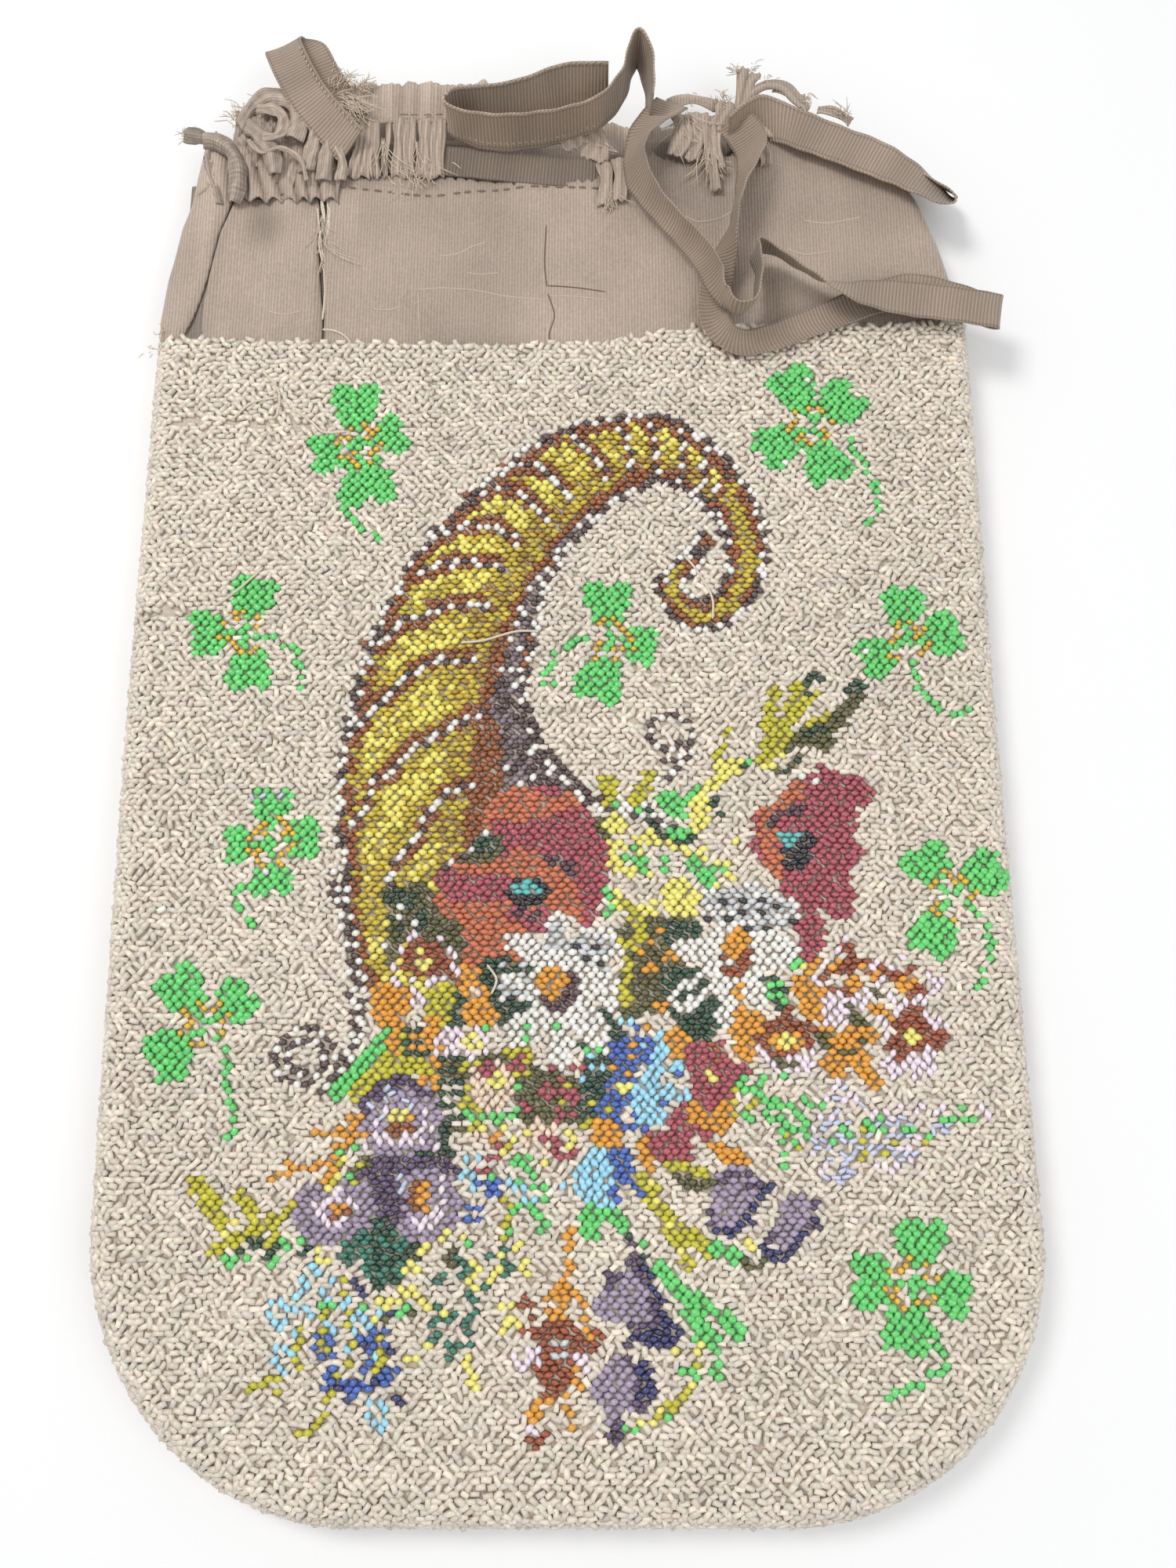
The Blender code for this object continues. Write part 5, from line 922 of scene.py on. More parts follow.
def draw_bottom(chart):
    """The foot of the bouquet: the blue sprig, pale sprays, small flowers and the flower on a stalk."""
    area, line, dots, chain = chart.area, chart.line, chart.dots, chart.chain
    dots("blue_sprig", "sky",
         "-48.4 -76.8, -47 -77.4, -51 -79, -49.4 -79.6, -50.6 -81.4, -52 -82.6, -46.8 -80.6, -45.4 -81.6, "
         "-44.6 -83, -47.4 -83.4, -49.6 -84.2, -52 -84.8, -48.4 -86, -46 -86.4, -44 -88, -42.6 -84.6, "
         "-41 -85.6, -39.8 -84.2, -42.4 -87.2, -40.4 -87.8, -38.6 -86, -51.4 -87.6, -52 -89.2, -41.6 -91, "
         "-36.4 -87, -35.6 -85.6, -36.4 -93.4, -37 -91.6, -34.8 -88.8, -45 -79.4, -41.8 -81.8")
    for x, y in ((-55.2, -85.2), (-53.6, -93.0), (-35.2, -103.0)):
        for k in range(7):
            angle = 2 * math.pi * k / 7 + 0.4
            dots("blue_sprig", "sky", f"{x + 2.1 * math.cos(angle)} {y + 2.0 * math.sin(angle)}")
        dots("blue_sprig", "ground", f"{x} {y}")
    area("blue_sprig", "blue",
         "-48 -87.6, -44.6 -89, -44 -93.6, -41.6 -96, -42 -99, -45.4 -99.4, -46.6 -96, -45 -94, -48 -91.6",
         0.75)
    area("blue_sprig", "blue",
         "-40 -89, -36.6 -88, -31.4 -88.4, -31 -93, -32.6 -97, -37 -98.6, -40.4 -101, -41.6 -98, -38.4 -93.6",
         0.62)
    dots("blue_sprig", "navy",
         "-38 -90.4, -36 -96.6, -33.6 -92, -43.4 -98.2, -40.6 -100.4, -31.8 -101, -32.6 -99.6, "
         "-40.4 -79.8, -41.2 -78.6, -39.6 -81.6, -35.4 -83, -33.4 -84.8, -46.8 -89.6")
    chain("blue_sprig", ["olive"], "-46 -84.6, -47 -88, -46.6 -91.4", 1.5)
    chain("blue_sprig", ["olive"], "-43.6 -79, -41.8 -83, -41.4 -88, -40.8 -93, -42.6 -96", 2.6)
    chain("blue_sprig", ["olive"], "-35.8 -89.4, -34.8 -93, -36.2 -96", 1.5)
    chain("blue_sprig", ["olive"], "-51 -88.4, -51.4 -91.8, -51 -94.4", 1.5)
    chain("blue_sprig", ["olive"], "-60.4 -98.6, -58 -97.4, -55.4 -96.6, -54.6 -98.6", 1.4)
    chain("blue_sprig", ["olive"], "-43.4 -96.8, -45 -100.4, -45.2 -103, -47.4 -105, -50 -105.6", 1.4)
    dots("blue_sprig", "green", "-45.2 -84, -46.4 -83.6, -38.8 -83.4")
    for text in ("-27.4 -72.4, -28.6 -74.6, -30.4 -76.6, -28.6 -77.8",
                 "-35.6 -82, -32.8 -83, -30.6 -82.4, -28.8 -80.8, -27 -82.4, -25.6 -84",
                 "-36 -85.6, -34.4 -83.6", "-23.6 -84, -22.4 -86.4, -24 -88",
                 "-17.6 -75, -16.4 -77, -18.6 -79, -17 -80.6, -15 -79", "-12.6 -75, -11 -76.6, -14 -77.6",
                 "-11.6 -83.6, -9.6 -84.4, -11 -86.4, -12.6 -88, -9 -86.6",
                 "-29.6 -93.4, -27.4 -93, -26 -91.6", "-19 -93, -17.6 -95, -18.4 -97.4, -16.4 -98",
                 "-20 -71.6, -21.6 -72.8"):
        chain("lemon_spray_low", ["lemon"], text, 1.5)
    dots("lemon_spray_low", "lemon",
         "-22.6 -70.8, -24 -71.6, -8.4 -76.4, -7 -77.8, -7.6 -75, -9 -72, -10 -73.4, -25 -86, "
         "-31.4 -81.2, -16 -96.4, -21.4 -85.2")
    for text in ("-20.4 -74.4, -19.4 -76.4, -19.8 -78.6",
                 "-18 -81.6, -17 -83.6, -18.4 -85.6, -18.6 -88, -18.2 -90",
                 "-24.6 -84.6, -25.4 -87.4, -24.8 -90", "-22 -91.4, -20.4 -90.6, -21.6 -93",
                 "-11.4 -74, -10.8 -76, -11.6 -78", "-15 -80.4, -16.4 -82.6", "-22.6 -87, -20.6 -84.6"):
        chain("lemon_spray_low", ["pine"], text, 1.4)
    dots("lemon_spray_low", "pine", "-24.4 -78.4, -23.6 -77.4, -36 -72, -16.6 -84.8, -14.6 -73.6")
    dots("lemon_spray_low", "green", "-31.2 -84, -31.8 -85.4, -18.2 -71.8")
    dots("lemon_spray_low", "moss", "-23 -74, -22 -75.4, -21.4 -73.6, -33.6 -86.4, -29 -85.2")
    dots("small_flowers", "sky",
         "-19 -56.2, -17.6 -56, -19.6 -58, -18.2 -58.6, -20 -59.6, -17.4 -62, -16.6 -60.6, -9.6 -62.2, "
         "-8.4 -61.2, -7.4 -63.4, -8.8 -64, -10.4 -60.6, -6 -64.6")
    dots("small_flowers", "blue",
         "-16.6 -60.8, -15 -60.6, -14 -59.6, -13.6 -61.8, -15.4 -62.4, -18.4 -65.6, -16 -65.4, "
         "-18.2 -67.4, -16.2 -67.6, -13 -60.4, -14 -63")
    for text in ("-8 -57.4, -6 -58.4, -4.6 -60.6, -4 -63", "-9 -59.6, -6.4 -59.6",
                 "-9.6 -65.4, -10.6 -68, -11 -70.6", "-5.6 -65.6, -4 -67.6, -4.4 -69.6",
                 "-10.4 -66.4, -6.6 -64.8"):
        chain("small_flowers", ["green"], text, 1.5)
    chain("small_flowers", ["olive"], "-11.4 -63.6, -10.8 -67, -11.6 -70.6", 1.5)
    dots("small_flowers", "green", "-9.6 -57.2, -7 -56.4, -8.4 -55.8, -14 -59, -5.4 -62")
    chain("stalk_flower", ["amber"], "1.2 -70, 1 -73, 0.8 -76, 0.4 -79", 1.2)
    chain("stalk_flower", ["amber"], "-0.4 -79, -2.4 -82, -2.8 -84", 1.2)
    chain("stalk_flower", ["amber"], "0.4 -79, 3 -82, 4.4 -86, 5.6 -89, 6.4 -90", 1.2)
    line("stalk_flower", "amber", 2.8, "0 -79, -0.4 -83, -1.4 -87")
    area("stalk_flower", "brown",
         "-6 -87.6, -3 -86.6, 1 -86.4, 4 -88.6, 5.6 -92.6, 2.6 -92.8, 3 -95.6, 0.4 -98, -1 -100.6, "
         "-4 -100.6, -4.6 -97, -6.4 -95.6, -3.6 -92.6, -5.4 -90.4")
    dots("stalk_flower", "grey", "-1.6 -90.6, 0 -91, -2 -92.2, -0.4 -92.6")
    dots("stalk_flower", "brown",
         "-9 -83.4, -7.6 -82.8, -6 -83.6, -8 -84.4, -7 -88, -6 -86.2, 6.6 -88.4, 7.4 -89.6, 5.8 -90.4")
    dots("stalk_flower", "pink",
         "-8.8 -92.4, -7.4 -91.6, -6 -92.2, -8 -94, -6.6 -94.2, -5 -93.4, -7.4 -95.4, 3.2 -94.6, "
         "4.4 -93.4, 3 -92.6, 5 -95, -9.6 -94, -4.2 -91.6")
    chain("stalk_flower", ["amber"], "-3.8 -100.6, -5 -102.6, -5.4 -104", 1.1)
    chain("stalk_flower", ["amber"], "0.4 -100, 1 -102.6, 1.4 -104.6", 1.1)
    dots("stalk_flower", "amber", "-4.4 -103.4, -6 -103, 0 -102, 2 -96.6, 2.6 -98.4, 2 -95.2, -2.6 -101.4")
    dots("stalk_flower", "pink", "-6 -105.6, -3.8 -105.8, -5 -106.4")
    dots("stalk_flower", "brown", "-5.6 -107.2, -4.2 -107.6, -6.4 -108.4, -3.2 -106.8, -4.8 -108.6")


def draw_violets(chart):
    """The four violets with their stalks and the low spray of leaves."""
    area, line, dots, chain = chart.area, chart.line, chart.dots, chart.chain
    area("violet_upper", "lilac",
         "28.6 -66, 29.6 -61, 32 -58, 35.4 -58, 38.6 -60.6, 39 -65, 36.6 -68.4, 33 -69.6, 29.6 -69.4")
    area("violet_upper", "navy",
         "29 -68, 31.6 -69, 35 -67.4, 38 -64, 40.6 -60.4, 38.6 -58.6, 36 -59.6, 33.6 -59.6, 36.6 -58, "
         "40.4 -59.4, 41 -62, 38 -67, 34 -71, 29.8 -70.6")
    dots("violet_upper", "grape",
         "33.2 -59.4, 34.8 -59.8, 32 -60.6, 36.2 -58.8, 29 -68.4, 28.8 -67, 38.6 -60.4, 37 -61.6")
    area("violet_right", "lilac",
         "41.6 -72, 42 -68, 43.6 -64, 46 -62.6, 48.6 -65, 48.6 -68.6, 45.6 -71.4, 42.4 -73.6")
    area("violet_right", "navy",
         "39 -71.6, 41 -73.4, 44 -73, 47 -70, 49.6 -66, 49 -63.8, 50.4 -65, 50 -68, 52 -68.6, 51 -70, "
         "48 -70.6, 45.6 -74.6, 42.4 -76, 39.4 -74.6")
    dots("violet_right", "grape", "49.4 -64.6, 48.8 -66.4, 39.6 -72, 40.6 -71.2, 50.6 -68.8, 47.6 -68.8")
    area("violet_middle", "lilac",
         "6 -83.6, 8.6 -79.6, 12 -77.4, 15 -79.6, 17.4 -83.6, 18.4 -87.6, 15 -89.6, 11 -87, 7.4 -85.6")
    area("violet_middle", "navy",
         "14 -75.6, 16.6 -77.6, 19.6 -81.6, 20.6 -85.6, 22.8 -89, 20.6 -91.4, 17.6 -91.6, 14 -90, "
         "12.8 -88.4, 17 -87.6, 17.8 -83.6, 15 -79.4, 13.4 -77")
    area("violet_middle", "grape",
         "13.4 -74.6, 15 -73.6, 15.4 -78, 18 -82, 18.6 -87, 14 -88.6, 13 -87, 17 -86, 16 -81, 12.6 -77.4")
    dots("violet_middle", "grape", "9 -79, 11 -78.4, 8 -80, 13 -76.4, 14 -73, 14.8 -74.6, 9.4 -78.2")
    area("violet_low", "lilac",
         "4.6 -98, 7.6 -94, 11 -92, 14.6 -94, 16.4 -98, 16 -102, 12 -102.4, 10 -105.6, 7.6 -103, 6 -100")
    area("violet_low", "navy", "14 -93.6, 16.6 -94.6, 18 -98, 17.4 -101, 15.6 -102.6, 14.4 -99")
    dots("violet_low", "grape",
         "12.2 -91.4, 12.8 -93, 13.6 -94.8, 14.2 -97, 14 -99.2, 13.4 -101.4, 15 -102.8, 16.2 -101.8")
    area("violet_low", "grape", "7.6 -106.6, 9.4 -104.4, 12 -104, 12 -107, 9.4 -108.6")
    for text in ("15 -59.6, 17 -63, 18.6 -66.6, 21.6 -70.6, 23.6 -74, 24.6 -76.6",
                 "17 -61.4, 19 -65, 22.4 -68.6, 26 -71.6, 28.6 -73.6"):
        line("violet_stalks", "olive", 2.6, text)
    chain("violet_stalks", ["lemon", "olive"], "16.6 -60.6, 19.4 -66, 22.6 -71, 24.4 -75.6", 2.4)
    line("violet_stalks", "green", 2.6, "29.6 -72.6, 32 -74, 34.8 -75.4")
    chain("violet_stalks", ["moss"], "35.4 -75.6, 37.4 -76, 39.4 -75.4", 1.1)
    dots("violet_stalks", "lemon", "36 -72.4, 36.8 -73.6")
    line("leaf_spray_low", "green", 2.4, "18.6 -76, 20 -78.6, 22.6 -80.6, 26 -82.6")
    line("leaf_spray_low", "green", 2.6, "24.6 -81.6, 27.4 -84, 30.6 -85.6, 33.8 -88.6")
    line("leaf_spray_low", "green", 2.4, "22.8 -81.6, 24.6 -85, 26 -88.6, 28.6 -90")
    chain("leaf_spray_low", ["green"], "27.6 -88, 29.6 -90.4, 30 -93.6, 29.4 -96.6", 1.5)
    chain("leaf_spray_low", ["green", "green", "olive"], "29.6 -86, 31 -84.6", 1.5)
    chain("leaf_spray_low", ["olive"],
          "26.4 -90.6, 25.8 -94, 24.8 -97.6, 22.8 -100.6, 19 -102.6, 16 -104.6, 13.6 -105.6", 1.4)
    dots("leaf_spray_low", "green",
         "23 -95.6, 24.8 -95.8, 25.2 -96.8, 12.4 -105.8, 14 -106, 20 -103, 28.8 -95.4")
    dots("leaf_spray_low", "lemon", "25.8 -91, 26 -92.8, 15 -104.6, 17 -105, 19 -101.6, 24.6 -98.6, 21.4 -91")


# The lattice of stitches: every other row is moved by half a bead
BEAD_PITCH = 2.03
ROW_PITCH = 1.148
ROWS = 228
COLUMNS = 98
LAST_ROLL = 8.1
SLIP = 0.16
# The lies that a third of the beads take the other way round
TWO_WAY_LIES = (8, 10, 15, 20)


def lattice():
    """The front's stitches, row by row from the mouth, with the sway and the small slips of
    knitting. Those that would lie past the bag's edge are left out."""
    row, column = np.meshgrid(np.arange(ROWS), np.arange(COLUMNS), indexing="ij")
    u = (column - (COLUMNS - 1) / 2 + 0.5 * (row % 2)) * BEAD_PITCH
    v = MOUTH_Y - 0.7 + (6 - row) * ROW_PITCH
    v = v + 0.45 * np.sin(u / 29 + v / 60) + 0.25 * np.sin(u / 9 + 2)
    u = u + 0.4 * np.sin(v / 24)
    u, v = u.ravel(), v.ravel()
    u = u + chance.normal(0, SLIP, len(u))
    v = v + chance.normal(0, SLIP * 0.7, len(v))
    beyond, _, _ = core_edge(u, v)
    keep = (beyond < LAST_ROLL) & (v < mouth(u) + 0.5 * np.sin(u * 1.7))
    return u[keep], v[keep]


def beads(name, places, outs, glasses, cuts=CUTS, scale=1.0):
    """One piece of many beads. Each bead's own axes are the way of its row, the way across it and
    the way out of the bag, turned by its lie, rocked a little and stretched to its cut."""
    places = np.asarray(places)
    all_places, all_corners, all_sizes, all_colours = [], [], [], []
    so_far = 0
    row_way = np.stack([np.ones(len(places)), np.zeros(len(places)), np.zeros(len(places))], 1)
    row_way = row_way - outs * (row_way * outs).sum(1, keepdims=True)
    steep = np.linalg.norm(row_way, axis=1) < 0.3
    row_way[steep] = np.cross(outs[steep], (0.0, 0.0, 1.0))
    row_way /= np.linalg.norm(row_way, axis=1, keepdims=True)
    cross_way = np.cross(outs, row_way)
    for glass in np.unique(glasses):
        colour, cut, half_length, half_breadth, (lie, stray), vary = GLASS[glass]
        unit, corners, sizes = cuts[cut]
        chosen = np.flatnonzero(glasses == glass)
        count = len(chosen)
        turn = np.radians(lie + chance.normal(0, stray, count))
        if lie in TWO_WAY_LIES:
            turn *= chance.choice([1, 1, -1], count)
        rock = chance.normal(0, 0.16 if cut == "cut" else 0.08, (count, 2))
        along = np.cos(turn)[:, None] * row_way[chosen] + np.sin(turn)[:, None] * cross_way[chosen]
        across = np.cos(turn)[:, None] * cross_way[chosen] - np.sin(turn)[:, None] * row_way[chosen]
        up = outs[chosen] + along * rock[:, :1] + across * rock[:, 1:]
        up /= np.linalg.norm(up, axis=1, keepdims=True)
        along = along - up * (along * up).sum(1, keepdims=True)
        along /= np.linalg.norm(along, axis=1, keepdims=True)
        across = np.cross(up, along)
        spin = chance.uniform(-0.5, 0.5, count) if cut == "cut" else np.zeros(count)
        across, up = (
            across * np.cos(spin)[:, None] + up * np.sin(spin)[:, None],
            up * np.cos(spin)[:, None] - across * np.sin(spin)[:, None],
        )
        long = half_length * scale * chance.normal(1, 0.09, count)
        broad = half_breadth * scale * chance.normal(1, 0.07, count)
        body = (
            places[chosen][:, None, :]
            + unit[None, :, 0, None] * (along * long[:, None])[:, None, :]
            + unit[None, :, 1, None] * (across * broad[:, None])[:, None, :]
            + unit[None, :, 2, None] * (up * broad[:, None])[:, None, :]
        )
        tone = linear(colour)[None] * np.exp(chance.normal(0, vary, (count, 1)))
        tone = tone * (1 + chance.normal(0, vary * 0.15, (count, 3)))
        # Painted light and shade: each bead's colour is lighter toward its top and darker toward its
        # underside, and the round cuts' ends are darker. The cut ground beads' undersides are painted
        # lighter, as if light passed through them.
        height = unit[:, 2] / max(unit[:, 2].max(), 1e-6)
        ends = np.abs(unit[:, 0]) > 0.9
        underside_shade = 0.84 if cut == "cut" else 0.34
        painted_light = underside_shade + (1.08 - underside_shade) * np.clip(height * 0.8 + 0.5, 0, 1)
        painted_light = painted_light * np.where(ends & (cut != "cut"), 0.72, 1.0)
        colours = np.clip(tone[:, None, :] * painted_light[None, :, None], 0, 1)
        all_colours.append(np.concatenate([colours, np.ones((*colours.shape[:2], 1))], 2).reshape(-1, 4))
        all_places.append(body.reshape(-1, 3))
        offsets = so_far + np.arange(count)[:, None] * len(unit)
        all_corners.append((corners[None] + offsets).ravel())
        all_sizes.append(np.tile(sizes, count))
        so_far += count * len(unit)
    thing = mesh_piece(
        name, np.concatenate(all_places), np.concatenate(all_corners), np.concatenate(all_sizes)
    )
    paint(thing, "glass", np.concatenate(all_colours))
    return thing


# The beads of both faces

# The line that the beads end on at the mouth, and the worn rows: a curve, its half width, the share lost
MOUTH_LINE = np.array([(-98, 126.4), (-84, 126.2), (-62, 125.2), (-40, 124.6), (-10, 124.4), (8, 125.2),
                       (25, 128.2), (33, 129.2), (58, 129.6), (75, 130), (98, 132)], float)
WORN_ROWS = [
    ("-89 104.5, -80 104.8, -72 104, -64 103.6, -55 104", 1.0, 0.55),
    ("-93 58.2, -87 58.6, -80 58", 1.0, 0.6),
    ("-70 117, -66 112, -66 106", 1.0, 0.3),
    ("-22 52, -12 54", 0.8, 0.3),
]


def mouth(u):
    """The height on the chart where the beads end."""
    return np.interp(u, MOUTH_LINE[:, 0], MOUTH_LINE[:, 1])


def lost(points):
    """Beads that have gone: a few anywhere, and more along the worn rows."""
    gone = chance.random(len(points)) < 0.004
    for text, half, share in WORN_ROWS:
        away, _ = from_line(points, smoothed(places_of(text), 4))
        gone |= (away < half) & (chance.random(len(points)) < share)
    return gone


GROUND_SUNK = 0.72
COLOUR_LIFT = 0.06


def front_beads():
    """The chart's beads, one piece for each motif, with the ground in an upper and a lower piece."""
    u, v = lattice()
    places, outs = on_bag(u, v, -GROUND_SUNK)
    # The chart's points are the beads' own places, so a bead that is moved on it moves on the bag
    chart = Chart(places[:, :2])
    draw_clovers(chart)
    draw_spirals(chart)
    draw_upper_sprays(chart)
    draw_horn(chart)
    draw_left_side(chart)
    draw_right_side(chart)
    draw_centre(chart)
    draw_poppies(chart)
    draw_daisies(chart)
    draw_low_left(chart)
    draw_bottom(chart)
    draw_violets(chart)
    plain = chart.motif == "ground"
    kept = ~(plain & lost(chart.points))
    places = places + outs * np.where(plain, chance.normal(0, 0.09, len(u)), COLOUR_LIFT)[:, None]
    upper = places[:, 1] > 18
    pieces = {}
    for motif in np.unique(chart.motif[~plain]):
        chosen = chart.motif == motif
        pieces[motif] = beads(motif + "_beads", places[chosen], outs[chosen], chart.glass[chosen])
    for name, half in (("ground_beads_upper", upper), ("ground_beads_lower", ~upper)):
        chosen = kept & plain & half
        pieces[name] = beads(name, places[chosen], outs[chosen], chart.glass[chosen])
    return pieces


BACK_ROWS = 209
BACK_COLUMNS = 90
BACK_PITCH = 2.2
BACK_ROW_PITCH = 1.245
BACK_SCALE = 1.12


def back_beads():
    """The back's plain beads in the same kind of rows, a little coarser and with four sides each."""
    cuts = {"cut": bead_cut([(-1.0, 0.98), (1.0, 0.98)], 4)}
    row, column = np.meshgrid(np.arange(BACK_ROWS), np.arange(BACK_COLUMNS), indexing="ij")
    u = ((column - (BACK_COLUMNS - 1) / 2 + 0.5 * (row % 2)) * BACK_PITCH).ravel()
    v = (MOUTH_Y - 0.7 + (5 - row) * BACK_ROW_PITCH).ravel()
    u = u + chance.normal(0, 0.14, len(u))
    v = v + 0.4 * np.sin(u / 31 + v / 50) + chance.normal(0, 0.1, len(v))
    beyond, _, _ = core_edge(u, v)
    kept = (beyond < LAST_ROLL) & (v < mouth(u))
    places, outs = on_bag(u[kept], v[kept], -GROUND_SUNK, -1.0)
    glasses = np.full(len(places), "ground", dtype="U12")
    upper = places[:, 1] > 6
    pieces = {}
    for name, half in (("back_beads_upper", upper), ("back_beads_lower", ~upper)):
        pieces[name] = beads(name, places[half], outs[half], glasses[half], cuts, BACK_SCALE)
    return pieces


def edge_row():
    """The single row of pale beads that closes the sides and the bottom, from mouth to mouth."""
    side = HALF_DEPTH * math.pi / 2
    straight = MOUTH_Y - CORE_CENTRE[1]
    turn = (CORE_RADIUS + side) * math.pi / 2
    base = 2 * CORE_CENTRE[0]
    run = np.arange(0.6, 2 * straight + 2 * turn + base, 1.22)
    u, v = [], []
    for at in run:
        if at < straight:
            place = (-CORE_SIDE - side, MOUTH_Y - at)
        elif at < straight + turn:
            angle = math.pi + (at - straight) / (CORE_RADIUS + side)
            place = (-CORE_CENTRE[0] + (CORE_RADIUS + side) * math.cos(angle),
                     CORE_CENTRE[1] + (CORE_RADIUS + side) * math.sin(angle))
        elif at < straight + turn + base:
            place = (-CORE_CENTRE[0] + at - straight - turn, CORE_CENTRE[1] - CORE_RADIUS - side)
        elif at < straight + 2 * turn + base:
            angle = 1.5 * math.pi + (at - straight - turn - base) / (CORE_RADIUS + side)
            place = (CORE_CENTRE[0] + (CORE_RADIUS + side) * math.cos(angle),
                     CORE_CENTRE[1] + (CORE_RADIUS + side) * math.sin(angle))
        else:
            place = (CORE_SIDE + side, CORE_CENTRE[1] + at - straight - 2 * turn - base)
        u.append(place[0])
        v.append(place[1])
    u, v = np.array(u), np.array(v)
    places, outs = on_bag(u, v, -0.55)
    places[:, 2] += 0.35 * np.sin(np.arange(len(u)) * 2.1)
    return beads("edge_row_beads", places, outs, np.full(len(u), "ground", dtype="U12"), CUTS, 1.1)


def weld(places, faces):
    """Joins corners that share a place and drops the faces that close up."""
    _, first, home = np.unique(np.round(places, 3), axis=0, return_index=True, return_inverse=True)
    home = home.ravel()
    faces = home[faces]
    kept = [len(set(face)) == 4 for face in faces.tolist()]
    return places[first], faces[np.array(kept)]


def grid_faces(rows, columns, kept=None, flip=False):
    """The four corners of each cell of a grid of places, for the cells that are kept."""
    start = (np.arange(rows - 1)[:, None] * columns + np.arange(columns - 1)[None, :]).ravel()
    if kept is not None:
        start = start[np.asarray(kept).ravel()]
    faces = np.stack([start, start + 1, start + columns + 1, start + columns], 1)
    return faces[:, ::-1] if flip else faces


def knitted_bag():
    """The silk that carries the beads: two faces that meet round the rolled edge, open at the mouth."""
    rows, columns = 80, 62
    line_u = np.linspace(-99, 99, columns)
    share = np.linspace(0, 1, rows)
    u = np.broadcast_to(line_u, (rows, columns))
    v = -128 + share[:, None] * (mouth(line_u)[None, :] + 128)
    beyond, _, _ = core_edge(u.ravel(), v.ravel())
    beyond = beyond.reshape(u.shape)
    rim = HALF_DEPTH * math.pi / 2
    far = np.minimum.reduce([beyond[:-1, :-1], beyond[1:, :-1], beyond[:-1, 1:], beyond[1:, 1:]])
    kept = far < rim
    places, faces = [], []
    for number, face in enumerate((1.0, -1.0)):
        one, _ = on_bag(u.ravel(), v.ravel(), -KNIT_INSET, face)
        places.append(one)
        faces.append(grid_faces(rows, columns, kept, face < 0) + number * len(one))
    places, faces = weld(np.concatenate(places), np.concatenate(faces))
    return mesh_piece("knitted_bag", places, faces.ravel(), np.full(len(faces), 4))


# The silk above the beads

LEFT_EDGE = np.array([(118, -93.6), (124, -95.4), (132, -96), (143, -95), (148, -94), (157, -92.6),
                      (163, -90.8), (170, -90), (177, -89), (182, -88), (196, -84)], float)
RIGHT_EDGE = np.array([(118, 92.4), (130, 92.2), (141, 91), (152, 88.4), (158, 86.4), (164, 84.2),
                       (170, 81), (178, 76), (186, 70), (196, 64)], float)
# The torn upper line of the front: what is above it is gone
FRONT_TOP = np.array([(-96, 179), (-90, 179.4), (-86, 178.6), (-83, 178), (-81, 177), (-57, 177),
                      (-55.6, 171), (-52, 170.4), (-40, 170.2), (-30, 170), (-20, 169), (-8, 168.4),
                      (5, 168.2), (8, 172), (11, 173), (14, 172), (16, 178), (24, 176), (33, 173),
                      (35, 175), (42, 176), (44, 181), (52, 182.6), (60, 181), (70, 176), (80, 171.5),
                      (90, 168)], float)
# The two slits that part the front: y, the slit's middle and half its gap
LEFT_SLIT = np.array([(118, -87.6, 2.6), (126.5, -87.4, 2.5), (131.5, -86.5, 1.3), (136.6, -85.5, 0.7),
                      (143, -84.3, 0.3), (154, -82.5, 0.25), (164, -79.6, 0.5), (172, -80, 0.8),
                      (184, -80, 0.8)], float)
MIDDLE_SLIT = np.array([(118, -56.9, 0.1), (125, -56.8, 0.18), (132.7, -56.9, 0.3), (138.8, -57.6, 0.42),
                        (149.3, -58.6, 0.5), (155, -58.6, 0.7), (160.6, -58.4, 0.9), (170, -60, 1.2),
                        (184, -60, 1.2)], float)


def edge_at(line, y):
    """Where an edge or a slit runs at a height on the chart."""
    return np.interp(y, line[:, 0], line[:, 1])


def silk_wall(x, y, face):
    """The height of the collar's front or back wall, with its rolled sides and its soft folds."""
    height = np.clip(y - MOUTH_Y, 0, 72)
    radius = 3.7 - 0.7 * height / 70
    left, right = edge_at(LEFT_EDGE, y), edge_at(RIGHT_EDGE, y)
    inward = np.minimum(x - left, right - x)
    round_ = np.sqrt(np.clip(1 - (1 - np.clip(inward / radius, 0, 1)) ** 2, 0, 1))
    gather = np.clip((y - 148) / 26, 0, 1) ** 1.6
    fold = 0.34 * np.sin(x / 2.35 + 0.5 * np.sin(y / 9)) * gather
    fold = fold + 0.5 * np.sin(x / 7.1 + 1.3 + 0.3 * np.sin(y / 13)) * (0.25 + 0.75 * gather)
    fold = fold + 0.22 * np.sin(x / 13 + y / 21) + 0.1 * np.sin(y / 6.3 + x / 19)
    bunch = np.clip(1 - np.abs(x + 73) / 18, 0, 1) * np.clip((y - 156) / 14, 0, 1)
    fold = fold + bunch * (1.1 * np.sin((x + y * 0.35) / 2.1) + 0.9 * np.sin((x - y * 0.6) / 3.3 + 1))
    pull = np.exp(-(((x + 72) / 4.5) ** 2 + ((y - 157) / 6) ** 2))
    fold = fold - 1.3 * pull + 0.9 * np.exp(-(((x + 84.6) / 2.4) ** 2)) * np.clip((y - 128) / 25, 0, 1)
    fold = fold + 0.7 * np.exp(-(((x + 59.8) / 1.4) ** 2)) * np.clip((y - 126) / 20, 0, 1)
    return MIDDLE_Z + face * (radius * round_ + (0.35 + fold * 0.8) * round_), fold


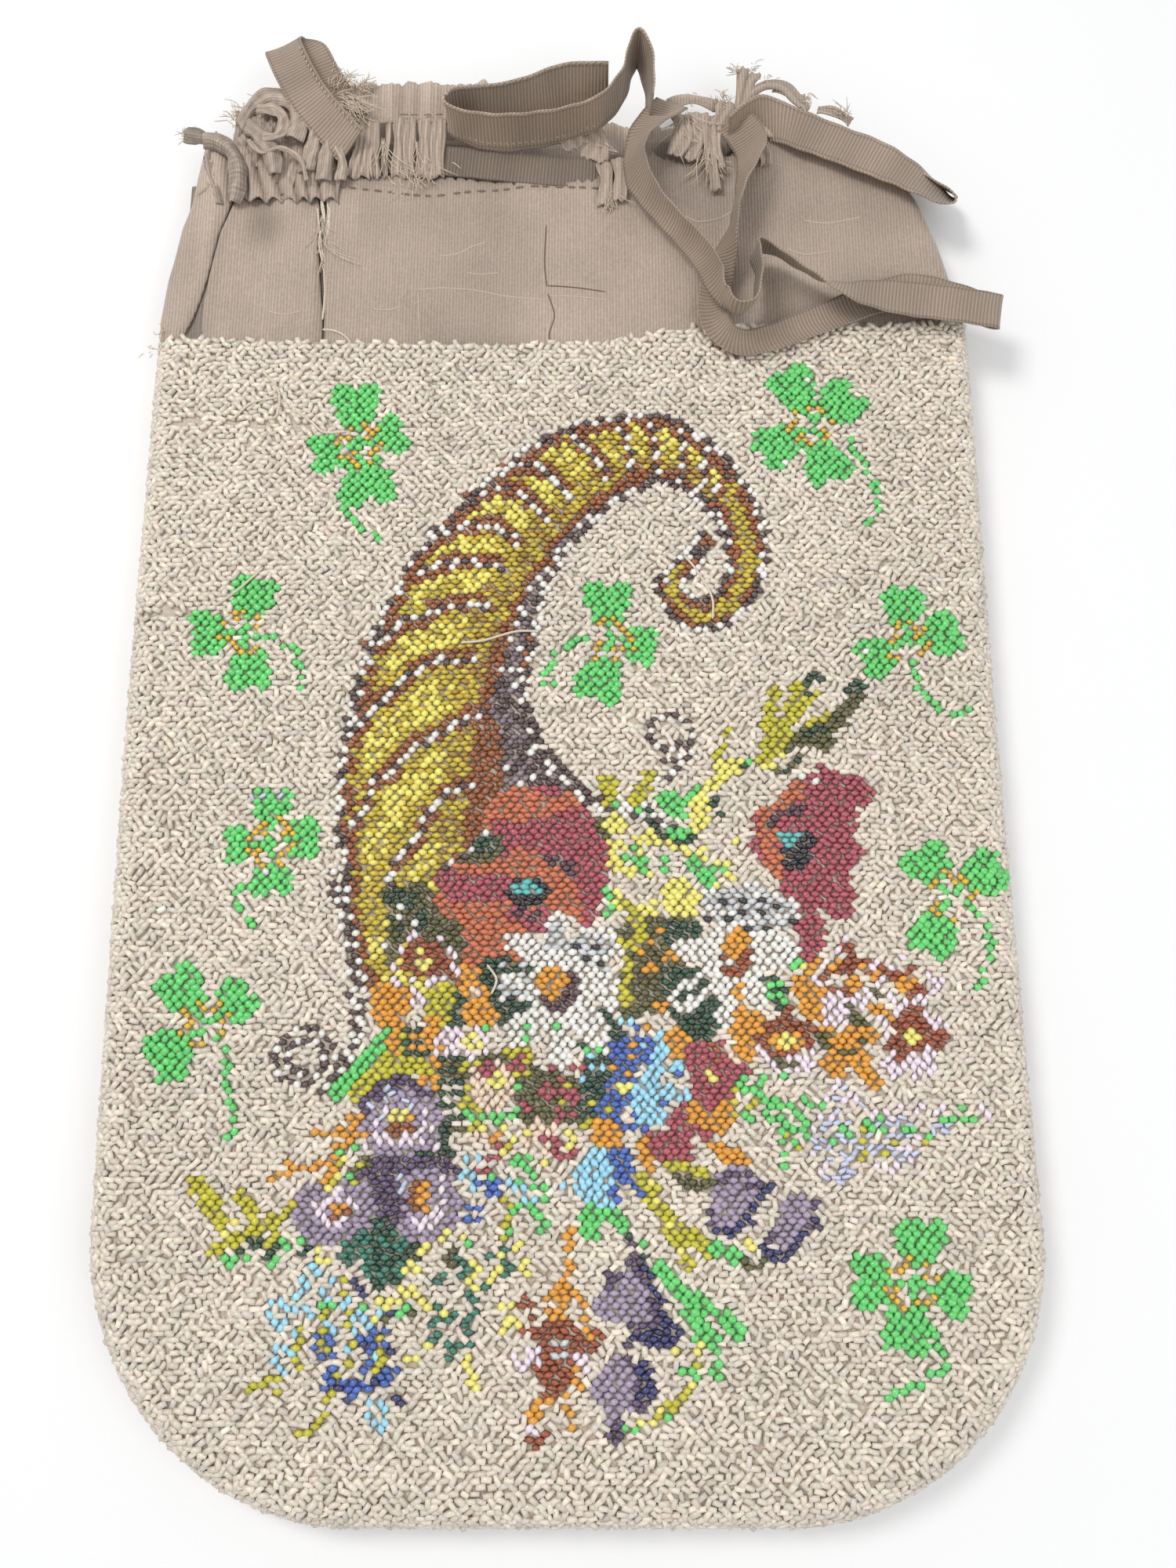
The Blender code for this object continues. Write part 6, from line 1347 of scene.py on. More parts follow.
def cloth(name, places, tone, kept=None, lay=None, wall=0.4, flip=False):
    """A sheet of cloth from a grid of places: its tone, which holds painted light and shade, is stored for
    each corner, and its own millimetres across and along for the weave. The wall is a Solidify of both sides."""
    rows, columns = places.shape[:2]
    faces = grid_faces(rows, columns, kept, flip)
    used, home = np.unique(faces, return_inverse=True)
    faces = home.reshape(faces.shape)
    thing = mesh_piece(name, places.reshape(-1, 3)[used], faces.ravel(), np.full(len(faces), 4))
    value = np.asarray(tone).reshape(-1)[used]
    paint(thing, "tone", np.stack([value, value, value, np.ones_like(value)], 1))
    if lay is None:
        lay = places[..., :2]
    lay = lay.reshape(-1, 2)[used]
    layer = thing.data.uv_layers.new(name="weave")
    corner = np.empty(len(thing.data.loops), np.int32)
    thing.data.loops.foreach_get("vertex_index", corner)
    layer.data.foreach_set("uv", lay[corner].astype(np.float32).ravel())
    shell = thing.modifiers.new("wall", "SOLIDIFY")
    shell.thickness = wall * MM
    shell.offset = 0
    return thing


def ragged(x, rough=1.0):
    """A torn edge's ups and downs along x."""
    return rough * (
        0.7 * np.sin(x * 1.9) * np.sin(x * 0.43 + 1) + 0.5 * np.sin(x * 4.7 + 2) + 0.35 * np.sin(x * 9.1)
    )


def silk_front():
    """Three panels between the sides and the two slits. Each panel's grid follows its own edges and the
    torn upper line, so that what is torn has a clean run of cloth beside it."""
    sides = [
        (LEFT_EDGE, np.stack([LEFT_SLIT[:, 0], LEFT_SLIT[:, 1] - LEFT_SLIT[:, 2]], 1), 26),
        (np.stack([LEFT_SLIT[:, 0], LEFT_SLIT[:, 1] + LEFT_SLIT[:, 2]], 1),
         np.stack([MIDDLE_SLIT[:, 0], MIDDLE_SLIT[:, 1] - MIDDLE_SLIT[:, 2]], 1), 52),
        (np.stack([MIDDLE_SLIT[:, 0], MIDDLE_SLIT[:, 1] + MIDDLE_SLIT[:, 2]], 1), RIGHT_EDGE, 240),
    ]
    panels = []
    for number, (low_side, high_side, columns) in enumerate(sides):
        share = np.linspace(0, 1, columns)[None, :]
        if number == 0:
            share = 1 - np.cos(share * math.pi / 2 * 0.96)
            share = share / share.max()
        if number == 2:
            share = np.sin(share * math.pi / 2 * 0.96)
            share = share / share.max()
        up = np.linspace(0, 1, 64)[:, None]
        high_x = edge_at(low_side, 172) + (edge_at(high_side, 172) - edge_at(low_side, 172)) * share
        top = np.interp(high_x, FRONT_TOP[:, 0], FRONT_TOP[:, 1]) + ragged(high_x)
        y = 119.5 + (top - 119.5) * up
        x = edge_at(low_side, y) + (edge_at(high_side, y) - edge_at(low_side, y)) * share
        z, fold = silk_wall(x, y, 1.0)
        rim = np.minimum(share, 1 - share) * columns / 4
        if number != 0:
            z = z + 0.35 * np.exp(-((share * columns / 3.5) ** 2)) * (y > 128)
        if number != 2:
            z = z - 0.5 * np.exp(-(((1 - share) * columns / 3.5) ** 2))
        # Painted light and shade in the tone: lighter on fold ridges and darker in their valleys, darker
        # along the slits' edges, a painted shadow along the casing line, painted shade in the hollow by the
        # bunched silk and near the ribbons at x 25, y 166, a darker band below the casing and a darker band
        # just above the beads at the mouth.
        tone = 0.98 + 0.16 * np.clip(fold, -1.2, 0.8) - 0.12 * np.exp(-(rim**2)) * (number != 2)
        casing = np.exp(-(((y - 170.5) / 3.6) ** 2)) * (1 / (1 + np.exp((x - 12) / 3))) * (x > -60)
        tone = tone - 0.24 * casing - 0.16 * np.exp(-(((x + 72) / 5) ** 2 + ((y - 157) / 6) ** 2))
        tone = tone - 0.16 * np.exp(-(((y - 166) / 7) ** 2)) * np.exp(-(((x - 25) / 9) ** 2))
        tone = tone - 0.07 * np.exp(-(((y - 160) / 6) ** 2)) * (x > -50)
        tone = tone - 0.1 * np.exp(-(((y - 123) / 3.5) ** 2))
        panels.append(cloth(f"silk_front_{number + 1}", np.stack([x, y, z], -1), tone))
    return joined("silk_front", panels)


def silk_inside():
    """A second layer of the silk, just beneath the front, that shows in the slits, painted dark for the shade
    in them.
    """
    x, y = np.meshgrid(np.linspace(-92, -50, 44), np.linspace(119, 171, 50))
    z = silk_wall(x, y, 1.0)[0] - 1.1 + 0.15 * np.sin(x * 1.3)
    # Painted shade: the layer's tone is dark, as the slits are in shade.
    return cloth("silk_inside", np.stack([x, y, z], -1), 0.56 + 0.07 * np.sin(x * 2.1))


def silk_back():
    """The collar's back wall from side to side: the same folds, closer columns toward both sides, and painted
    shade where it is seen through the torn casing."""
    y = np.linspace(119.5, 186, 46)
    share = 0.5 - 0.5 * np.cos(math.pi * np.linspace(0, 1, 100))
    left, right = edge_at(LEFT_EDGE, y)[:, None], edge_at(RIGHT_EDGE, y)[:, None]
    x = left + (right - left) * share[None, :]
    y = np.broadcast_to(y[:, None], x.shape)
    z, fold = silk_wall(x, y, -1.0)
    z = np.maximum(z, 0.9)
    # Painted shade in the tone: darker in the fold valleys, toward the top, and most behind the torn casing,
    # where the back wall lies in shade.
    torn = np.exp(-(((y - 175) / 8) ** 4)) * (x > -56) * (x < 14)
    tone = 0.95 + 0.12 * np.clip(fold, -1, 0.8) - 0.3 * np.exp(-(((y - 177) / 9) ** 2)) - 0.34 * torn
    return cloth("silk_back", np.stack([x, y, z], -1), tone, None, None, 0.4, True)


def heading(name, face, text_top, span):
    """The gathered band above the casing: a wave across, small loops along its upper edge."""
    top = places_of(text_top)
    x = np.linspace(span[0], span[1], int((span[1] - span[0]) / 0.55))
    share = np.linspace(0, 1, 12)
    low = 184.3
    high = np.interp(x, top[:, 0], top[:, 1]) + 0.8 * np.abs(np.sin(x * 0.37)) ** 0.5 + ragged(x, 0.3)
    y = low + (high - low)[None, :] * share[:, None]
    x = np.broadcast_to(x, y.shape)
    wave = 0.5 * np.sin(x * 1.1 + 1.4 * np.sin(x / 3.1)) + 0.4 * np.sin(x * 0.52) + 0.2 * np.sin(x * 3.3)
    wave = wave * (0.45 + 0.55 * share[:, None])
    z = MIDDLE_Z + face * (4.4 + wave + 0.5 * share[:, None])
    # Painted light and shade: the tone is lighter on the wave's crests and toward the upper edge, darker in
    # its troughs.
    tone = 0.98 + 0.22 * wave + 0.3 * share[:, None] ** 3
    return cloth(name, np.stack([x, y, z], -1), tone, None, None, 0.35, face < 0)


# Each strip of the casing: its middle, its width and how far it leans to the right
STRIPS = ((-50.4, 5.4, 2.0), (-46.0, 2.2, -0.6), (-43.9, 1.0, 0.5), (-39.6, 5.6, 0.2), (-33.2, 6.8, 0.4))


def casing_strips():
    """What is left of the gathered casing: strips pleated along their length and drawn in at the middle."""
    places, tones = [], []
    for middle, width, lean_ in STRIPS:
        across = np.linspace(-1, 1, 22)[None, :]
        up = np.linspace(0, 1, 16)[:, None]
        waist = 1 - 0.1 * np.sin(math.pi * up) ** 2
        x = middle + across * width / 2 * waist + lean_ * np.sin(2.2 * up) + 0.2 * np.sin(9 * up + across * 3)
        y = 169.4 + 16.6 * up + 0.5 * np.sin(across * 5 + middle) * (1 - up)
        pleat = 0.3 * np.sin(across * width * 1.9 + 0.8 * up) + 0.16 * np.sin(across * width * 0.9 + middle)
        z = 9.6 + 1.5 * np.sin(math.pi * up) + pleat + 0 * x
        places.append(np.stack([x, y + 0 * x, z], -1))
        # Painted shade: the tone follows the pleats, lighter on their crests and darker in their valleys.
        tones.append(0.98 + 0.42 * pleat + 0.14 * np.sin(across * width * 4.4 + up) + 0 * x)
    return [
        cloth(f"casing_strip_{'abcde'[k]}", grid, tone, None, None, 0.35)
        for k, (grid, tone) in enumerate(zip(places, tones))
    ]


def strip_of(line, width, count):
    """The middle, the flat grid and the facing of a strip along stations of place, bearing and tilt."""
    bearing, tilt = np.radians(line[:, 3]), np.radians(line[:, 4])
    across_way = np.stack([np.cos(tilt) * np.cos(bearing), np.cos(tilt) * np.sin(bearing), np.sin(tilt)], 1)
    middle = np.stack([line[:, 0], line[:, 1], TOP_Z + line[:, 2]], 1)
    run = np.concatenate([[0], np.cumsum(np.linalg.norm(np.diff(middle, axis=0), axis=1))])
    across = np.linspace(-0.5, 0.5, count) * width
    places = middle[:, None, :] + across_way[:, None, :] * across[None, :, None]
    face = np.cross(across_way, np.gradient(middle, axis=0))
    face /= np.linalg.norm(face, axis=1, keepdims=True) + 1e-9
    face *= np.where(face[:, 2:] < 0, -1, 1)
    return (middle, places, face), run


# The scrunched casing at the left: each scrap's width, how far it curls and its tone, then x, y, height
# above the beads, bearing and tilt of its width along its run
SCRAPS = [
    (3.6, 0.7, 0.6, "-92.4 180.8 -0.6 70 20, -89 179.6 -0.2 50 10, -86 178 -0.4 10 -10, "
                    "-83.4 175.8 -1 -30 -20"),
    (3.8, 1.6, 0.9, "-87 178.2 0.4 80 0, -83.6 177.2 1.0 60 10, -80.4 174.4 1.3 30 10, -78.8 170 1.2 5 0, "
                    "-78.6 165.6 0.5 -8 0, -79.4 161.8 -0.7 -14 0"),
    (2.4, 0.5, 0.7, "-86.6 175 -0.6 20 0, -85.6 170.6 -0.6 20 10, -84.4 166 -0.7 10 20, "
                    "-83.4 161.6 -0.9 0 10"),
    (4.4, 0.8, 0.94, "-78.8 181.6 0.4 120 10, -76.4 186.4 1.6 95 30, -71.4 188.6 2.4 80 10, "
                     "-66.6 186.6 2.6 50 -20, -64.2 182 2.6 20 -10, -65.6 176.8 2.6 -20 0"),
    (4.0, 0.7, 0.86, "-76.8 180.6 2.2 60 30, -73.4 177.6 3.0 50 0, -70.6 173.4 2.6 30 -20, "
                     "-69.6 168.4 1.2 10 0"),
    (3.0, 0.6, 1.02, "-74.4 184.8 3.0 70 20, -70.4 184.4 3.4 80 0, -67.8 181.6 3.4 40 -30, "
                     "-68.6 177.6 3.2 -20 -10, -72.6 176.6 3.2 -80 10"),
    (3.4, 0.6, 0.98, "-62.8 190 1.2 10 10, -61.6 185.6 2.2 10 20, -60.6 180 2.0 5 -20, "
                     "-61.4 174.6 1.2 -10 0, -62.6 169.6 0.6 10 0"),
    (3.2, 0.7, 0.9, "-58.6 186 1.0 -10 0, -57.6 180 1.4 -5 30, -57.8 174 1.2 5 0, -58.4 167.4 0.2 0 0"),
    (2.4, 0.5, 1.0, "-55.4 180 1.0 -5 0, -55 175.6 1.4 0 20, -53.8 171.6 1.0 5 0, -54.4 167.4 0.2 0 0"),
    (1.0, 0.2, 1.1, "-76 176 3.2 20 0, -72.6 172.6 3.4 30 20, -68 173.8 3.4 60 0, -63.6 171.4 2.6 40 0, "
                    "-62 166.4 1.4 10 0"),
]


def crumple(x, y, turn):
    """Creases of crushed silk: sharp valleys of three wandering sines, from about -1 to 1."""
    first = np.abs(np.sin(0.66 * x + 0.9 * np.sin(0.45 * y + turn))) ** 0.7
    second = np.abs(np.sin(0.6 * y - 0.38 * x + 1.1 * np.sin(0.5 * x + 2 * turn))) ** 0.7
    return 1.1 * (first - 0.62) + 0.8 * (second - 0.62) + 0.2 * np.sin(2.3 * x + 1.7 * y + turn)


# Each lump of crushed silk: its middle, its width and height, and the height of its foot
LUMPS = ((-70, 182.6, 15, 15, 11.2), (-76.4, 177.4, 9, 11, 10.6), (-60.6, 184, 8, 9, 10.8))


def bunched_silk():
    """A gathered base with sharp valleys, two crushed lumps over it, and curled scraps on top."""
    a = np.linspace(0, 1, 76)[None, :]
    b = np.linspace(0, 1, 42)[:, None]
    x = -80 + 25.5 * a - 1.5 * (b - 0.3) * (1 - a) + 0.4 * np.sin(9 * b + 4 * a)
    y = 162.2 + 1.4 * np.abs(np.sin(22 * a)) * (1 - b) + (23.5 + 1.6 * np.sin(9 * a + 1)) * b
    y = y + ragged(x, 0.5) * b
    ridge = np.abs(np.sin(22 * a + 0.9 * np.sin(3 * b) + 0.6 * np.sin(9 * a))) ** 0.6
    fine = 0.3 * np.sin(61 * a - 5 * b) + 0.3 * np.sin(15 * b + 9 * a)
    z = 9.2 + 1.9 * ridge * (0.3 + 0.7 * np.sin(math.pi * (0.1 + 0.8 * b))) + 0.5 * fine
    # Painted shade: the base is lighter on its ridges and darker in its valleys.
    tone = 0.56 + 0.42 * ridge + 0.12 * fine
    pieces = [cloth("bunched_base", np.stack([x, y, z], -1), tone, None, None, 0.35)]
    for number, (cx, cy, wide, tall, base) in enumerate(LUMPS):
        a, b = np.meshgrid(np.linspace(-1, 1, 44), np.linspace(-1, 1, 40))
        x = cx + wide / 2 * a * (1 - 0.2 * b**2) + 0.5 * np.sin(4 * b + number)
        y = cy + tall / 2 * b * (1 - 0.2 * a**2) + 0.6 * np.sin(7 * a + number)
        dome = np.sqrt(np.clip(1 - 0.9 * (a**2 + b**2) / 1.6, 0, 1))
        creases = crumple(x * 1.5, y * 1.5, 1.3 * number)
        z = base - 1.4 + 2.2 * dome + 0.75 * creases * dome
        # Painted shade: each lump is darker in its creases and lighter on their ridges.
        tone = 0.8 + 0.3 * creases
        pieces.append(cloth(f"bunched_lump_{number + 1}", np.stack([x, y, z], -1), tone, None, None, 0.35))
    for number, (width, curl, shade, text) in enumerate(SCRAPS):
        line = smoothed(places_of(text), 9)
        (middle, flat, face), run = strip_of(line, width, 13)
        share = np.linspace(-1, 1, 13)[None, :]
        along = run[:, None]
        wrinkle = 0.2 * np.sin(share * 5 + number + 1.4 * np.sin(along / 2.7))
        wrinkle = wrinkle + 0.12 * np.sin(along * 1.9 + share * 3)
        taper = 1 + 0.18 * np.sin(along / 2.3 + number) + 0.1 * np.sin(along + 2 * number)
        flat = middle[:, None, :] + (flat - middle[:, None, :]) * taper[..., None]
        places = flat + face[:, None, :] * (curl * (1 - share**2) + wrinkle)[..., None]
        # Painted light and shade: each scrap is lighter along its curled middle and follows its wrinkles, and
        # the second scrap has painted light and dark bands across its rolled ribs.
        tone = shade * (0.84 + 0.2 * (1 - share**2) + 0.7 * wrinkle)
        lay = np.stack(np.broadcast_arrays(share * width * 0.7, along * 0.8), -1)
        if number == 1:
            tone = tone * (0.86 + 0.24 * np.sin(along * 7.2))
        pieces.append(cloth(f"bunched_scrap_{number + 1}", places, tone, None, lay, 0.3))
    return pieces


# The ribbon's free loops: x, y, height above the beads, bearing and tilt of its width
RIBBONS = {
    "left_loop": [
        (-51.6, 175, 2.4, 44, 25), (-57.8, 181.6, 4.0, 36, 20), (-61.8, 186.8, 4.6, 30, 12),
        (-65.1, 192.6, 5.0, 27, 6), (-67.8, 198.6, 4.6, 27, 0), (-69.0, 202.4, 3.4, 28, 0),
        (-67.6, 203.6, 2.0, 28, 0), (-63.6, 202.6, 1.2, 20, 8), (-60.2, 196.6, 0.8, 16, 8),
        (-56.2, 190, 0.4, 24, 0), (-52.4, 184.4, 0.2, 34, 0),
    ],
    "middle_loop": [
        (19.8, 184, 4.2, 10, 84), (19.6, 192, 5.0, 20, 80), (18.4, 197.2, 5.4, 30, 78),
        (16.6, 200.0, 5.5, 80, 80), (14.8, 196.5, 5.4, 146, 84), (12.8, 189.4, 5.2, 130, 86),
        (7.5, 182.4, 5.2, 112, 86), (0, 179.0, 5.2, 98, 84), (-7, 177.4, 5.2, 90, 82),
        (-14.5, 176.6, 5.2, 90, 80), (-21, 177.2, 5.2, 86, 82), (-26.8, 179.2, 5.2, 76, 88),
        (-28.8, 181.6, 5.2, 60, 88), (-26.5, 183.6, 5.2, 90, 80), (-17, 184, 5.0, 90, 62),
        (-9.6, 186, 4.8, 94, 56), (-3.4, 188.8, 4.8, 96, 56), (1.6, 190, 4.8, 90, 56),
        (9.6, 190.2, 4.8, 90, 60),
    ],
    "long_loop": [
        (25.0, 187.4, 2.0, -32, 10), (19.0, 181.0, 2.8, -25, 30), (16.2, 174.0, 3.4, 0, 54),
        (16.0, 168.0, 3.8, 20, 58), (18.4, 162.0, 4.2, 38, 62), (22.4, 156.0, 4.4, 40, 66),
        (27.0, 150.0, 4.6, 38, 66), (30.9, 144.0, 5.6, 14, 58), (33.4, 138.0, 6.6, 10, 60),
        (35.4, 132.4, 7.2, 40, 84), (38.0, 128.4, 7.4, 80, 104), (41.6, 129.2, 7.4, 110, 106),
        (43.4, 134.0, 7.4, 150, 96), (43.8, 140.0, 7.0, 150, 92), (43.2, 144.6, 6.6, 110, 100),
        (46.6, 144.4, 6.4, 76, 112), (52.0, 140.6, 6.4, 60, 116), (58.0, 136.6, 6.2, 62, 122),
        (64.0, 134.4, 5.6, 74, 145), (71.0, 133.8, 4.6, 80, 168), (79.0, 133.0, 4.0, 82, 180),
        (88.6, 131.8, 3.8, 80, 180), (97.6, 130.6, 3.4, 80, 180), (99.6, 130.8, 2.2, 80, 180),
        (97.0, 132.0, 1.2, 80, 180), (88.0, 135.6, 0.8, 78, 180), (80.0, 137.4, 0.8, 88, 180),
        (72.0, 135.6, 0.8, 104, 180), (64.0, 132.2, 0.8, 114, 180), (54.0, 127.8, 0.8, 114, 180),
        (46.0, 124.6, 0.9, 108, 180), (39.8, 123.6, 1.0, 88, 182), (35.6, 126.4, 1.4, 50, 186),
        (33.6, 131.8, 1.2, 14, 184), (34.6, 138.6, 1.0, -6, 186), (36.4, 145.6, 2.2, -14, 220),
        (38.6, 152.4, 4.6, -14, 256), (40.4, 160.0, 4.8, -12, 258), (42.4, 167.4, 4.2, -4, 240),
        (43.6, 173.6, 3.2, 10, 222), (42.2, 178.8, 2.2, 24, 204), (39.6, 182.8, 1.4, 30, 190),
    ],
    "right_loop": [
        (38.4, 179.2, 1.0, 96, 70), (42.7, 182.7, 1.0, 100, 62), (46.4, 184.0, 1.2, 100, 46),
        (50.6, 183.0, 1.2, 88, 14), (56.6, 180.2, 1.2, 68, 4), (64.6, 176.6, 1.2, 64, 0),
        (72.6, 173.0, 1.2, 62, 0), (79.4, 169.2, 1.0, 60, -10), (85.0, 165.4, 0.6, 60, -24),
        (89.6, 162.8, -0.4, 62, -36), (92.4, 163.2, -1.6, 66, -44), (92.8, 166.0, -2.8, 70, -48),
        (89.0, 169.8, -3.6, 70, -52), (83.6, 174.0, -4.4, 70, -53), (77.8, 178.8, -4.8, 70, -54),
        (72.8, 182.2, -5.0, 70, -54),
    ],
}
CASING_RIBBON = [(-47, 174.6, -1.2, 90, 6), (-30, 173.8, -1.0, 86, 6), (-14, 172, -1.0, 84, 6),
                 (0, 170.6, -1.0, 86, 6), (12, 170, -1.4, 90, 6)]
RIBBON_WIDTH = 10.0
RIBBON_COLUMNS = 11
LOOP_WIDTHS = {"left_loop": 9.4, "long_loop": 8.8}
CASING_WIDTH = 7.4
# Where along a loop its edges curl in, in millimetres, and the share of its width that is left
NO_CURL = ((0, 1),)
LONG_CURL = ((0, 1), (24, 1), (34, 0.82), (52, 0.8), (64, 0.9), (76, 1), (168, 1), (184, 0.86), (198, 0.76),
             (216, 0.74), (228, 0.8), (242, 0.9), (262, 1))


def ribbon_shape(stations, width, curl=NO_CURL):
    """A ribbon's grid, a little cupped and rippled, and narrower where its edges curl in."""
    line = smoothed(stations, 7)
    (middle, places, face), run = strip_of(line, width, RIBBON_COLUMNS)
    across = np.linspace(-0.5, 0.5, RIBBON_COLUMNS) * width
    share = np.interp(run, *np.transpose(curl))
    places = middle[:, None, :] + (places - middle[:, None, :]) * share[:, None, None]
    cup = (0.25 + 4 * (1 - share[:, None])) * ((across / width * 2) ** 2 - 0.4)
    ripple = 0.12 * np.sin(run[:, None] * 0.9 + across[None, :] * 0.4)
    places = places + face[:, None, :] * (cup + ripple)[..., None]
    return places, across, run


def ribbon(name, stations, width=RIBBON_WIDTH, tone=1.0, curl=NO_CURL):
    """A flat ribbon along its stations, with its own millimetres for the ribs."""
    places, across, run = ribbon_shape(stations, width, curl)
    lay = np.stack(np.broadcast_arrays(across[None, :], run[:, None]), -1)
    waves = 1.0 + 0.07 * np.sin(run[:, None] / 5.0) + 0.05 * np.sin(run[:, None] / 1.9)
    shade = tone * (waves + 0 * across[None, :])
    return cloth(name, places, shade, None, lay, 0.4), run[-1]


def ribbon_seam(stations, width, at, first, last):
    """Short slanting stitches along a ribbon, at a place across it, from one share of its run to another."""
    places, across, run = ribbon_shape(stations, width)
    lines = []
    for start in np.arange(run[-1] * first, run[-1] * last, 1.5):
        stitch = []
        for step, shift in ((0, -0.3), (0.5, 0.0), (1.0, 0.3)):
            row = [[np.interp(start + step, run, places[:, k, axis]) for axis in range(3)]
                   for k in range(len(across))]
            row = np.array(row)
            stitch.append([np.interp(at + shift, across, row[:, axis]) for axis in range(3)])
        stitch = np.array(stitch)
        stitch[:, 2] += (0.36, 0.5, 0.36)
        lines.append(stitch)
    return lines


# Threads

THREADS = [
    "-70 117, -66 112, -66 106, -68 105", "-76 105, -72 109, -66 110.4",
    "-63 108, -58 104, -55 101.5, -50 101.8", "-67 69, -72 64, -77 60", "-23 51.5, -18 52, -11 54, -6 54",
    "26 72, 29 68, 32 62, 32 57", "-16 -18, -14 -21, -15 -24",
]
SILK_THREADS = [
    "-57 128.5, -54.4 128.2, -52 127, -50.6 125.4, -50 123.6",
    "85 134, 85.6 132, 88 131, 91 131, 92.4 130.4", "84 133, 86 130.6, 90 130.4",
    "-58.9 163.6, -58.0 158, -58.9 152, -57.9 146.6", "-57.6 162.8, -56.9 156.4, -57.6 150.8, -57.3 146",
    "-58.4 168, -58.9 162, -57.4 154.8, -57.9 148.4", "-59.8 161, -59.1 156.2, -58.4 150.6",
    "-56.9 166.4, -57.6 163, -56.8 159.8, -57.7 155.2", "-58.1 148, -57.3 143, -56.9 137, -57.1 131",
]
STITCH_LINES = [
    ("-56 167.2, -48 166.4, -39.5 165, -32 164.8, -22 166, -14.6 166.4, -7 167, 2 166.4, 8 166.2", 3.1),
    ("-78 163.6, -69.5 164.4, -61 166", 2.7),
    ("-41.6 185.9, -36 185.7, -29 185.9", 3.0),
]
# Creases in the collar: fine raised folds in a paler thread, a painted highlight on their ridges, and cracks
# drawn as dark threads, a painted shade in them
CREASES = [
    "-35.1 139.1, -30 139.6, -26.5 139.5, -21.6 139.1, -14.2 137.5, -5 136.4",
    "-45.4 134, -42 133.7, -38.6 134.7",
    "-30.4 148.3, -26 149, -22.6 151, -19.4 152.1", "-4.2 137.4, 2 137.2, 9.6 136.2",
    "-35.1 138.8, -34.7 132, -34.2 125.6", "-3.9 131.4, -4.7 127.6, -4.5 125",
    "-24 144, -21 143.4, -16 143.8",
    "28 159.4, 31 157.6, 36 158.4, 39 160.4",
    "52 150, 56 148.6, 62 149.4", "56 158, 62 157.2, 70 159", "-70 133.4, -66 132.6, -62 133.6",
]
CRACKS = [
    "-5.2 156.7, -5.5 146.5, -4.9 140", "-4.7 138.1, -3.4 134, -3.2 131.4, -4.2 127.6, -4 124.6",
    "-5 140.2, 1.7 139.6, 9 138.4", "-56.6 124.4, -56.7 132, -57.5 139, -57.9 145",
]


def tubes(name, lines, thickness, sides=5):
    """Round threads along their curves, closed at both ends and drawn thinner there."""
    places, corners, sizes, so_far = [], [], [], 0
    for line in lines:
        line = np.asarray(line, float)
        ahead = np.gradient(line, axis=0)
        ahead /= np.linalg.norm(ahead, axis=1, keepdims=True) + 1e-9
        side = np.cross(ahead, (0.13, 0.09, 1.0))
        side /= np.linalg.norm(side, axis=1, keepdims=True) + 1e-9
        up = np.cross(side, ahead)
        count = len(line)
        from_end = np.minimum(np.arange(count), np.arange(count)[::-1])
        thin = thickness / 2 * np.clip(from_end * 0.8 + 0.35, 0, 1)
        for k in range(count):
            for n in range(sides):
                angle = 2 * math.pi * n / sides
                places.append(line[k] + thin[k] * (side[k] * math.cos(angle) + up[k] * math.sin(angle)))
        for k in range(count - 1):
            for n in range(sides):
                a, b = so_far + k * sides + n, so_far + k * sides + (n + 1) % sides
                corners += [a, b, b + sides, a + sides]
                sizes.append(4)
        last = so_far + (count - 1) * sides
        corners += list(range(so_far + sides - 1, so_far - 1, -1)) + list(range(last, last + sides))
        sizes += [sides, sides]
        so_far += count * sides
    return mesh_piece(name, np.array(places), corners, sizes)


def lifted(text, steps, height):
    """A curve on the chart raised to a height above the floor at each place."""
    line = smoothed(places_of(text), steps)
    return np.column_stack([line, height(line[:, 0], line[:, 1])])


def over_beads(x, y):
    """Just above the ground beads."""
    return TOP_Z + 0.15 + swell(x - lean(y), y)


def over_silk(x, y):
    """Just above the front of the collar."""
    return silk_wall(x, y, 1.0)[0] + 0.35


def stitches():
    """Running stitches: short arched threads along each line, one to a step, with gaps between them."""
    lines = []
    for text, step in STITCH_LINES:
        line = smoothed(places_of(text), 8)
        run = np.concatenate([[0], np.cumsum(np.hypot(*np.diff(line, axis=0).T))])
        for at in np.arange(0.4, run[-1] - step * 0.6, step):
            at = at + chance.normal(0, 0.25)
            part = np.linspace(at, at + step * chance.uniform(0.45, 0.75), 5)
            x, y = np.interp(part, run, line[:, 0]), np.interp(part, run, line[:, 1])
            rise = np.where(y > 180, 10.9, over_silk(x, y))
            lines.append(np.column_stack([x, y, rise + 0.25 * np.sin(np.linspace(0, math.pi, 5))]))
    return tubes("running_stitches", lines, 0.34)


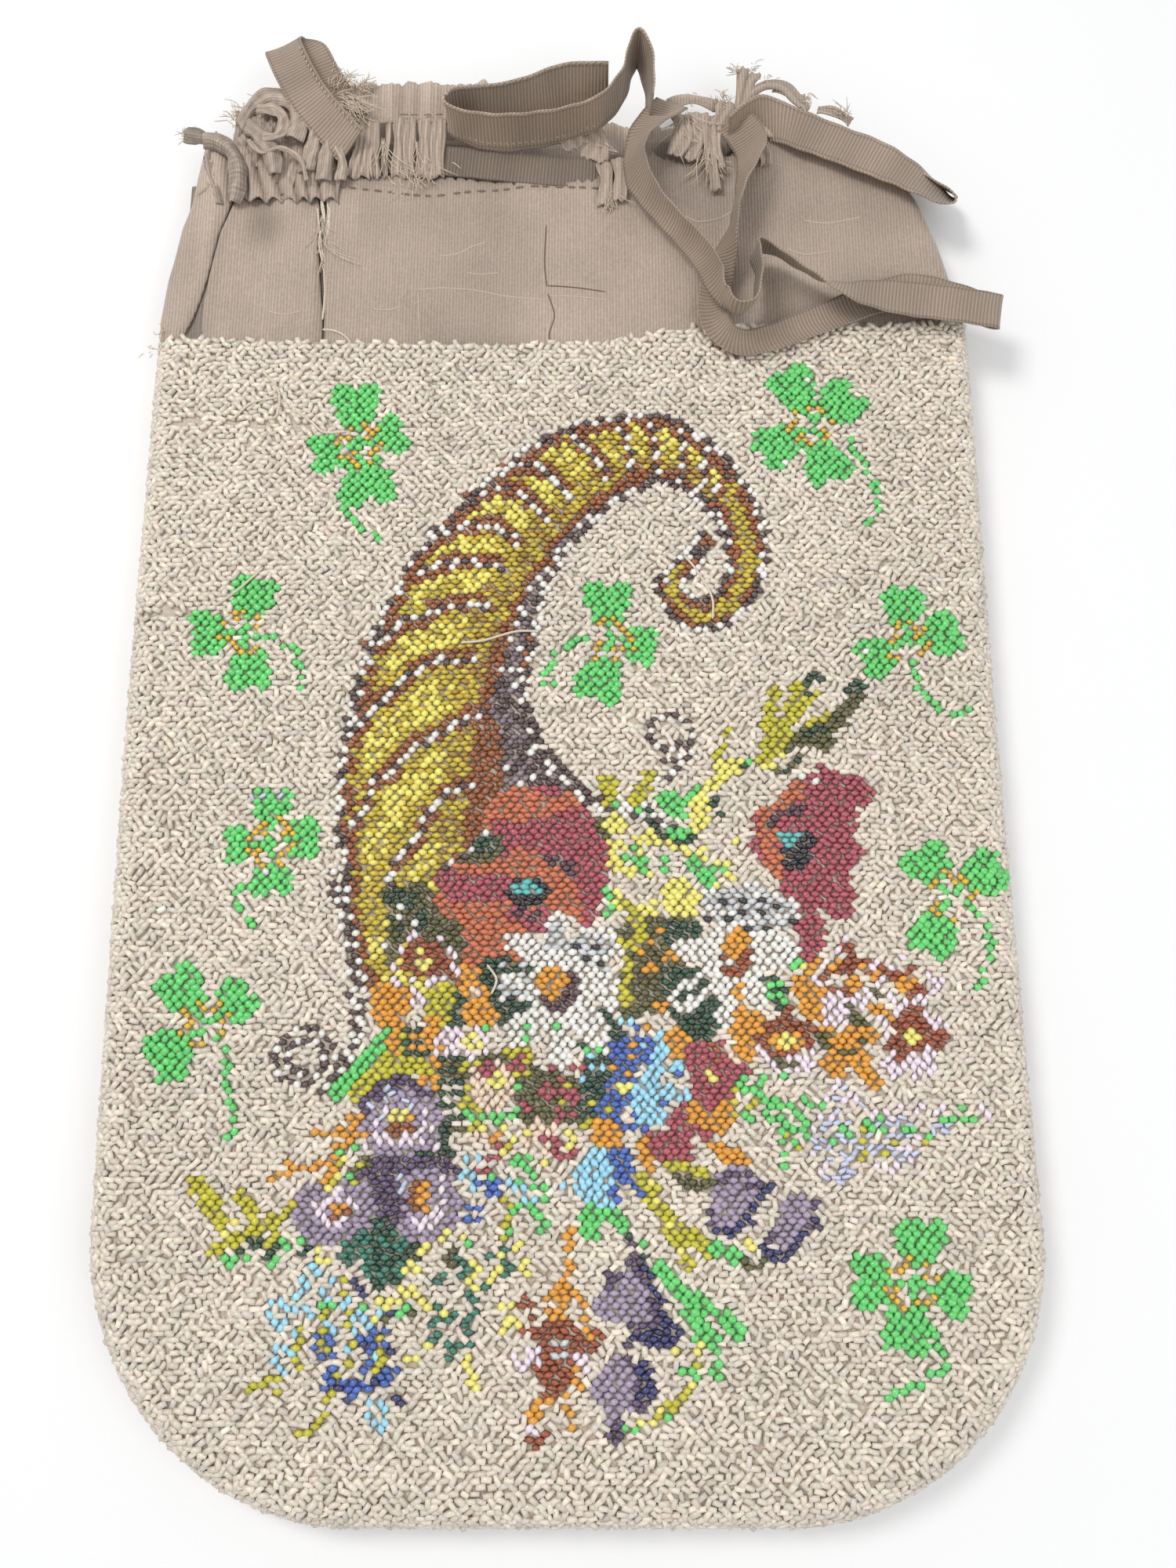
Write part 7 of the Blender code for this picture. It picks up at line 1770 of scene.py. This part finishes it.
# Where the silk and ribbon fray: x, y, height, spread, bearing, length, how many
FRAYS = [
    (-95.4, 127, 9.4, 1.4, 80, 1.8, 10), (-96, 123, 9.6, 1.2, 150, 1.4, 8),
    (-91.6, 180.4, 9.6, 1.4, 130, 3, 26), (-86.6, 173.4, 9.8, 1.4, -60, 3.4, 30),
    (-80, 184, 11.4, 2.4, 110, 4, 34), (-76.6, 187, 11.6, 2.0, 100, 3, 22),
    (-56, 193, 12, 3.2, 70, 3.4, 60), (-53.6, 188, 12.2, 3.0, -30, 5, 90), (-50, 192.6, 12, 1.8, 60, 3, 40),
    (-65.6, 190.6, 11, 1.4, 90, 3, 16), (-58.4, 158, 10.1, 0.4, -88, 8, 14),
    (-58.2, 152, 10.1, 0.4, -86, 7, 12), (-57.8, 146.6, 10.1, 0.3, -88, 4, 5),
    (-85.4, 168, 9.9, 1.2, -84, 5, 22), (-84, 173.6, 10.2, 1.4, 200, 3, 22),
    (34, 176, 10.8, 1.4, -86, 8, 44), (28, 184, 11, 2.6, -80, 7, 50), (41, 198, 10.6, 1.2, 96, 3, 14),
    (37, 189.4, 11, 2.2, 100, 2.6, 30), (45, 199, 10.6, 1.0, 60, 2.2, 12), (57, 190, 11, 1.6, 10, 2.4, 18),
    (66.4, 185, 11.4, 1.6, 80, 2.4, 34), (67.4, 186.4, 11.2, 0.3, 80, 5, 3),
    (10, 163, 10.6, 1.8, -96, 3, 26), (8, 177, 11, 1.4, -40, 3, 18), (-36, 170.6, 10.6, 5, -88, 2.6, 40),
    (-44.4, 178, 11, 0.8, -88, 8, 22), (-36.4, 178, 11, 0.5, -88, 9, 10), (30, 190, 10.6, 1.6, 120, 2, 18),
    (48, 195, 11, 2.0, 60, 1.6, 16),
]


def frays():
    """Frayed ends: at each place a tuft of fine threads that start near it, stray in bearing and length,
    and bend to one side by the square of their run."""
    lines = []
    for x, y, z, spread, bearing, length, count in FRAYS:
        for _ in range(count):
            start = np.array((x + chance.normal(0, spread * 0.5), y + chance.normal(0, spread * 0.5),
                              z + chance.normal(0, 0.4)))
            angle = math.radians(bearing + chance.normal(0, 24 if spread > 0.9 else 5))
            reach = length * chance.uniform(0.5, 1.15)
            step = np.array((math.cos(angle), math.sin(angle), 0)) * reach / 6
            bend = np.array((-step[1], step[0], 0)) * chance.normal(0, 0.5)
            way = np.arange(7)[:, None]
            line = start + step * way + bend * way**2 / 6
            line[:, 2] += 0.5 * np.sin(way[:, 0] * 0.5 + chance.uniform(0, 3)) - 0.1
            lines.append(line)
    return tubes("frayed_silk_threads", lines, 0.22, 3)


def tatters():
    """The torn ends that hang and stand at the right of the casing: narrow ribbed slips of silk."""
    slips = [
        ("8.4 173, 9.2 168, 8.6 161.4", 3.4), ("12 174, 12.4 168, 12.2 162.4", 3.0),
        ("27 186, 27.6 180, 25.4 174.6", 4.4), ("31.6 187, 31 181, 29.4 173.6", 4.6),
        ("34.4 186, 34 178, 35.4 165", 2.6), ("38.4 189.6, 37.6 186, 36 182", 4.4),
        ("41.4 184, 41.8 191, 42.8 199.6", 2.6), ("43.6 190, 44.4 195, 46 198", 2.4),
        ("41.4 187, 44 191.4, 48 194, 52.4 193.4, 55.4 190, 58 187.6", 2.8),
        ("50 193.6, 54 191.4, 57.6 191", 1.8), ("60.4 187.4, 64 186.4, 68.4 184", 2.4),
        ("36 184, 35.4 178, 36.6 171", 2.2), ("24 189.4, 30 190.4, 36 189", 2.8),
        ("4 182, 7 178, 6 173.6", 6.0), ("-2 181.6, 0 179.4, 2 176.6", 5.0),
        ("44.4 184.8, 47.6 182.4, 50 180.6", 3.4), ("43.8 181, 46.8 175, 47.4 172", 3.0),
        ("-58 184, -59.4 177, -58 170", 4.0), ("-68 181, -66 174, -68.4 167", 4.6),
        ("-62.6 190, -60 180, -61.4 170", 3.0),
    ]
    pieces = []
    for number, (text, width) in enumerate(slips):
        line = smoothed(places_of(text), 9)
        ahead = np.gradient(line, axis=0)
        ahead /= np.hypot(*ahead.T)[:, None]
        across = np.linspace(-0.5, 0.5, 9)
        share = np.linspace(0, 1, len(line))[:, None]
        broad = width * (1 + 0.16 * np.sin(9 * share + number))
        x = line[:, :1] - ahead[:, 1:] * across * broad
        y = line[:, 1:] + ahead[:, :1] * across * broad + ragged(x, 0.5) * (share > 0.94)
        pleat = 0.3 * np.sin(across * width * 2.6 + number + 2 * share)
        z = 10.2 + 0.7 * np.sin(math.pi * share) + pleat + 0.25 * (number % 3)
        # Painted shade: the tone is lighter on the pleats' crests and darker in their valleys.
        tone = 1.0 + 0.35 * pleat
        pieces.append(cloth(f"torn_slip_{number + 1}", np.stack([x, y, z], -1), tone, None, None, 0.3))
    return pieces


# Materials

FULL_TURN = 6.2832


def material(name):
    """A material, its node tree and its main shader."""
    paint_ = bpy.data.materials.new(name)
    paint_.use_nodes = True
    return paint_, paint_.node_tree, paint_.node_tree.nodes["Principled BSDF"]


def add(tree, kind, settings=None, **inputs):
    """A node with its settings, and its sockets set to values or joined to other sockets."""
    made = tree.nodes.new("ShaderNode" + kind)
    for key, value in (settings or {}).items():
        setattr(made, key, value)
    for key, value in inputs.items():
        socket = made.inputs[int(key[1:])] if key[1:].isdigit() else made.inputs[key.replace("_", " ")]
        if isinstance(value, bpy.types.NodeSocket):
            tree.links.new(value, socket)
        else:
            socket.default_value = value
    return made


def maths(tree, how, a, b=None, c=None):
    """The result of a sum whose terms are numbers or other sockets."""
    made = add(tree, "Math", {"operation": how})
    for socket, value in zip(made.inputs, (a, b, c)):
        if isinstance(value, bpy.types.NodeSocket):
            tree.links.new(value, socket)
        elif value is not None:
            socket.default_value = value
    return made.outputs[0]


def effect(name, ins, outs):
    """A node group with its named inputs and outputs, each with a kind and a starting value."""
    tree = bpy.data.node_groups.new(name, "ShaderNodeTree")
    for label, kind, value in ins:
        socket = tree.interface.new_socket(label, in_out="INPUT", socket_type="NodeSocket" + kind)
        if value is not None:
            socket.default_value = value
    for label, kind in outs:
        tree.interface.new_socket(label, in_out="OUTPUT", socket_type="NodeSocket" + kind)
    return tree, tree.nodes.new("NodeGroupInput").outputs, tree.nodes.new("NodeGroupOutput").inputs


def place(tree, group, **inputs):
    """Sets a node group in a tree, with its inputs, and gives its outputs by name."""
    made = tree.nodes.new("ShaderNodeGroup")
    made.node_tree = group
    for key, value in inputs.items():
        socket = made.inputs[key.replace("_", " ")]
        if isinstance(value, bpy.types.NodeSocket):
            tree.links.new(value, socket)
        else:
            socket.default_value = value
    return made.outputs


def ageing():
    """Patches of soil and fading in any colour, with a fine grain."""
    tree, ins, outs = effect(
        "ageing",
        [("Colour", "Color", None), ("Tone", "Float", 1.0), ("Soil", "Float", 0.2), ("Grain", "Float", 0.1)],
        [("Colour", "Color"), ("Grain", "Float")],
    )
    where = add(tree, "TexCoord").outputs["Object"]
    wide = add(tree, "TexNoise", None, Vector=where, Scale=38.0, Detail=3.0).outputs["Fac"]
    fine = add(tree, "TexNoise", None, Vector=where, Scale=1400.0, Detail=2.0).outputs["Fac"]
    soil = maths(tree, "MULTIPLY", maths(tree, "SUBTRACT", wide, 0.5), ins["Soil"])
    grain = maths(tree, "MULTIPLY", maths(tree, "SUBTRACT", fine, 0.5), ins["Grain"])
    level = maths(tree, "ADD", maths(tree, "ADD", soil, grain), 1.0)
    level = maths(tree, "MULTIPLY", level, ins["Tone"])
    scaled = add(tree, "VectorMath", {"operation": "SCALE"}, i0=ins["Colour"], Scale=level)
    tree.links.new(scaled.outputs[0], outs["Colour"])
    tree.links.new(fine, outs["Grain"])
    return tree


def ribs():
    """Even cords of the weave across one coordinate in millimetres, slightly uneven in width."""
    tree, ins, outs = effect(
        "ribs",
        [("Across", "Float", 0.0), ("Along", "Float", 0.0), ("Pitch", "Float", 0.8), ("Slack", "Float", 0.2)],
        [("Height", "Float")],
    )
    where = add(tree, "CombineXYZ", None, X=ins["Across"], Y=maths(tree, "MULTIPLY", ins["Along"], 0.12))
    stray = add(tree, "TexNoise", None, Vector=where.outputs[0], Scale=0.9, Detail=2.0).outputs["Fac"]
    shift = maths(tree, "MULTIPLY", maths(tree, "SUBTRACT", stray, 0.5), ins["Slack"])
    turn = maths(tree, "MULTIPLY",
                 maths(tree, "DIVIDE", maths(tree, "ADD", ins["Across"], shift), ins["Pitch"]), FULL_TURN)
    height = maths(tree, "MULTIPLY_ADD", maths(tree, "SINE", turn), 0.5, 0.5)
    tree.links.new(height, outs["Height"])
    return tree


AGEING = ageing()
RIBS = ribs()


def bead_glass():
    """Glass in each bead's colour with its painted light and shade, glossy, with soil that dulls some of it.
    """
    paint_, tree, shader = material("bead_glass")
    # The glass attribute holds each bead's colour with painted light and shade: lighter on top, darker
    # underneath and at the ends.
    own = add(tree, "Attribute", {"attribute_name": "glass"}).outputs["Color"]
    aged = place(tree, AGEING, Colour=own, Soil=0.22, Grain=0.16)
    tree.links.new(aged["Colour"], shader.inputs["Base Color"])
    rough = maths(tree, "MULTIPLY_ADD", aged["Grain"], 0.3, 0.08)
    tree.links.new(rough, shader.inputs["Roughness"])
    shader.inputs["Specular IOR Level"].default_value = 0.62
    shader.inputs["Coat Weight"].default_value = 0.25
    shader.inputs["Coat Roughness"].default_value = 0.1
    return paint_


def woven_silk(name, colour, pitch=0.72, charted=True):
    """Silk with fine cords up its length; its tone carries the painted shade of the folds. Cloth that has no
    chart of its own millimetres takes them from its place."""
    paint_, tree, shader = material(name)
    where = add(tree, "VectorMath", {"operation": "SCALE"}, i0=add(tree, "TexCoord").outputs["Object"],
                Scale=1000.0)
    if charted:
        where = add(tree, "UVMap", {"uv_map": "weave"})
    split = add(tree, "SeparateXYZ", None, Vector=where.outputs[0]).outputs
    rib = place(tree, RIBS, Across=split["X"], Along=split["Y"], Pitch=pitch, Slack=0.5)["Height"]
    tone = add(tree, "Attribute", {"attribute_name": "tone"}).outputs["Fac"] if charted else 0.8
    tone = maths(tree, "MULTIPLY", tone, maths(tree, "MULTIPLY_ADD", rib, 0.34, 0.82))
    tint = (*linear(colour), 1)
    aged = place(tree, AGEING, Colour=tint, Tone=tone, Soil=0.6, Grain=0.5)
    tree.links.new(aged["Colour"], shader.inputs["Base Color"])
    shader.inputs["Roughness"].default_value = 0.62
    shader.inputs["Sheen Weight"].default_value = 0.25
    shader.inputs["Sheen Roughness"].default_value = 0.4
    height = maths(tree, "MULTIPLY_ADD", aged["Grain"], 0.5, rib)
    bump = add(tree, "Bump", None, Height=height, Strength=0.5, Distance=0.00012)
    tree.links.new(bump.outputs[0], shader.inputs["Normal"])
    return paint_


def grosgrain():
    """Ribbon with cords across it, stitched pale selvedges and a rubbed middle."""
    paint_, tree, shader = material("grosgrain_ribbon")
    split = add(tree, "SeparateXYZ", None, Vector=add(tree, "UVMap", {"uv_map": "weave"}).outputs[0]).outputs
    rib = place(tree, RIBS, Across=split["Y"], Along=split["X"], Pitch=0.82, Slack=0.12)["Height"]
    side = maths(tree, "ABSOLUTE", split["X"])
    selvedge = maths(tree, "SMOOTH_MIN",
                     maths(tree, "MAXIMUM", maths(tree, "MULTIPLY", maths(tree, "SUBTRACT", side, 4.35), 5.0),
                           0.0), 1.0, 0.1)
    slant = maths(tree, "ADD", split["Y"], maths(tree, "MULTIPLY", split["X"], 0.8))
    stitch = place(tree, RIBS, Across=slant, Along=split["X"], Pitch=0.95, Slack=0.1)["Height"]
    seam = maths(tree, "LESS_THAN", maths(tree, "ABSOLUTE", maths(tree, "SUBTRACT", side, 4.1)), 0.14)
    tone = add(tree, "Attribute", {"attribute_name": "tone"}).outputs["Fac"]
    body = maths(tree, "MULTIPLY_ADD", rib, 0.5, 0.74)
    edge = maths(tree, "MULTIPLY_ADD", stitch, 0.6, 0.95)
    level = add(tree, "Mix", None, Factor=selvedge, A=body, B=edge).outputs[0]
    level = maths(tree, "MULTIPLY", level, maths(tree, "MULTIPLY_ADD", seam, -0.3, 1.0))
    aged = place(tree, AGEING, Colour=(*linear((156, 138, 121)), 1),
                 Tone=maths(tree, "MULTIPLY", tone, level), Soil=0.3, Grain=0.25)
    tree.links.new(aged["Colour"], shader.inputs["Base Color"])
    shader.inputs["Roughness"].default_value = 0.66
    shader.inputs["Sheen Weight"].default_value = 0.2
    bump = add(tree, "Bump", None, Height=maths(tree, "MULTIPLY_ADD", selvedge, stitch, rib), Strength=0.8,
               Distance=0.0002)
    tree.links.new(bump.outputs[0], shader.inputs["Normal"])
    return paint_


def knitted_silk():
    """Brown silk with the rows and columns of its stitches."""
    paint_, tree, shader = material("knitted_silk")
    where = add(tree, "TexCoord").outputs["Object"]
    scaled = add(tree, "VectorMath", {"operation": "SCALE"}, i0=where, Scale=1000.0)
    split = add(tree, "SeparateXYZ", None, Vector=scaled.outputs[0]).outputs
    across = place(tree, RIBS, Across=split["X"], Along=split["Y"], Pitch=1.02, Slack=0.3)["Height"]
    along = place(tree, RIBS, Across=split["Y"], Along=split["X"], Pitch=1.15, Slack=0.3)["Height"]
    loop = maths(tree, "MULTIPLY", across, along)
    aged = place(tree, AGEING, Colour=(*linear((214, 200, 182)), 1),
                 Tone=maths(tree, "MULTIPLY_ADD", loop, 0.3, 0.85), Soil=0.4, Grain=0.4)
    tree.links.new(aged["Colour"], shader.inputs["Base Color"])
    shader.inputs["Roughness"].default_value = 0.8
    bump = add(tree, "Bump", None, Height=loop, Strength=0.7, Distance=0.0003)
    tree.links.new(bump.outputs[0], shader.inputs["Normal"])
    return paint_


def thread(name, colour):
    """Twisted thread: slanting turns along its length."""
    paint_, tree, shader = material(name)
    where = add(tree, "TexCoord").outputs["Object"]
    turns = add(tree, "TexWave", {"bands_direction": "DIAGONAL"}, Vector=where, Scale=900.0, Distortion=1.5)
    tone = maths(tree, "MULTIPLY_ADD", turns.outputs["Fac"], 0.35, 0.82)
    aged = place(tree, AGEING, Colour=(*linear(colour), 1), Tone=tone, Soil=0.3, Grain=0.2)
    tree.links.new(aged["Colour"], shader.inputs["Base Color"])
    shader.inputs["Roughness"].default_value = 0.7
    return paint_


def table_top():
    """The pale table under the purse."""
    paint_, tree, shader = material("pale_table")
    aged = place(tree, AGEING, Colour=(0.975, 0.975, 0.972, 1), Soil=0.01, Grain=0.02)
    tree.links.new(aged["Colour"], shader.inputs["Base Color"])
    shader.inputs["Roughness"].default_value = 0.7
    return paint_


# The purse


def dress(thing, paint_, nodes):
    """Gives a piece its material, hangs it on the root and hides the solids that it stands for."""
    thing.data.materials.append(paint_)
    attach(thing, "root")
    if nodes:
        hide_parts(*nodes)


def joined(name, things):
    """Several things made into one piece."""
    with bpy.context.temp_override(active_object=things[0], selected_editable_objects=things):
        bpy.ops.object.join()
    things[0].name = name
    return things[0]


camera()
glass = bead_glass()
nodes = set(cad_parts)
for motif, thing in front_beads().items():
    own = [name for name in (motif, motif + "_eye") if name in nodes]
    if motif.startswith("ground_beads"):
        own = ["ground_beads_front"]
    dress(thing, glass, own)
for thing in back_beads().values():
    dress(thing, glass, ["ground_beads_back"])
dress(edge_row(), glass, ["edge_beads"])

knit = knitted_bag()
dress(knit, knitted_silk(), ["knit_bag"])
shell = knit.modifiers.new("wall", "SOLIDIFY")
shell.thickness = 0.5 * MM
shell.offset = -1

silk = woven_silk("ribbed_silk", (174, 157, 142))
for thing, own, flat, held in (
    (silk_front(), ["silk_collar"], (0.190, 0.062), "laid"),
    (silk_inside(), [], (0.042, 0.052), "laid"),
    (silk_back(), ["silk_collar"], (0.190, 0.070), "laid"),
    (heading("heading_front", 1.0, "-56 193.4, -52 194.6, -45 194, -40 195, -30 194.4, -20 194.6, -12 193.6",
             (-56, -11)), ["heading_frill_front"], (0.052, 0.010), "gathered"),
    (heading("heading_back", -1.0, "-70 190, -60 192, -40 193.4, 0 192, 25 190.4, 38 189.6, 58 188.6, 66 187",
             (-69, 66)), ["heading_frill_back"], (0.140, 0.010), "gathered"),
    (joined("casing_strips", casing_strips()), ["casing_strip_1", "casing_strip_2", "casing_strip_3"],
     (0.023, 0.020), "gathered"),
    (joined("bunched_silk", bunched_silk()), [], (0.041, 0.036), "gathered"),
    (joined("torn_slips", tatters()), [], (0.036, 0.022), "gathered"),
):
    dress(thing, silk, own)

lining = woven_silk("lining_silk", (177, 160, 145), 0.5, False)
for slot in bpy.data.objects["silk_lining"].material_slots:
    slot.material = lining

tape = grosgrain()
for name, stations in RIBBONS.items():
    curl = LONG_CURL if name == "long_loop" else NO_CURL
    thing, run = ribbon("ribbon_of_" + name, stations, LOOP_WIDTHS.get(name, RIBBON_WIDTH), 1.0, curl)
    dress(thing, tape, ["ribbon_" + name])
# The ribbon inside the casing is painted darker, at tone 0.6, for the shade it lies in.
thing, run = ribbon("ribbon_of_casing", CASING_RIBBON, CASING_WIDTH, 0.6)
dress(thing, tape, ["ribbon_in_casing"])

cream = thread("cream_thread", (222, 210, 190))
fine = thread("silk_thread", (216, 200, 180))
loose = [lifted(text, 7, over_beads) for text in THREADS]
dress(tubes("threads_over_beads", loose, 0.55), cream, [])
dress(tubes("threads_over_silk", [lifted(text, 7, over_silk) for text in SILK_THREADS], 0.5), cream, [])
dress(stitches(), thread("stitch_thread", (140, 121, 104)), [])
# The creases' paler thread is a painted highlight on the raised folds.
folds = [lifted(text, 7, over_silk) - (0, 0, 0.2) for text in CREASES]
dress(tubes("silk_creases", folds, 0.5), thread("crease_highlight_silk", (196, 179, 162)), [])
# The cracks' dark thread is painted shade in them.
folds = [lifted(text, 7, over_silk) - (0, 0, 0.16) for text in CRACKS]
dress(tubes("silk_cracks", folds, 0.32), thread("shaded_silk", (112, 95, 82)), [])
seams = ribbon_seam(RIBBONS["left_loop"], LOOP_WIDTHS["left_loop"], 3.7, 0.02, 0.48)
seams += ribbon_seam(RIBBONS["middle_loop"], RIBBON_WIDTH, -3.5, 0.28, 0.68)
seams += ribbon_seam(RIBBONS["middle_loop"], RIBBON_WIDTH, 4.3, 0.72, 0.99)
dress(tubes("ribbon_seams", seams, 0.5), thread("seam_thread", (186, 168, 148)), [])
dress(frays(), fine, [])


# The table and the light

# The table lies at the lowest beads of the back
TABLE_Z = -0.0007
TABLE_REACH = 3.0
table_corners = [(x * TABLE_REACH, y * TABLE_REACH, TABLE_Z) for x, y in ((-1, -1), (1, -1), (1, 1), (-1, 1))]
sheet_mesh = bpy.data.meshes.new("table")
sheet_mesh.from_pydata(table_corners, [], [(0, 1, 2, 3)])
table = bpy.data.objects.new("table", sheet_mesh)
bpy.context.scene.collection.objects.link(table)
table.data.materials.append(table_top())


def lamp(name, where, size, power, colour):
    """A round lamp that is turned to the purse."""
    data = bpy.data.lights.new(name, "AREA")
    data.shape = "DISK"
    data.size = size
    data.energy = power
    data.color = colour
    thing = bpy.data.objects.new(name, data)
    bpy.context.scene.collection.objects.link(thing)
    thing.location = where
    way = Vector((0, 0.02, 0)) - Vector(where)
    thing.rotation_euler = way.to_track_quat("-Z", "Y").to_euler()


lamp("window", (-0.42, 0.34, 0.78), 0.34, 3.4, (1.0, 0.985, 0.96))
lamp("side", (0.55, -0.30, 0.70), 0.6, 1.5, (0.96, 0.98, 1.0))

world = bpy.data.worlds.new("room")
bpy.context.scene.world = world
world.use_nodes = True
room = world.node_tree
room.nodes.clear()
path = add(room, "LightPath")
seen = maths(room, "ADD", path.outputs["Is Camera Ray"], path.outputs["Is Glossy Ray"])
seen = maths(room, "ADD", seen, path.outputs["Is Transmission Ray"])
seen = maths(room, "MINIMUM", seen, 1.0)
soft = add(room, "Background", None, Color=(0.97, 0.98, 1.0, 1.0), Strength=0.64)
bright = add(room, "Background", None, Color=(1.0, 1.0, 1.0, 1.0), Strength=1.0)
mixed = add(room, "MixShader", None, i0=seen, i1=soft.outputs[0], i2=bright.outputs[0])
add(room, "OutputWorld", None, Surface=mixed.outputs[0])

bpy.context.scene.view_settings.view_transform = "Standard"
